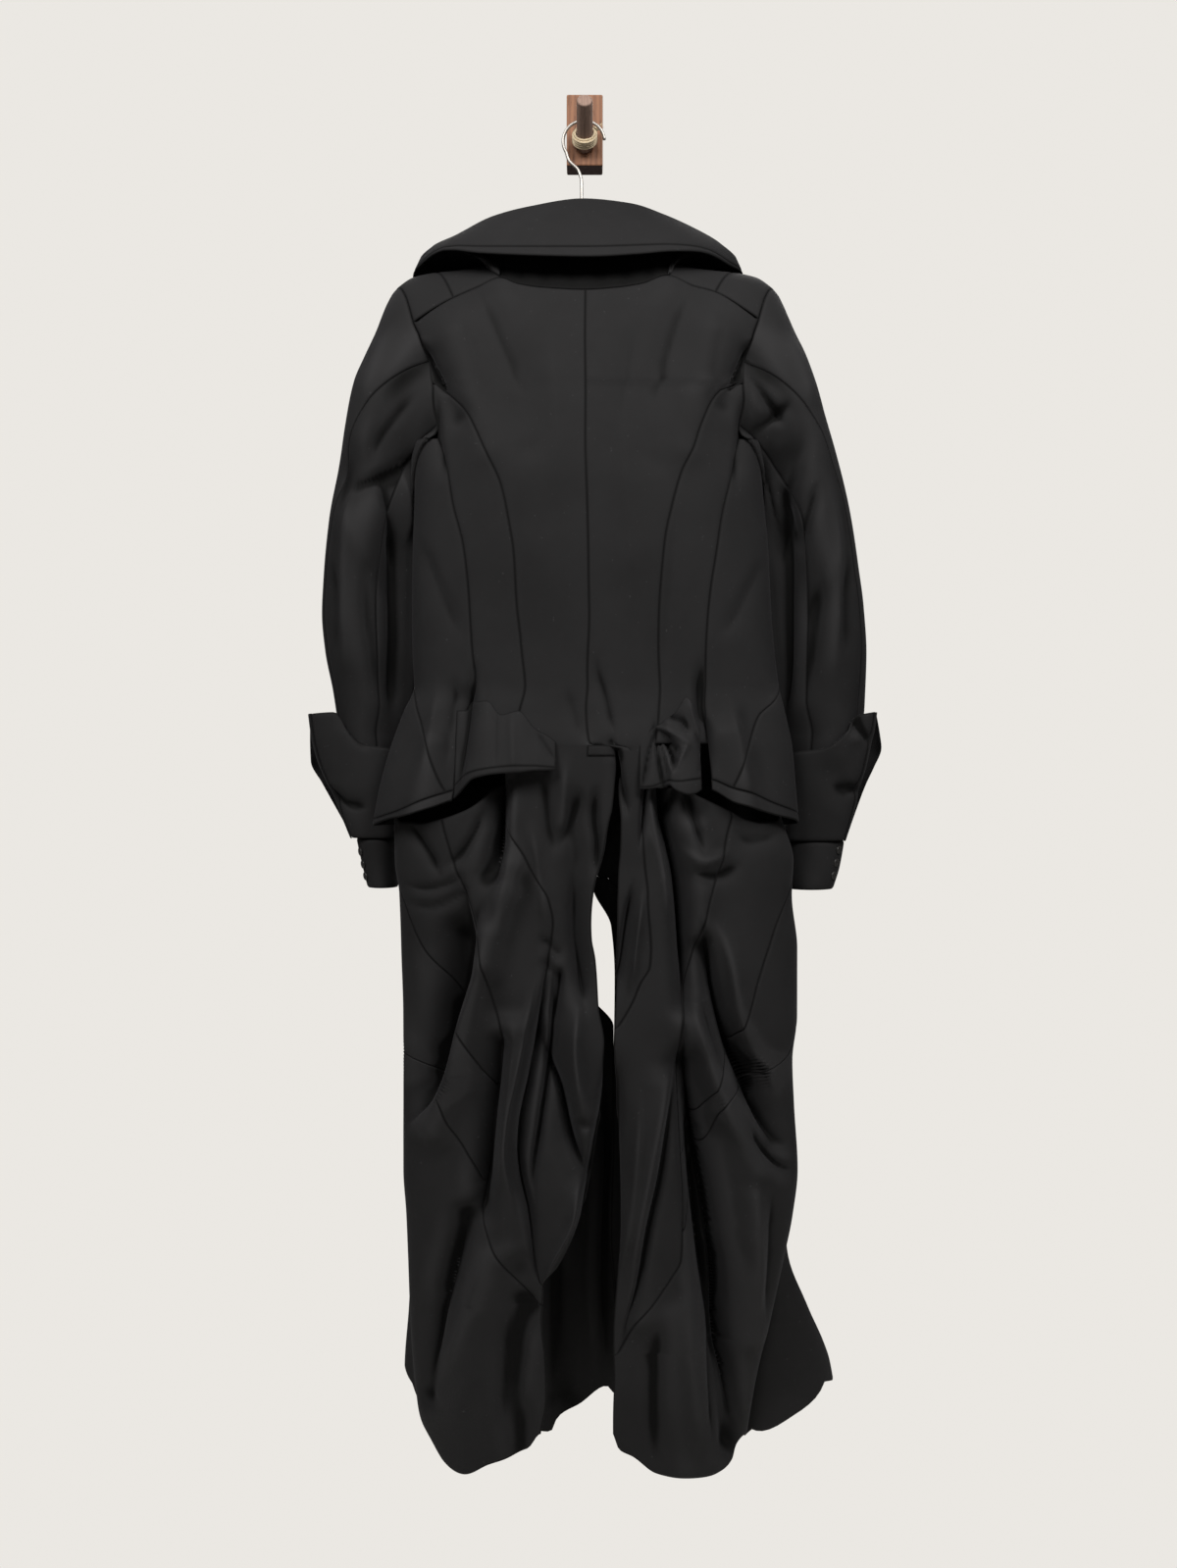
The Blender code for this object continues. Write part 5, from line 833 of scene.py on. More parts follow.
def ridge(x):
    """Height of the shoulder line."""
    return curve(RIDGE)(np.abs(x))


def shoulder_depth(x, y, z):
    """Round the top of the torso over the shoulder line."""
    span = np.where(y < RIDGE_DEPTH, RIDGE_ROUND, RIDGE_ROUND_FRONT)
    drop = np.clip((ridge(x) - z) / span, 0, 1)
    return RIDGE_DEPTH + (y - RIDGE_DEPTH) * np.sqrt(1 - (1 - drop) ** 2)


@cache
def trace(shell, name, tag):
    """A seam's rising levels and its turns at them on a shell, found from its (side, x, z) points."""
    levels = np.linspace(shell.stops[3], shell.stops[0], 800) * MM
    found = []
    for side, x, z in SEAMS[tag][name]:
        turn, facing = shell.turn_at(x * MM, z * MM, side)
        heights = shell.height(np.full(len(levels), x * MM), facing, levels)
        found.append((float(np.interp(z * MM, heights, levels)), float(turn) + (side == "F" and tag == "r")))
    found = np.array(sorted(found))
    return found[np.insert(np.diff(found[:, 0]) > 1e-5, 0, True)].T


def boundary(shell, tag, first, *others):
    """The turn of a piece's edge as a function of level, its seams given by name from the top down.

    Before each name but the first stands the level from which down that seam is used. A level less
    BELOW leaves the level itself to the seam above, so that a piece can end there.
    """
    def at(level):
        turn = smooth(level, *trace(shell, first, tag))
        for start, name in zip(others[::2], others[1::2]):
            turn = np.where(level <= start * MM + 1e-6, smooth(level, *trace(shell, name, tag)), turn)
        return turn
    return at


TORSO = Shell(TORSO_SECTIONS, TORSO_FOLDS, TORSO_CREASES, (TORSO_TOP, NECK_FADE, -700, TORSO_END),
              (TORSO_TOP_BACK, TORSO_TOP_FRONT), (PEPLUM_SEAM, PEPLUM_SEAM_FRONT), shoulder=True)
BAND = Shell(TORSO_SECTIONS, TORSO_FOLDS, TORSO_CREASES, (TORSO_END, -760, TORSO_END, -760),
             (PEPLUM_SEAM, PEPLUM_SEAM_FRONT), (PEPLUM_EDGE, PEPLUM_EDGE_FRONT))
SKIRT = Shell(SKIRT_SECTIONS, SKIRT_FOLDS, SKIRT_CREASES, (SKIRT_TOP, -862, HEM_FADE, HEM),
              (SKIRT_TOP_BACK, SKIRT_TOP), (HEM_BACK, HEM_FRONT))
CENTRE = Shell([s for s in TORSO_SECTIONS if s.z >= CENTRE_JOIN] + [s for s in SKIRT_SECTIONS if s.z <= SKIRT_TOP],
               TORSO_FOLDS[:6] + SKIRT_FOLDS, TORSO_CREASES + SKIRT_CREASES, (TORSO_TOP, NECK_FADE, HEM_FADE, HEM),
               (TORSO_TOP_BACK, TORSO_TOP_FRONT), (HEM_BACK, HEM_FRONT), shoulder=True)


def yoke_point(x, lean):
    """A point of the yoke: lean is 1 on its back seam, 0 on the shoulder line and -1 on its front seam."""
    top, sign = ridge(x), np.sign(x)
    points = np.zeros((*x.shape, 3))
    for side, at, seam, span, mine in (("B", 0, TORSO_TOP_BACK, RIDGE_ROUND, lean > 0),
                                       ("F", 2, TORSO_TOP_FRONT, RIDGE_ROUND_FRONT, lean <= 0)):
        tip = np.where(sign < 0, SHOULDER_TIP["l"][at], SHOULDER_TIP["r"][at]) * MM
        low = curve(seam)(sign * np.clip(np.abs(x), NECK_CORNER[at] * MM, tip))
        angle = np.arccos(1 - np.clip((top - low) / span, 0, 1)) * np.abs(lean)
        z = top - span * (1 - np.cos(angle))
        here = TORSO.place(TORSO.turn_at(x, z, side)[0], z)
        here[..., 0] = x
        points = np.where(mine[..., None], here, points)
    return points


def below(z, level, run):
    """0 above a level and 1 from run below it, both in mm."""
    return ease((level * MM - z) / (run * MM))


class SleeveShell:
    """A sleeve: a tube from the armhole's own edge to the cuff seam.

    A point is found by its turn (0 on the outer edge, 0.25 on the back, 0.5 inside, 0.75 on the front)
    and its share of the way down from the armhole.
    """

    def __init__(self, tag, loop):
        self.tag, self.sign = tag, SIGN[tag]
        self.table = columns(SLEEVES[tag])
        self.end = curve(sorted(SLEEVE_ENDS[tag]))
        self.turns, self.edge = loop

    def clear(self, x, y, z):
        """x moved outward where it would come inside the torso under the armhole."""
        edge = "left" if self.sign < 0 else "right"
        narrow, wide, side, back, front = (TORSO.read(n, z) for n in (f"front_{edge}", edge, "side", "back", "front"))
        reach = np.clip(np.where(y < side, (side - y) / (side - back), (y - side) / (front - side)), 0, 1)
        half = np.where(y < side, wide, wide + (narrow - wide) * ease(reach / FRONT_TURN))
        skin = half * (1 - reach ** 2) ** (1 / 3)
        need = self.sign * skin + 1.2 * MM * below(z, CLEAR_FULL, CLEAR_RUN)
        return x + self.sign * np.maximum(need - self.sign * x, 0) * below(z, CLEAR_START, CLEAR_RUN)

    def ring(self, turn, z):
        thin = 1 - SLEEVE_SLOPE * ease((0.30 - np.abs(turn % 1 - 0.5)) / 0.22)
        hug = SLEEVE_HUG * below(z, HUG_START, HUG_RUN) * (1 - below(z, HUG_END, HUG_RUN))
        return oval(self.table, turn, z, self.sign * hug, thin)

    def point(self, turn, share):
        turn, share = np.broadcast_arrays(turn, share)
        start_x, start_y, start_z = (np.interp(turn % 1, self.turns, self.edge[:, k], period=1) for k in range(3))
        end_x, _ = self.ring(turn, CUFF_SEAM * MM)
        z = start_z + (self.end(end_x) - SLEEVE_TUCK - start_z) * share
        x0, y0 = self.ring(turn, start_z)
        x, y = self.ring(turn, z)
        fade = np.clip(1 - share / SLEEVE_SETTLE, 0, 1) ** 2
        x, y = x + (start_x - x0) * fade, y + (start_y - y0) * fade
        angle = 2 * math.pi * turn
        lift = crease_lift(SLEEVE_CREASES[self.tag], x, z, np.sin(angle))
        for fold in SLEEVE_FOLDS[self.tag]:
            away = along_path((turn + 0.5) % 1 - 0.5, share, fold.path)[0]
            lift = lift + fold.depth * MM * np.exp(-(away / fold.width) ** 2)
        lift = lift * ease(share / 0.1)
        x, y = x + self.sign * np.cos(angle) * lift, y - np.sin(angle) * lift
        return np.stack([self.clear(x, y, z), y, z], -1)


def oval(rows, turn, z, hug=0.0, thin=1.0):
    """x and y on a tube's section at height z: an ellipse between the outer, inner, back and front of its table."""
    outer, inner, back, front = (smooth(z, rows["z"], rows[n]) for n in ("outer", "inner", "back", "front"))
    inner = inner - hug
    angle = 2 * math.pi * turn
    return ((outer + inner) / 2 + (outer - inner) / 2 * np.cos(angle),
            (back + front) / 2 + (back - front) / 2 * np.sin(angle) * thin)


def cuff_point(tag, turn, z):
    """A point of a narrow cuff, a closed oval tube."""
    x, y = oval(columns(CUFFS[tag]), turn, z)
    return np.stack([x, y, np.broadcast_to(z, x.shape)], -1)


def wing_point(tag, turn, share):
    """A point of a flared cuff: turn 0 to 0.5 is its near layer from the open outer edge inward."""
    rows = columns(WINGS[tag])
    top, bottom = rows["z"][-1], rows["z"][0]
    seam = curve(sorted([(WINGS[tag][0].far, WINGS[tag][0].z), *SLEEVE_ENDS[tag]]))
    angle = 2 * math.pi * turn
    z = np.full(turn.shape, top)
    for _ in range(4):
        inner, near, far, back, front = (smooth(z, rows["z"], rows[n])
                                         for n in ("inner", "near", "far", "back", "front"))
        tip = np.where(turn < 0.5, near, far)
        x = (tip + inner) / 2 + (tip - inner) / 2 * np.cos(angle)
        high = seam(x)
        z = high + (bottom - high) * share
    way = (z - bottom) / (top - bottom)
    gap = (WING_OPEN[1] + (WING_OPEN[0] - WING_OPEN[1]) * way) * MM
    slack = gap * ease((1 + np.cos(angle)) / 1.2) * 0.8
    reach = np.abs(np.sin(angle)) ** 0.5 * ((front - back) / 2 - slack * 0.5)
    y = (back + front) / 2 + np.where(turn < 0.5, -1, 1) * (slack * 0.5 + reach)
    return np.stack([x, y, z], -1)


# ---- meshes

def normals(points, flip, closed=False):
    """Outward directions of a grid: the cross product of its steps down and across."""
    across = np.roll(points, -1, 1) - np.roll(points, 1, 1) if closed else np.gradient(points, axis=1)
    return unit(np.cross(np.gradient(points, axis=0), across)) * flip


def quads(rows, cols, closed, first=0):
    """Corner numbers of a grid's cells, turning outward where down x across points out."""
    i, j = np.meshgrid(np.arange(rows - 1) * cols, np.arange(cols if closed else cols - 1), indexing="ij")
    k = (j + 1) % cols
    return np.stack([c.ravel() for c in (i + j, i + cols + j, i + cols + k, i + k)], -1) + first


def border(points, closed):
    """Distance from a grid's edge, at every point, along its rows and columns."""
    down = arc(points, 0)
    edge = np.minimum(down, down[-1:] - down)
    if not closed:
        across = arc(points, 1)
        edge = np.minimum(edge, np.minimum(across, across[:, -1:] - across))
    return edge


def hollows(points, out, closed):
    """How far each point lies below the average of its neighbours, HOLLOW_REACH cells each way."""
    mean = points
    for axis in (0, 1):
        sides = [(0, 0)] * 3
        sides[axis] = (HOLLOW_REACH, HOLLOW_REACH)
        how = {"mode": "wrap"} if closed and axis else {"mode": "reflect", "reflect_type": "odd"}
        wide, size, count = np.pad(mean, sides, **how), mean.shape[axis], 2 * HOLLOW_REACH + 1
        mean = sum(np.take(wide, range(k, k + size), axis) for k in range(count)) / count
    return np.sum((mean - points) * out, axis=-1)


def finish_mesh(name, points, faces, slot, node, uv=None, values=None):
    """A mesh piece in its place, riding on the one body and standing for its solid."""
    mesh = bpy.data.meshes.new(name)
    mesh.from_pydata(points.tolist(), [], faces.tolist() if isinstance(faces, np.ndarray) else faces)
    mesh.polygons.foreach_set("use_smooth", np.full(len(mesh.polygons), True))
    if uv is not None:
        corner = np.zeros(len(mesh.loops), np.int32)
        mesh.loops.foreach_get("vertex_index", corner)
        mesh.uv_layers.new(name="cut").data.foreach_set("uv", uv[corner].astype(np.float32).ravel())
    for key, value in (values or {}).items():
        mesh.attributes.new(key, "FLOAT", "POINT").data.foreach_set("value", value.astype(np.float32))
    mesh.update()
    mesh.materials.append(finish(slot))
    piece = put(mesh)
    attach(piece, "root")
    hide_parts(node)
    return piece


def put(data):
    """A new object of the data's own name, unturned at the origin of the scene."""
    made = bpy.data.objects.new(data.name, data)
    bpy.context.scene.collection.objects.link(made)
    return made


# Painted shade: extra depth in mm added to the hollow measure of the sheets that lie in the coat's own shade, so that
# their wool is painted darker
PAINTED_SHADE = dict(collar_stand=2.8, collar_fall=0.5, yoke_neck_l=0.3, yoke_neck_r=0.3, yoke_tip_l=0.3, yoke_tip_r=0.3,
              sleeve_back_l=1.2, sleeve_back_r=1.5, cuff_wing_l=0.5, cuff_wing_r=1.6, cuff_l=0.5, cuff_r=1.6)


def cloth(node, points, flip, hangs_from, closed=False, thickness=CLOTH, roll=SEAM_ROLL):
    """A sheet of the wool: a grid of outside points, and the same grid one thickness in.

    The outside turns in by roll * exp(-(edge distance / roll width)^2) towards its seams.
    """
    rows, cols = points.shape[:2]
    total = rows * cols
    out = normals(points, flip, closed)
    edge = border(points, closed)
    layers = points - out * (roll * np.exp(-(edge / ROLL_WIDTH) ** 2))[..., None], points - out * thickness
    faces = [quads(rows, cols, closed), quads(rows, cols, closed, total)[:, ::-1]]
    j = np.arange(cols if closed else cols - 1)
    k = (j + 1) % cols
    last = (rows - 1) * cols
    rims = [(j, k), (last + k, last + j)]
    if not closed:
        i = np.arange(rows - 1) * cols
        rims += [(i + cols, i), (i + cols - 1, i + 2 * cols - 1)]
    faces = np.concatenate(faces + [np.stack([a, b, b + total, a + total], -1) for a, b in rims])
    down, across = arc(points, 0), arc(points, 1)
    middle = cols // 2
    uv = np.stack([across - across[:, middle:middle + 1], down[:, middle:middle + 1] + 0 * down], -1)
    # Depth under the neighbours plus the painted shade of shaded sheets; with it the wool is painted darker in
    # hollows and lighter on ridges
    deep = (hollows(points, out, closed) + PAINTED_SHADE.get(node, 0) * MM).ravel()
    piece = finish_mesh(f"{node}_cloth", np.concatenate([layer.reshape(-1, 3) for layer in layers]),
                        faces[:, ::flip], "wool", node, np.tile(uv.reshape(-1, 2), (2, 1)),
                        {"edge": np.tile(edge.ravel(), 2), "hollow": np.concatenate([deep, -deep])})
    cells = np.cross(np.diff(points, axis=0)[:, :-1], np.diff(points, axis=1)[:-1])
    area = float(np.linalg.norm(cells, axis=-1).sum())
    width, length = float(across[:, -1].max()), float(down[-1].max())
    if closed:
        around = np.linalg.norm(points[:, 0] - points[:, -1], axis=-1)
        area *= float((across[:, -1] + around).max()) / width
        width = float((across[:, -1] + around).max())
    width = max(min(width, area / (NARROW_SHARE * length)), NARROWEST)
    length = max(length, NARROWEST)
    return piece


def across_grid(place, first, last, along, length):
    """Points between two edges, their turns given row by row: place(turn, along) at even steps over length."""
    share = spread(length, COLUMN_STEP)[None, :]
    turn = first[:, None] * (1 - share) + last[:, None] * share
    return place(turn, np.repeat(along[:, None], share.shape[1], 1))


# ---- the body's grids

def strip_grid(shell, first, last, high, low):
    """Points of a piece between two seams, first having the smaller turn, and their levels."""
    levels = (high - (high - low) * spread((high - low) * MM, ROW_STEP)) * MM
    start, end = first(levels), last(levels)
    rough = np.linspace(0, 1, 25)[None, :]
    turn = start[:, None] * (1 - rough) + end[:, None] * rough
    length = arc(shell.point(turn, levels[:, None]), 1)[:, -1].max()
    return across_grid(shell.point, start, end, levels, length), levels


def strips(tag, pieces):
    """Grids and levels of one half's pieces: name, shell, outer and inner edge's seams, upper and lower level."""
    grids = {}
    for name, shell, outer, inner, high, low in pieces:
        edges = [boundary(shell, tag, *seams_of) for seams_of in (outer, inner)]
        grids[name] = strip_grid(shell, *edges[::-SIGN[tag]], high, low)
    return grids


def torso_grids(tag):
    """Centre back, side back, side panel, godet, front and hem band of one half."""
    outer = ("armhole_front", UNDERARM, "side_front", GODET_TOP, "godet_front")
    grids = strips(tag, (
        ("back_center", CENTRE, ("armhole_back", PRINCESS_TOP, "princess"), ("centre",), TORSO_TOP, JOINS[tag][0]),
        ("back_side", TORSO, ("armhole_back", UNDERARM, "side_back"), ("princess_top",), PRINCESS_TOP, BACK_SIDE_END),
        ("underarm", TORSO, ("side_front", GODET_TOP, "godet_back"), ("side_back",), UNDERARM, TORSO_END),
        ("hip_godet", TORSO, ("godet_front",), ("godet_back",), GODET_TOP, TORSO_END),
        ("front", TORSO, ("front_edge",), outer, TORSO_TOP, TORSO_END)))
    start, end = sorted(float(boundary(TORSO, tag, name)(np.array(TORSO_END * MM)))
                        for name in ("front_edge", "side_back"))
    turns = start + (end - start) * spread(SIDE["hem_band"], COLUMN_STEP)
    levels = (TORSO_END - 0.4 - 9.6 * np.linspace(0, 1, 7)) * MM
    turn, level = np.meshgrid(turns, levels)
    grids["hem_band"] = BAND.point(turn, level), levels
    return grids


def skirt_grids(tag):
    """The four spiral gores of one tail."""
    tip, hip_tip, side_top, side_tip, mid_tip = JOINS[tag]
    return strips(tag, (
        ("tail_mid", SKIRT, ("spiral_1",), ("princess_low", tip - BELOW, "centre"), SKIRT_TOP, mid_tip),
        ("tail_hip", SKIRT, ("spiral_2",), ("spiral_1",), SKIRT_TOP, hip_tip),
        ("tail_side", SKIRT, ("front_edge", side_top, "spiral_3"), ("spiral_2", hip_tip - BELOW, "spiral_1"),
         SKIRT_TOP, side_tip),
        ("tail_lower", SKIRT, ("front_edge",),
         ("spiral_3", side_tip - BELOW, "spiral_1", mid_tip - BELOW, "centre"), side_top, HEM)))


def yoke_grids(tag):
    """The neck and tip pieces of one yoke, over the shoulder from the back seam to the front one."""
    grids = {}
    lean = 1 - 2 * spread(SIDE["yoke"], ROW_STEP)
    for name, start, end in (("yoke_neck", NECK_CORNER, CROSS_SEAM), ("yoke_tip", CROSS_SEAM, SHOULDER_TIP[tag])):
        near, far = (np.interp(lean, (-1, 0, 1), spot[::-1]) * MM for spot in (start, end))
        grids[name] = across_grid(lambda x, rise: yoke_point(SIGN[tag] * x, rise), near, far, lean,
                                  float((far - near).max())), lean
    return grids


def armhole_loop(tag, grids):
    """Turns and points of the armhole's edge: over the shoulder, down the back, under the arm, up the front."""
    outer = 0 if tag == "l" else -1
    tip, lean = grids["yoke_tip"]
    edge = tip[:, -1]
    (centre, levels), (side, side_levels), (front, front_levels) = (
        grids[name] for name in ("back_center", "back_side", "front"))
    back = [edge[lean >= 0][::-1], centre[levels > PRINCESS_TOP * MM, outer],
            side[side_levels > UNDERARM * MM, outer]]
    under = grids["underarm"][0][0]
    up = [front[front_levels >= UNDERARM * MM, -1 - outer][::-1], edge[lean < 0][::-1]]
    spans = ((np.concatenate(back), 0, 0.40), (under[::SIGN[tag]], 0.42, 0.58), (np.concatenate(up), 0.60, 0.99))
    turns = [low + (high - low) * arc(points, 0) / arc(points, 0)[-1] for points, low, high in spans]
    return np.concatenate(turns), np.concatenate([points for points, _, _ in spans])


def sleeve_grids(tag, loop):
    """Top, back and under panel of one sleeve."""
    shell = SleeveShell(tag, loop)
    shares = spread(SIDE["sleeve"], ROW_STEP)
    out_seam, in_seam = (smooth(shares, *np.array(seam).T) for seam in SLEEVE_SEAMS[tag])
    under_seam = np.full(len(shares), SLEEVE_SEAM_UNDER)
    grids = {}
    for name, first, last in (("sleeve_top", under_seam - 1, out_seam), ("sleeve_back", out_seam, in_seam),
                              ("sleeve_under", in_seam, under_seam)):
        def place(turn, share):
            points = shell.point(turn, share) + np.array([SIGN[tag] * 0.5 * MM, 0, 0])
            points[0, :, 2] += 0.5 * MM * ease((0.13 - np.abs((turn[0] % 1) - 0.5)) / 0.06)
            return points
        grids[name] = across_grid(place, first, last, shares, float((last - first).max()) * SLEEVE_GIRTH)
    return grids


def cuff_grids(tag):
    """Flared cuff, its edge band and the narrow cuff below it."""
    def flare(turns, out=0.0):
        turn, share = np.meshgrid(turns, spread(SIDE["wing_down"], ROW_STEP))
        points = wing_point(tag, turn, share)
        lift = crease_lift(WING_CREASES[tag], points[..., 0], points[..., 2], np.sin(2 * math.pi * turn))
        return points + normals(points, -SIGN[tag]) * (lift + out)[..., None]

    wide = flare(0.02 + 0.96 * spread(SIDE["wing_round"], COLUMN_STEP))
    band = flare(0.022 + 0.048 * spread(SIDE["wing_band"], 1.2 * MM), SOFT_FIT + 1 * MM)
    high, low = cuff_ends(tag)
    turn, z = np.meshgrid(np.arange(64) / 64, high + (low - high) * spread(high - low, ROW_STEP))
    return wide, band, cuff_point(tag, turn, z)


def cuff_ends(tag):
    """Heights of a narrow cuff's upper and lower end."""
    return (WINGS[tag][-1].z - 0.8) * MM, CUFFS[tag][-1].z * MM


def button_seats(tag):
    """Centre and outward direction of each button, on the flat of its cuff's solid."""
    high, low = cuff_ends(tag)
    turn, z = np.meshgrid(np.array([1, 2]) / CUFF_SIDES, np.array([high, low]))
    points = cuff_point(tag, turn, z)
    side = points.mean(axis=1)
    facing = unit(np.cross(side[0] - side[1], (points[:, 1] - points[:, 0]).sum(axis=0))) * SIGN[tag]
    for number, height in enumerate(BUTTONS[tag], 1):
        share = (height * MM - low) / (high - low)
        yield f"cuff_button_{tag}{number}", side[1] * (1 - share) + side[0] * share, facing


# ---- collar, flaps and bar tack

def neckline(bodies):
    """The neck edge's points, outward directions and places on the collar, from the left front to the right."""
    halves = []
    for tag, sign in SIGN.items():
        front, centre, yoke = (np.concatenate([grid, normals(grid, flip)], -1) for grid, flip in (
            (bodies[tag][name][0], flip) for name, flip in (("front", 1), ("back_center", 1), ("yoke_neck", -sign))))
        front, centre, yoke = front[0, ::-sign], centre[0, ::-sign], yoke[::-1, 0]
        corner = int(np.argmin(np.abs(np.abs(front[:, 0]) - NECK_CORNER[2] * MM)))
        chest = front[corner // 2:corner]
        inner = centre[np.abs(centre[:, 0]) < (NECK_CORNER[0] - 1) * MM]
        halves.append((np.concatenate([chest, yoke, inner]), np.concatenate([
            np.linspace(0, COLLAR_YOKE[-1], len(chest), endpoint=False),
            np.interp(np.linspace(-1, 1, len(yoke)), (-1.0, -0.65, -0.3, 0.0, 0.25, 0.6, 1.0), COLLAR_YOKE[::-1]),
            np.interp(1 - np.abs(inner[:, 0]) / (NECK_CORNER[0] * MM), (0, 1 / 3, 2 / 3, 1),
                      (COLLAR_YOKE[0], *COLLAR_BACK))])))
    (left, places), (right, other) = halves
    line = np.concatenate([left, right[-2::-1]])
    places = np.concatenate([places, 16 - other[-2::-1]])
    apart = np.linalg.norm(np.diff(line[:, :3], axis=0), axis=1) > 0.6 * MM
    keep = np.insert(apart & (np.diff(places) > 1e-3), 0, True)
    return line[keep, :3], unit(line[keep, 3:]), places[keep]


def collar_grids(bodies):
    """Stand, fall and edge band: the stand rises from the neck to the fold, the fall rolls over it in an arc."""
    seam, seam_out, places = neckline(bodies)
    rows = np.stack([smooth(places, np.arange(len(COLLAR)), column) for column in COLLAR.T], -1) * MM
    fold, edge = rows[:, :3], rows[:, 3:]
    middle = np.sin(math.pi * np.clip((places - 3) / 10, 0, 1))[:, None]
    edge = edge + np.array((0, -1, 0)) * COLLAR_STAND_OFF * middle
    along = unit(np.gradient(fold, axis=0))
    up, down = (unit(way - along * np.sum(way * along, axis=1, keepdims=True)) for way in (fold - seam, edge - fold))
    bend = np.arccos(np.clip(np.sum(up * down, axis=1), -1, 1))[:, None]
    away = unit(down - up * np.cos(bend))
    neck = seam + up * 0.5 * MM + seam_out * (0.1 * MM + 1.0 * MM * (1 - bend / math.pi))
    top = fold - up * (COLLAR_FOLD * np.sin(bend / 2) + 0.4 * MM)
    shares = spread(SIDE["collar"], ROW_STEP)[:, None, None]
    stand = neck * (1 - shares) + top * shares
    out = unit(np.cross(np.gradient(stand, axis=1), np.gradient(stand, axis=0)))
    stand = stand - out * 9 * MM * np.sin(math.pi * shares) * middle
    stand = stand + out * stand_creases(places, shares[..., 0])[..., None]
    start = stand[-1] - out[-1] * CLOTH
    centre = start + up * 0.4 * MM + away * COLLAR_FOLD
    rolled = [centre + COLLAR_FOLD * (up * np.sin(bend * t) - away * np.cos(bend * t))
              for t in np.linspace(0, 1, 9)[1:]]
    lower = [rolled[-1] * (1 - t) + edge * t + away * COLLAR_BULGE * 1.6 * t * (1 - t)
             for t in (1 - COLLAR_BAND) * spread(SIDE["collar"], ROW_STEP)[1:]]
    band = lower[-1] + (edge - lower[-1]) * spread(SIDE["collar_band"], 1.4 * MM)[:, None, None]
    return stand, np.array([start, *rolled, *lower]), band


def stand_creases(places, shares):
    """Slanting creases of the stand under the fall: each depth * exp(-(places away / 0.16)^2)."""
    total = sum(depth * MM * np.exp(-((places - (start + slant * shares)) / 0.16) ** 2)
                for start, slant, depth in STAND_CREASES)
    return total * ease(shares / 0.15) * ease((1 - shares) / 0.3)


def flap_grids(tag):
    """A flap of the peplum folded over the centre back, and its hem band, lifted straight back.

    The lift runs from the top's to the hem's as the 0.8th power of the way down, plus the creases.
    """
    data = np.array(FLAPS[tag]) * MM
    x = data[0, 0] + (data[-1, 0] - data[0, 0]) * spread(data[-1, 0] - data[0, 0], 0.55 * COLUMN_STEP)
    top, seam, edge, lift_top, lift_edge = (smooth(x, data[:, 0], data[:, k]) for k in range(1, 6))
    shares = spread(SIDE["flap"], 0.4 * ROW_STEP)[:, None]
    low = spread(SIDE["flap_band"], 1.4 * MM)[:, None]
    for heights, lifts in ((top * (1 - shares) + seam * shares, lift_top + (lift_edge - lift_top) * shares ** 0.8),
                           (seam * (1 - low) + edge * low, lift_edge)):
        turn, _ = TORSO.turn_at(np.broadcast_to(x, heights.shape), heights, "B")
        lifts = lifts + crease_lift(FLAP_CREASES[tag], x, heights, 1.0)
        yield TORSO.place(turn, heights) + np.array([0, -1, 0]) * lifts[..., None]


def circle(sides):
    """Angles of evenly spaced places round a ring, for a row of rings."""
    return (2 * math.pi * np.arange(sides) / sides)[None, :]


def tack_grid():
    """The stitched bar over the top of the vent, lifted off both centre backs."""
    turn = CENTRE.turn_at((3 + 29 * spread(SIDE["tack_across"], COLUMN_STEP)) * MM, -708 * MM, "B")[0]
    turn, level = np.meshgrid(turn, (-702 - 11 * spread(SIDE["tack_down"], 1.5 * MM)) * MM)
    points = CENTRE.point(turn, level)
    return points + normals(points, 1) * (SOFT_FIT + 1.2 * MM)


# ---- buttons, peg, twine and hanger

def turned(profile, centre, axis, sides=40):
    """A profile of (radius, height) points turned round an axis, closed at both ends by its own poles."""
    first = unit(np.cross(axis, (0, 0, 1) if abs(axis[2]) < 0.9 else (1, 0, 0)))
    radius, height = profile.T[:, :, None, None]
    angle = circle(sides)[..., None]
    ring = first * np.cos(angle) + np.cross(axis, first) * np.sin(angle)
    return centre + ring * radius + axis * height


def capped(grid, flip=-1):
    """Points and faces of a ringed grid, closed by a face over each end."""
    rows, cols = grid.shape[:2]
    faces = quads(rows, cols, True).tolist()
    faces += [list(range(cols)), list(range(rows * cols - 1, (rows - 1) * cols - 1, -1))]
    return grid.reshape(-1, 3), faces if flip > 0 else [face[::-1] for face in faces]


def tube(path, radius, toward, sides=12):
    """A tube along a path. Each ring lies square to the path, and toward sets where its first side points.

    radius is a number or an array of rings x sides.
    """
    tangent = unit(np.gradient(path, axis=0))
    first = unit(toward - tangent * np.sum(toward * tangent, axis=-1, keepdims=True))
    angle = circle(sides)[..., None]
    ring = first[:, None] * np.cos(angle) + np.cross(tangent, first)[:, None] * np.sin(angle)
    return path[:, None] + ring * np.broadcast_to(radius, (len(path), sides))[..., None]


def strand(path, radius, pitch, toward):
    """A tube of three-strand twine, its radius times 0.84 + 0.16 * |cos(1.5 * (angle - twist))|."""
    twist = 2 * math.pi * arc(path, 0)[:, None] / pitch
    return tube(path, radius * (0.84 + 0.16 * np.abs(np.cos(1.5 * (circle(18) - twist)))), toward, 18)


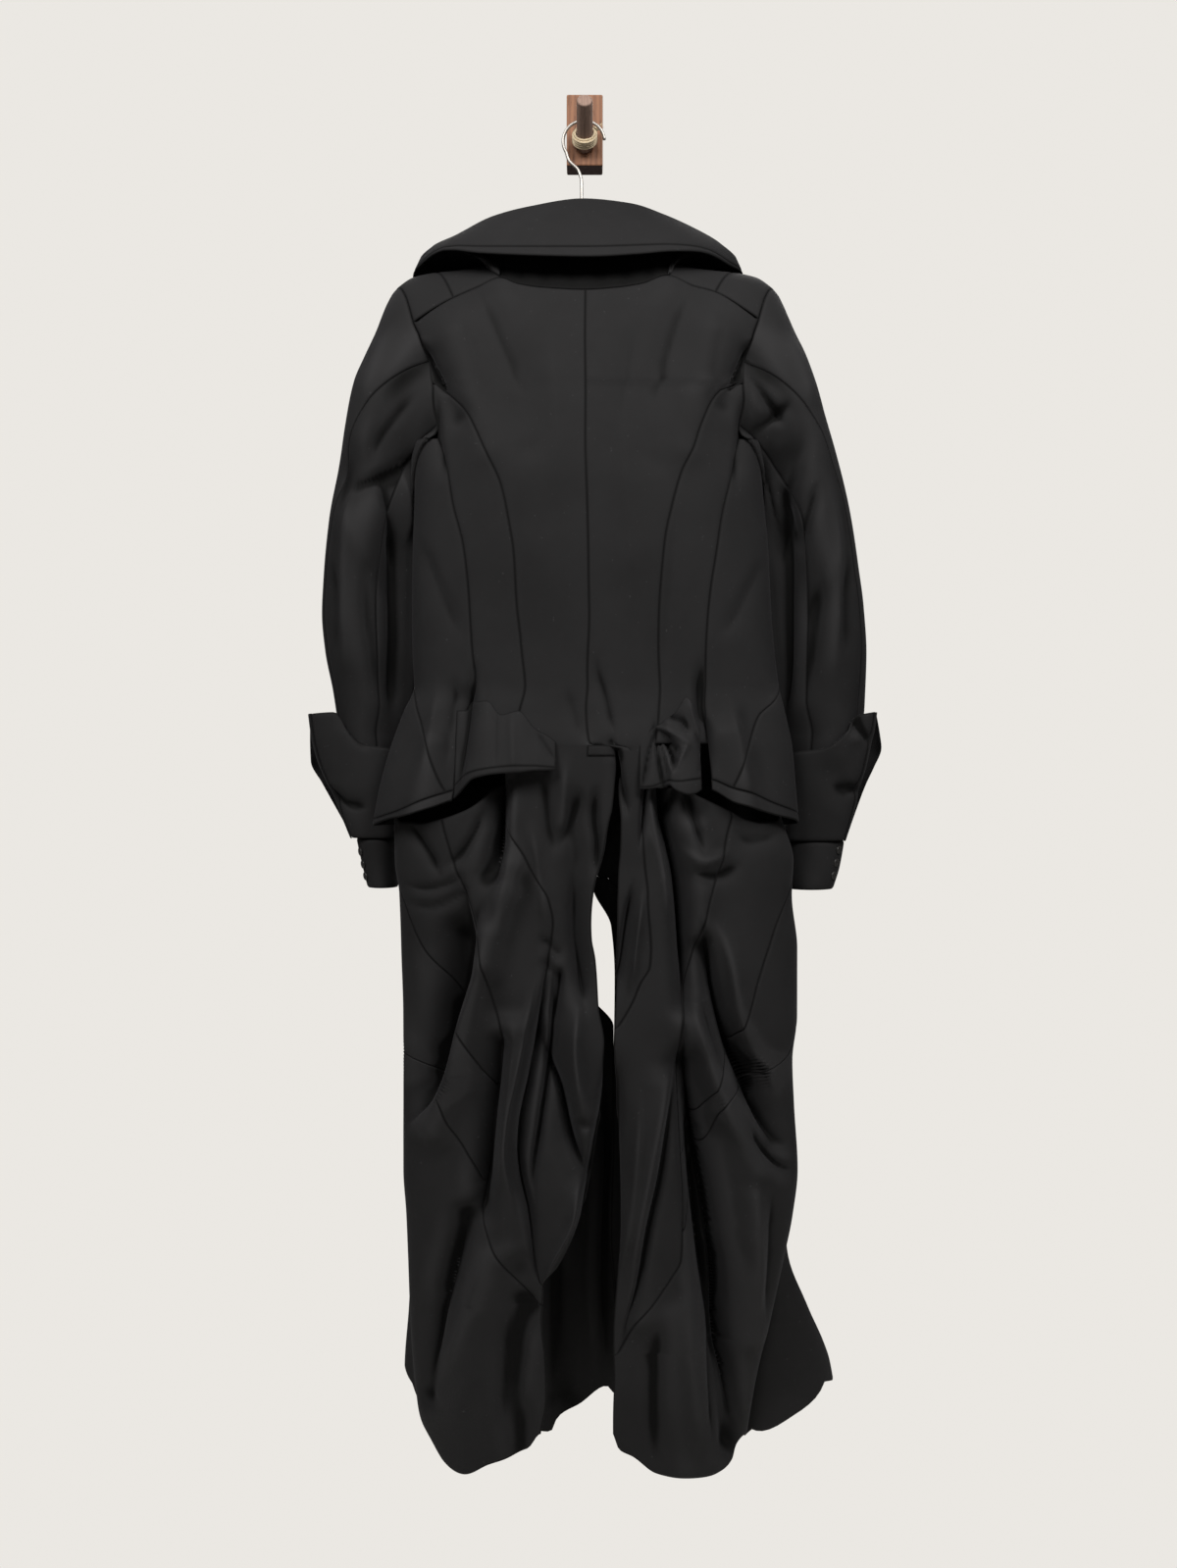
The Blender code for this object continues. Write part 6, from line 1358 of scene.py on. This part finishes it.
def tube_piece(name, parts, slot, node):
    """One mesh of several capped tubes, with UVs round and along each tube."""
    points, faces, uvs, first = [], [], [], 0
    for grid in parts:
        corners, cells = capped(grid)
        points.append(corners)
        faces += [[corner + first for corner in cell] for cell in cells]
        along = arc(grid, 0)[:, :1] + 0 * arc(grid, 0)
        round_it = np.broadcast_to(np.arange(grid.shape[1]) / grid.shape[1], along.shape)
        uvs.append(np.stack([round_it, along], -1).reshape(-1, 2))
        first += len(corners)
    return finish_mesh(name, np.concatenate(points), faces, slot, node, np.concatenate(uvs))


def peg_frame():
    """The peg's base point on the block's face, its direction and two directions across it."""
    along = np.array((0, -math.cos(PEG_RISE), math.sin(PEG_RISE)))
    side = np.array((1.0, 0, 0))
    return np.array((0, -BLOCK_SIZE[1], PEG_HEIGHT)), along, side, np.cross(along, side)


def peg_grid():
    """The peg: a slightly tapered round with a rounded end, its base cut on the block's face."""
    base, along, side, up = peg_frame()
    angle = circle(48)[..., None]
    ring = side * np.cos(angle) + up * np.sin(angle)
    end = PEG_LENGTH - 2 * MM
    reach = np.concatenate([np.linspace(0, end, 24), PEG_LENGTH - 2 * MM * (1 - np.sin(
        np.linspace(0.2, math.pi / 2, 7)))])[:, None, None]
    over = np.clip((reach - end) / (2 * MM), 0, 1)
    radius = PEG_RADIUS * (1 - 0.06 * reach / PEG_LENGTH) - 2 * MM * (1 - np.sqrt(1 - over ** 2))
    radius = radius * (1 + 0.008 * np.sin(3 * angle + 1) + 0.004 * np.sin(7 * angle))
    push = -(ring * radius)[..., 1:2] / along[1] * (1 - reach / PEG_LENGTH) ** 3
    return base + ring * radius + along * (reach + push)


def twine_tubes():
    """Two layers of twine round the peg, its knot and its frayed ends."""
    base, along, side, up = peg_frame()
    coil = PEG_RADIUS + TWINE_RADIUS + SOFT_FIT

    def winding(turn, start, pitch, away, radius):
        angle = 2 * math.pi * turn[:, None]
        way = side * np.cos(angle) + up * np.sin(angle)
        path = base + along * (TWINE_START + start + pitch * turn[:, None]) + way * away
        return strand(path, radius, 7 * MM, way)

    wraps = [winding(np.linspace(0, TWINE_TURNS + 1.2, 60 * TWINE_TURNS), -3 * MM, 2 * TWINE_RADIUS, coil,
                     TWINE_RADIUS),
             winding(np.linspace(0.2, 4.1, 220), -2.4 * MM, 2.75 * MM, coil + 1.7 * TWINE_RADIUS,
                     TWINE_RADIUS * 0.95)]
    seat = base + along * (TWINE_START + 8 * MM)
    seat = seat + (side * math.cos(0.6) + up * math.sin(0.6)) * (coil + 2 * TWINE_RADIUS + 2.6 * MM)
    t = np.linspace(0, 2 * math.pi, 90, endpoint=False)[:, None] + 0.4
    loop = side * (np.sin(t) + 2 * np.sin(2 * t)) + up * (np.cos(t) - 2 * np.cos(2 * t)) - along * np.sin(3 * t)
    knot = [strand(seat + loop * 1.05 * MM, 1.25 * MM, 6 * MM, along)]
    rng = np.random.default_rng(7)
    s = np.linspace(0, 1, 12)[:, None]
    for heading, length in (((0.75, -0.25, 0.62), 11), ((-0.35, -0.55, -0.75), 9)):
        heading = unit(np.array(heading))
        path = seat + heading * length * 0.45 * MM * s + np.array((0, 0, -1.2 * MM)) * s ** 2
        knot.append(strand(path, 1.2 * MM, 6 * MM, up))
        for _ in range(16):
            bend = unit(heading + rng.normal(0, 0.42, 3))
            hair = path[-2] + (heading * (1 - s) + bend * s) * length * rng.uniform(0.25, 0.6) * MM * s
            knot.append(tube(hair, 0.16 * MM * (1 - 0.5 * s), up, 5))
    return wraps, knot


def hanger_tubes():
    """The steel hook, from its tip over the peg down to the bar, and the wooden bar under the shoulders."""
    angle = np.radians(np.linspace(*HOOK_ARC, 60))
    arch = np.stack([HOOK_RADIUS * np.cos(angle) - 1 * MM, np.full(60, HOOK_DEPTH),
                     HOOK_RADIUS * np.sin(angle) + HOOK_LIFT], -1)
    stem = np.array([(-18 * MM, HOOK_DEPTH, HOOK_LIFT - 21 * MM), (-7 * MM, HOOK_DEPTH, HOOK_LIFT - 33 * MM),
                     (-3.5 * MM, HOOK_DEPTH - 1 * MM, HOOK_LIFT - 46 * MM), (-3.2 * MM, HOOK_DEPTH - 6 * MM, -0.100),
                     (-2 * MM, HANGER_DEPTH, bar_height(0) + HANGER_RADIUS + HOOK_WIRE * 0.2)])
    chain = np.concatenate([arch, stem])
    length = arc(chain, 0)
    at = np.linspace(0, length[-1], 150)
    hook = tube(np.stack([smooth(at, length, column) for column in chain.T], -1), HOOK_WIRE, (0, 1.0, 0), 16)
    x = np.linspace(-HANGER_REACH, HANGER_REACH, 90)
    end = np.clip((HANGER_REACH - np.abs(x)) / (4 * MM), 0.05, 1)[:, None]
    path = np.stack([x, np.full(90, HANGER_DEPTH), bar_height(x)], -1)
    return hook, tube(path, HANGER_RADIUS * np.sqrt(1 - (1 - end) ** 2), (0, 1.0, 0), 24)


def bar_height(x):
    """Height of the bar's axis: just under the cloth of the shoulders, level in the neck."""
    return ridge(np.maximum(np.abs(x), 60 * MM)) - CLOTH - SOFT_FIT - HANGER_RADIUS - 1.0 * MM


def button_grid(centre, axis):
    """A four-hole button: a rounded disc with a dished middle and dimples for its holes."""
    r = np.array((0.15, 0.6, 1.1, 1.6, 2.1, 2.6, 2.9, 3.2, 3.7, 4.1, 4.4, 4.5, 4.5, 4.3, 3.9, 2.5, 0.2))
    h = np.array((0.55, 0.55, 0.55, 0.55, 0.55, 0.57, 0.7, 0.95, 1.1, 1.05, 0.85, 0.5, -0.6, -0.9, -1.1, -1.1, -1.1))
    hole = np.exp(-((r[:, None] - 1.5) / 0.45) ** 2) * np.exp(-(np.cos(4 * circle(48)) - 1) ** 2 / 0.12)
    hole = hole * (h[:, None] > 0)
    return turned(np.stack([r, h], -1) * MM, centre, axis, 48) - axis * hole[..., None] * 0.9 * MM


# ---- materials

class Wire:
    """A node's output that takes Python arithmetic; every operation adds its Math node."""

    def __init__(self, shade, socket):
        self.shade, self.socket = shade, socket

    def math(self, operation, *values):
        return self.shade.node("ShaderNodeMath", {"operation": operation}, dict(enumerate((self, *values))))

    def __add__(self, other):
        return self.math("ADD", other)

    def __mul__(self, other):
        return self.math("MULTIPLY", other)

    def __sub__(self, other):
        return self.math("SUBTRACT", other)

    def __rsub__(self, other):
        return self.shade.node("ShaderNodeMath", {"operation": "SUBTRACT"}, {0: other, 1: self})

    def __neg__(self):
        return self * -1

    __radd__, __rmul__ = __add__, __mul__

    def fade(self, low, high):
        """0 below low, 1 above high, and level at both."""
        return self.shade.node("ShaderNodeMapRange", {"interpolation_type": "SMOOTHSTEP"},
                               {"Value": self, "From Min": low, "From Max": high})


class Shade:
    """A material with one Principled shader; node() adds any node and returns its output."""

    def __init__(self, name, **constants):
        self.material = bpy.data.materials.new(name)
        self.material.use_nodes = True
        self.tree = self.material.node_tree
        self.tree.nodes.clear()
        self.shader = self.tree.nodes.new("ShaderNodeBsdfPrincipled")
        output = self.tree.nodes.new("ShaderNodeOutputMaterial")
        self.tree.links.new(self.shader.outputs[0], output.inputs[0])
        self.set(self.shader, {key.replace("_", " "): value for key, value in constants.items()})

    def set(self, node, inputs):
        for key, value in inputs.items():
            if isinstance(value, Wire):
                self.tree.links.new(value.socket, node.inputs[key])
            else:
                node.inputs[key].default_value = value

    def node(self, kind, settings=None, inputs=None, output=0):
        made = self.tree.nodes.new(kind)
        for key, value in (settings or {}).items():
            setattr(made, key, value)
        self.set(made, inputs or {})
        return Wire(self, made.outputs[output])

    def mix(self, share, first, second):
        """first where share is 0, second where it is 1."""
        return self.node("ShaderNodeMix", {"data_type": "RGBA"}, {0: share, 6: first, 7: second}, 2)

    def place(self, scale=(1, 1, 1), source="Object"):
        """Object coordinates, or the piece's own cut for source UV, scaled."""
        where = self.node("ShaderNodeTexCoord", output=source)
        return self.node("ShaderNodeMapping", None, {"Vector": where, "Scale": scale})

    def noise(self, where, scale, detail=3.0, rough=0.5):
        return self.node("ShaderNodeTexNoise", None,
                         {"Vector": where, "Scale": scale, "Detail": detail, "Roughness": rough})

    def use(self, colour, roughness, height, depth):
        """Feeds colour, roughness and a bump of the given depth in metres to the shader."""
        normal = self.node("ShaderNodeBump", None, {"Strength": 1.0, "Distance": depth, "Height": height})
        self.set(self.shader, {"Base Color": colour, "Roughness": roughness, "Normal": normal})
        return self.material


def scaled(colour, share):
    return (*(c * share for c in colour[:3]), 1.0)


def wool():
    """Near-black wool gabardine: a fine diagonal twill, faint blotches and lint, with painted shade in its hollows
    and as a darker line along each seam, and a painted highlight on its ridges.
    """
    look = bpy.context.scene.coat
    shade = Shade("wool", Specular_IOR_Level=0.12, Sheen_Weight=look.sheen, Sheen_Roughness=0.42,
                  Sheen_Tint=(0.80, 0.80, 0.86, 1.0))
    cut = shade.node("ShaderNodeSeparateXYZ", None, {0: shade.place(source="UV")})
    across = cut
    down = Wire(shade, cut.socket.node.outputs[1])
    pitch = 2 * math.pi / look.twill_pitch
    twill = ((across * 0.55 + down) * pitch).math("SINE")
    thread = ((down * 0.3 - across) * (pitch * 1.7)).math("SINE")
    spot = shade.place()
    blotch = shade.noise(spot, 9.0, 4.0, 0.6)
    fine = shade.noise(spot, 900.0, 2.0, 0.7)
    lint = shade.noise(spot, 260.0, 1.0).fade(0.74, 0.80)
    edge = shade.node("ShaderNodeAttribute", {"attribute_name": "edge"}, output=2)
    seam = 1 - edge.fade(0.0003, 0.0024)
    # The hollow attribute: depth below the neighbours, plus the extra painted shade of the sheets in the coat's own
    # shade
    hollow = shade.node("ShaderNodeAttribute", {"attribute_name": "hollow"}, output=2)
    colour = shade.mix(blotch.fade(0.3, 0.7), scaled(look.cloth, 0.88), scaled(look.cloth, 1.14))
    colour = shade.mix(lint * 0.35, colour, scaled(look.cloth, 4.0))
    # Painted shade: the wool darkens in its hollows and on the sheets that lie in the coat's own shade
    colour = shade.mix(hollow.fade(0.0001, 0.003) * 0.95, colour, scaled(look.cloth, 0.05))
    # Painted highlight: the wool lightens on its ridges
    colour = shade.mix((-hollow).fade(0.0003, 0.004) * 0.7, colour, scaled(look.cloth, 1.9))
    # Painted shade: a darker line along each seam, for the shade in its groove
    colour = shade.mix(seam * 0.85, colour, scaled(look.cloth, 0.15))
    roughness = 0.66 + blotch * 0.10 - twill * 0.02
    return shade.use(colour, roughness, twill * 0.5 + thread * 0.25 + fine * 0.6, 0.00006)


def wood(name, light, dark, grain, stretch, roughness=0.55, under=0.0):
    """Sawn wood: fine grain stretched along one axis, broad bands and short dark pores.

    under is how far the faces that face down turn to a flat grey.
    """
    shade = Shade(name, Specular_IOR_Level=0.4)
    where = shade.place(stretch)
    bands = shade.noise(where, grain, 5.0, 0.62)
    lines = shade.node("ShaderNodeTexWave", {"wave_type": "BANDS", "bands_direction": "X"},
                       {"Vector": where, "Scale": grain * 0.9, "Distortion": 7.0})
    pores = shade.noise(where, grain * 7, 2.0, 0.5).fade(0.60, 0.72)
    colour = shade.mix(bands * 0.65 + lines * 0.35, dark, light)
    colour = shade.mix(pores * 0.5, colour, scaled(dark, 0.45))
    faces = shade.node("ShaderNodeSeparateXYZ", None, {0: shade.node("ShaderNodeNewGeometry", output="Normal")}, 2)
    # Faces that face down turn to a flat grey by under
    colour = shade.mix((-faces).fade(0.8, 0.95) * under, colour, (0.135, 0.10, 0.10, 1))
    return shade.use(colour, roughness + bands * 0.15, bands * 0.6 + lines * 0.2 - pores * 0.6, 0.0004)


def steel():
    """Bright drawn wire with faint marks along it, duller where it has been handled."""
    shade = Shade("steel", Metallic=1.0)
    marks = shade.noise(shade.place(), 420.0, 3.0, 0.6)
    dull = shade.noise(shade.place((1, 1, 6), "UV"), 40.0, 2.0)
    colour = shade.mix(dull.fade(0.35, 0.75), (0.52, 0.50, 0.47, 1), (0.34, 0.32, 0.30, 1))
    return shade.use(colour, 0.38 + dull * 0.2, marks, 0.00004)


def twine():
    """Tan jute: light and dark fibres lying along the strands."""
    look = bpy.context.scene.coat
    shade = Shade("twine", Sheen_Weight=0.25, Specular_IOR_Level=0.2)
    fibres = shade.noise(shade.place((6, 260, 1), "UV"), 3.0, 4.0, 0.7)
    patches = shade.noise(shade.place(), 300.0, 3.0)
    colour = shade.mix(fibres.fade(0.3, 0.7), scaled(look.twine, 0.55), scaled(look.twine, 1.25))
    colour = shade.mix(patches.fade(0.55, 0.8) * 0.5, colour, scaled(look.twine, 0.4))
    return shade.use(colour, 0.85 + fibres * 0.1, fibres, 0.0004)


def horn():
    """Black horn buttons: a soft polish with faint darker and lighter streaks."""
    shade = Shade("button", Specular_IOR_Level=0.5, Coat_Weight=0.15, Coat_Roughness=0.2)
    streaks = shade.noise(shade.place((1, 1, 5)), 350.0, 3.0)
    colour = shade.mix(streaks.fade(0.35, 0.7), (0.012, 0.012, 0.013, 1), (0.03, 0.028, 0.027, 1))
    return shade.use(colour, 0.28 + streaks * 0.15, streaks, 0.00003)


FINISHES = {
    "wool": wool,
    "steel": steel,
    "twine": twine,
    "button": horn,
    "block_wood": lambda: wood("block_wood", (0.36, 0.165, 0.085, 1), (0.13, 0.055, 0.03, 1), 60, (1, 1, 0.12),
                               under=0.9),
    "peg_wood": lambda: wood("peg_wood", (0.36, 0.24, 0.19, 1), (0.2, 0.13, 0.105, 1), 90, (1, 0.15, 0.3)),
    "hanger_wood": lambda: wood("hanger_wood", (0.5, 0.31, 0.16, 1), (0.28, 0.15, 0.07, 1), 70, (0.1, 1, 1), 0.4),
}


def finish(slot):
    """The scene's one material for a slot, made when it is first asked for."""
    found = bpy.data.materials.get(f"{slot}_finish")
    if not found:
        found = FINISHES[slot]()
        found.name = f"{slot}_finish"
    return found


# ---- the add-on

class CoatLook(bpy.types.PropertyGroup):
    """Colours and sizes of the finishes that a user would change."""

    cloth: bpy.props.FloatVectorProperty(
        name="Cloth", description="Colour of the wool", subtype="COLOR", size=4, min=0, max=1,
        default=(0.0150, 0.0148, 0.0156, 1.0))
    sheen: bpy.props.FloatProperty(
        name="Sheen", description="Strength of the wool's nap at grazing angles", default=0.05, min=0, max=1)
    twill_pitch: bpy.props.FloatProperty(
        name="Twill pitch", description="Distance between two ribs of the twill", default=0.0011, unit="LENGTH")
    twine: bpy.props.FloatVectorProperty(
        name="Twine", description="Colour of the jute twine", subtype="COLOR", size=4, min=0, max=1,
        default=(0.85, 0.70, 0.48, 1.0))


class StageLook(bpy.types.PropertyGroup):
    """The floor, the light and where the camera stands."""

    wall: bpy.props.FloatVectorProperty(
        name="Surroundings", description="Colour of the plain light round the coat", subtype="COLOR", size=3,
        default=(0.83, 0.806, 0.767))
    key: bpy.props.FloatProperty(
        name="Key light", description="Power of the large soft light", default=82.0, unit="POWER")
    ambient: bpy.props.FloatProperty(
        name="Ambient", description="Share of the surroundings' brightness that lights the coat", default=0.10)
    distance: bpy.props.FloatProperty(
        name="Camera distance", description="From the wall plane", default=1.6, unit="LENGTH")
    height: bpy.props.FloatProperty(
        name="Camera height", description="Below the block's centre", default=-0.743, unit="LENGTH")
    floor: bpy.props.FloatProperty(
        name="Floor height", description="Of the pale floor under the coat", default=-1.85, unit="LENGTH")


BODIES = {}     # the body's grids by half, made by the torso operator and read by the ones after it


class COAT_OT_torso(bpy.types.Operator):
    """Panels, yokes and hem bands of the fitted body, with the bar tack over the vent"""
    bl_idname = "coat.torso"
    bl_label = "Torso"

    def execute(self, context):
        for tag, sign in SIGN.items():
            BODIES[tag] = torso_grids(tag)
            yokes = yoke_grids(tag)
            for name, (points, _) in BODIES[tag].items():
                cloth(f"{name}_{tag}", points, 1, f"{HANGS_FROM[name]}_{tag}",
                      roll=0.2 * MM if name == "hem_band" else SEAM_ROLL)
            for name, (points, _) in yokes.items():
                cloth(f"{name}_{tag}", points, -sign, "hanger_bar")
            BODIES[tag].update(yokes)
        cloth("bar_tack", tack_grid(), 1, "back_center_l", thickness=1.2 * MM, roll=0.4 * MM)
        return {"FINISHED"}


class COAT_OT_skirt(bpy.types.Operator):
    """The spiral gores of the two tails"""
    bl_idname = "coat.skirt"
    bl_label = "Skirt"

    def execute(self, context):
        for tag in "lr":
            for name, (points, _) in skirt_grids(tag).items():
                cloth(f"{name}_{tag}", points, 1, f"back_center_{tag}")
        return {"FINISHED"}


class COAT_OT_sleeves(bpy.types.Operator):
    """Three panels of each sleeve, set into the armhole's own edge"""
    bl_idname = "coat.sleeves"
    bl_label = "Sleeves"

    def execute(self, context):
        for tag, sign in SIGN.items():
            for name, points in sleeve_grids(tag, armhole_loop(tag, BODIES[tag])).items():
                cloth(f"{name}_{tag}", points, -sign, f"yoke_tip_{tag}")
        return {"FINISHED"}


class COAT_OT_cuffs(bpy.types.Operator):
    """Flared cuffs with their edge bands, the narrow cuffs and their buttons"""
    bl_idname = "coat.cuffs"
    bl_label = "Cuffs"

    def execute(self, context):
        for tag, sign in SIGN.items():
            wide, band, narrow = cuff_grids(tag)
            cloth(f"cuff_wing_{tag}", wide, -sign, f"sleeve_top_{tag}")
            cloth(f"cuff_edge_{tag}", band, -sign, f"cuff_wing_{tag}", thickness=1 * MM, roll=0.3 * MM)
            cloth(f"cuff_{tag}", narrow, -sign, f"cuff_wing_{tag}", closed=True)
            for node, seat, facing in button_seats(tag):
                grid = button_grid(seat + facing * (BUTTON_THICK / 2 + 1.5 * SOFT_FIT), facing)
                finish_mesh(f"{node}_turned", *capped(grid, 1), "button", node)
        return {"FINISHED"}


class COAT_OT_collar(bpy.types.Operator):
    """Stand, fall and edge band of the collar"""
    bl_idname = "coat.collar"
    bl_label = "Collar"

    def execute(self, context):
        stand, fall, band = collar_grids(BODIES)
        cloth("collar_stand", stand, -1, "yoke_neck_l")
        cloth("collar_fall", fall, 1, "collar_stand")
        cloth("collar_band", band, 1, "collar_fall", roll=0.6 * MM)
        return {"FINISHED"}


class COAT_OT_flaps(bpy.types.Operator):
    """Flaps of the peplum folded over the centre backs, with their hem bands"""
    bl_idname = "coat.flaps"
    bl_label = "Flaps"

    def execute(self, context):
        for tag in SIGN:
            for name, points in zip(("flap", "flap_band"), flap_grids(tag)):
                cloth(f"{name}_{tag}", points, 1, f"back_side_{tag}", roll=0.5 * MM)
        return {"FINISHED"}


class COAT_OT_holder(bpy.types.Operator):
    """Wall block, peg, twine, hook and hanger bar"""
    bl_idname = "coat.holder"
    bl_label = "Peg and hanger"

    def execute(self, context):
        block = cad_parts["wall_block"]
        block.material_slots[0].material = finish("block_wood")
        tube_piece("peg_turned", [peg_grid()], "peg_wood", "peg")
        wraps, knot = twine_tubes()
        tube_piece("twine_rope", wraps, "twine", "twine_wraps")
        tube_piece("twine_tied", knot, "twine", "twine_knot")
        hook, bar = hanger_tubes()
        tube_piece("hook_wire", [hook], "steel", "hanger_hook")
        tube_piece("bar_turned", [bar], "hanger_wood", "hanger_bar")
        return {"FINISHED"}


class COAT_OT_stage(bpy.types.Operator):
    """Pale floor, soft light and the camera, level with the middle of the coat"""
    bl_idname = "coat.stage"
    bl_label = "Stage"

    def execute(self, context):
        scene, look = context.scene, context.scene.stage_look
        mesh = bpy.data.meshes.new("floor")
        corners = [(x, y, look.floor) for x, y in ((-1.6, -2.6), (1.6, -2.6), (1.6, 0.3), (-1.6, 0.3))]
        mesh.from_pydata(corners, [], [(0, 1, 2, 3)])
        shade = Shade("floor")
        tone = shade.noise(shade.place(), 3.0)
        colour = shade.mix(tone, (0.70, 0.69, 0.66, 1), (0.76, 0.75, 0.72, 1))
        mesh.materials.append(shade.use(colour, 0.7, tone, 0.0002))
        put(mesh)

        scene.world = bpy.data.worlds.new("surroundings")
        scene.world.use_nodes = True
        tree = scene.world.node_tree
        background = tree.nodes["Background"]
        background.inputs["Color"].default_value = (*look.wall, 1.0)
        seen = tree.nodes.new("ShaderNodeMapRange")
        seen.inputs["To Min"].default_value = look.ambient
        tree.links.new(tree.nodes.new("ShaderNodeLightPath").outputs["Is Camera Ray"], seen.inputs["Value"])
        tree.links.new(seen.outputs[0], background.inputs["Strength"])
        for name, size, share, place in (("key_left", 1.0, 0.5, (-0.95, -1.6, 1.0)),
                                         ("key_right", 1.0, 0.5, (0.95, -1.6, 1.0)),
                                         ("behind", 1.6, 0.45, (0.2, 1.7, 1.1))):
            light = bpy.data.lights.new(name, "AREA")
            light.energy, light.size, light.color = look.key * share, size, (1.0, 0.98, 0.95)
            lamp = put(light)
            lamp.location, lamp.visible_camera = place, False
            lamp.rotation_mode = "QUATERNION"
            lamp.rotation_quaternion = (Vector((0, -0.1, -0.7)) - Vector(place)).to_track_quat("-Z", "Y")

        lens = bpy.data.cameras.new("camera")
        lens.sensor_fit, lens.sensor_height, lens.lens = "VERTICAL", 36.0, FOCAL
        scene.camera = put(lens)
        scene.camera.location = (0.0043, -look.distance, look.height)
        scene.camera.rotation_euler = (math.pi / 2, 0, 0)
        scene.view_settings.view_transform = "Standard"
        return {"FINISHED"}


OPERATORS = (COAT_OT_torso, COAT_OT_skirt, COAT_OT_sleeves, COAT_OT_cuffs, COAT_OT_collar, COAT_OT_flaps,
             COAT_OT_holder, COAT_OT_stage)


class COAT_PT_panel(bpy.types.Panel):
    """The coat's sizes, colours and pieces"""
    bl_idname = "COAT_PT_panel"
    bl_label = "Wool coat"
    bl_space_type = "VIEW_3D"
    bl_region_type = "UI"
    bl_category = "Coat"

    def draw(self, context):
        for group in (context.scene.coat, context.scene.stage_look):
            for name in group.__annotations__:
                self.layout.prop(group, name)
        for operator in OPERATORS:
            self.layout.operator(operator.bl_idname)


CLASSES = (CoatLook, StageLook, *OPERATORS, COAT_PT_panel)


def register():
    for made in CLASSES:
        bpy.utils.register_class(made)
    bpy.types.Scene.coat = bpy.props.PointerProperty(type=CoatLook)
    bpy.types.Scene.stage_look = bpy.props.PointerProperty(type=StageLook)


def unregister():
    del bpy.types.Scene.coat, bpy.types.Scene.stage_look
    for made in reversed(CLASSES):
        bpy.utils.unregister_class(made)


def main():
    register()
    for operator in OPERATORS:
        getattr(bpy.ops.coat, operator.bl_idname.split(".")[1])()


if __name__ == "__main__":
    main()
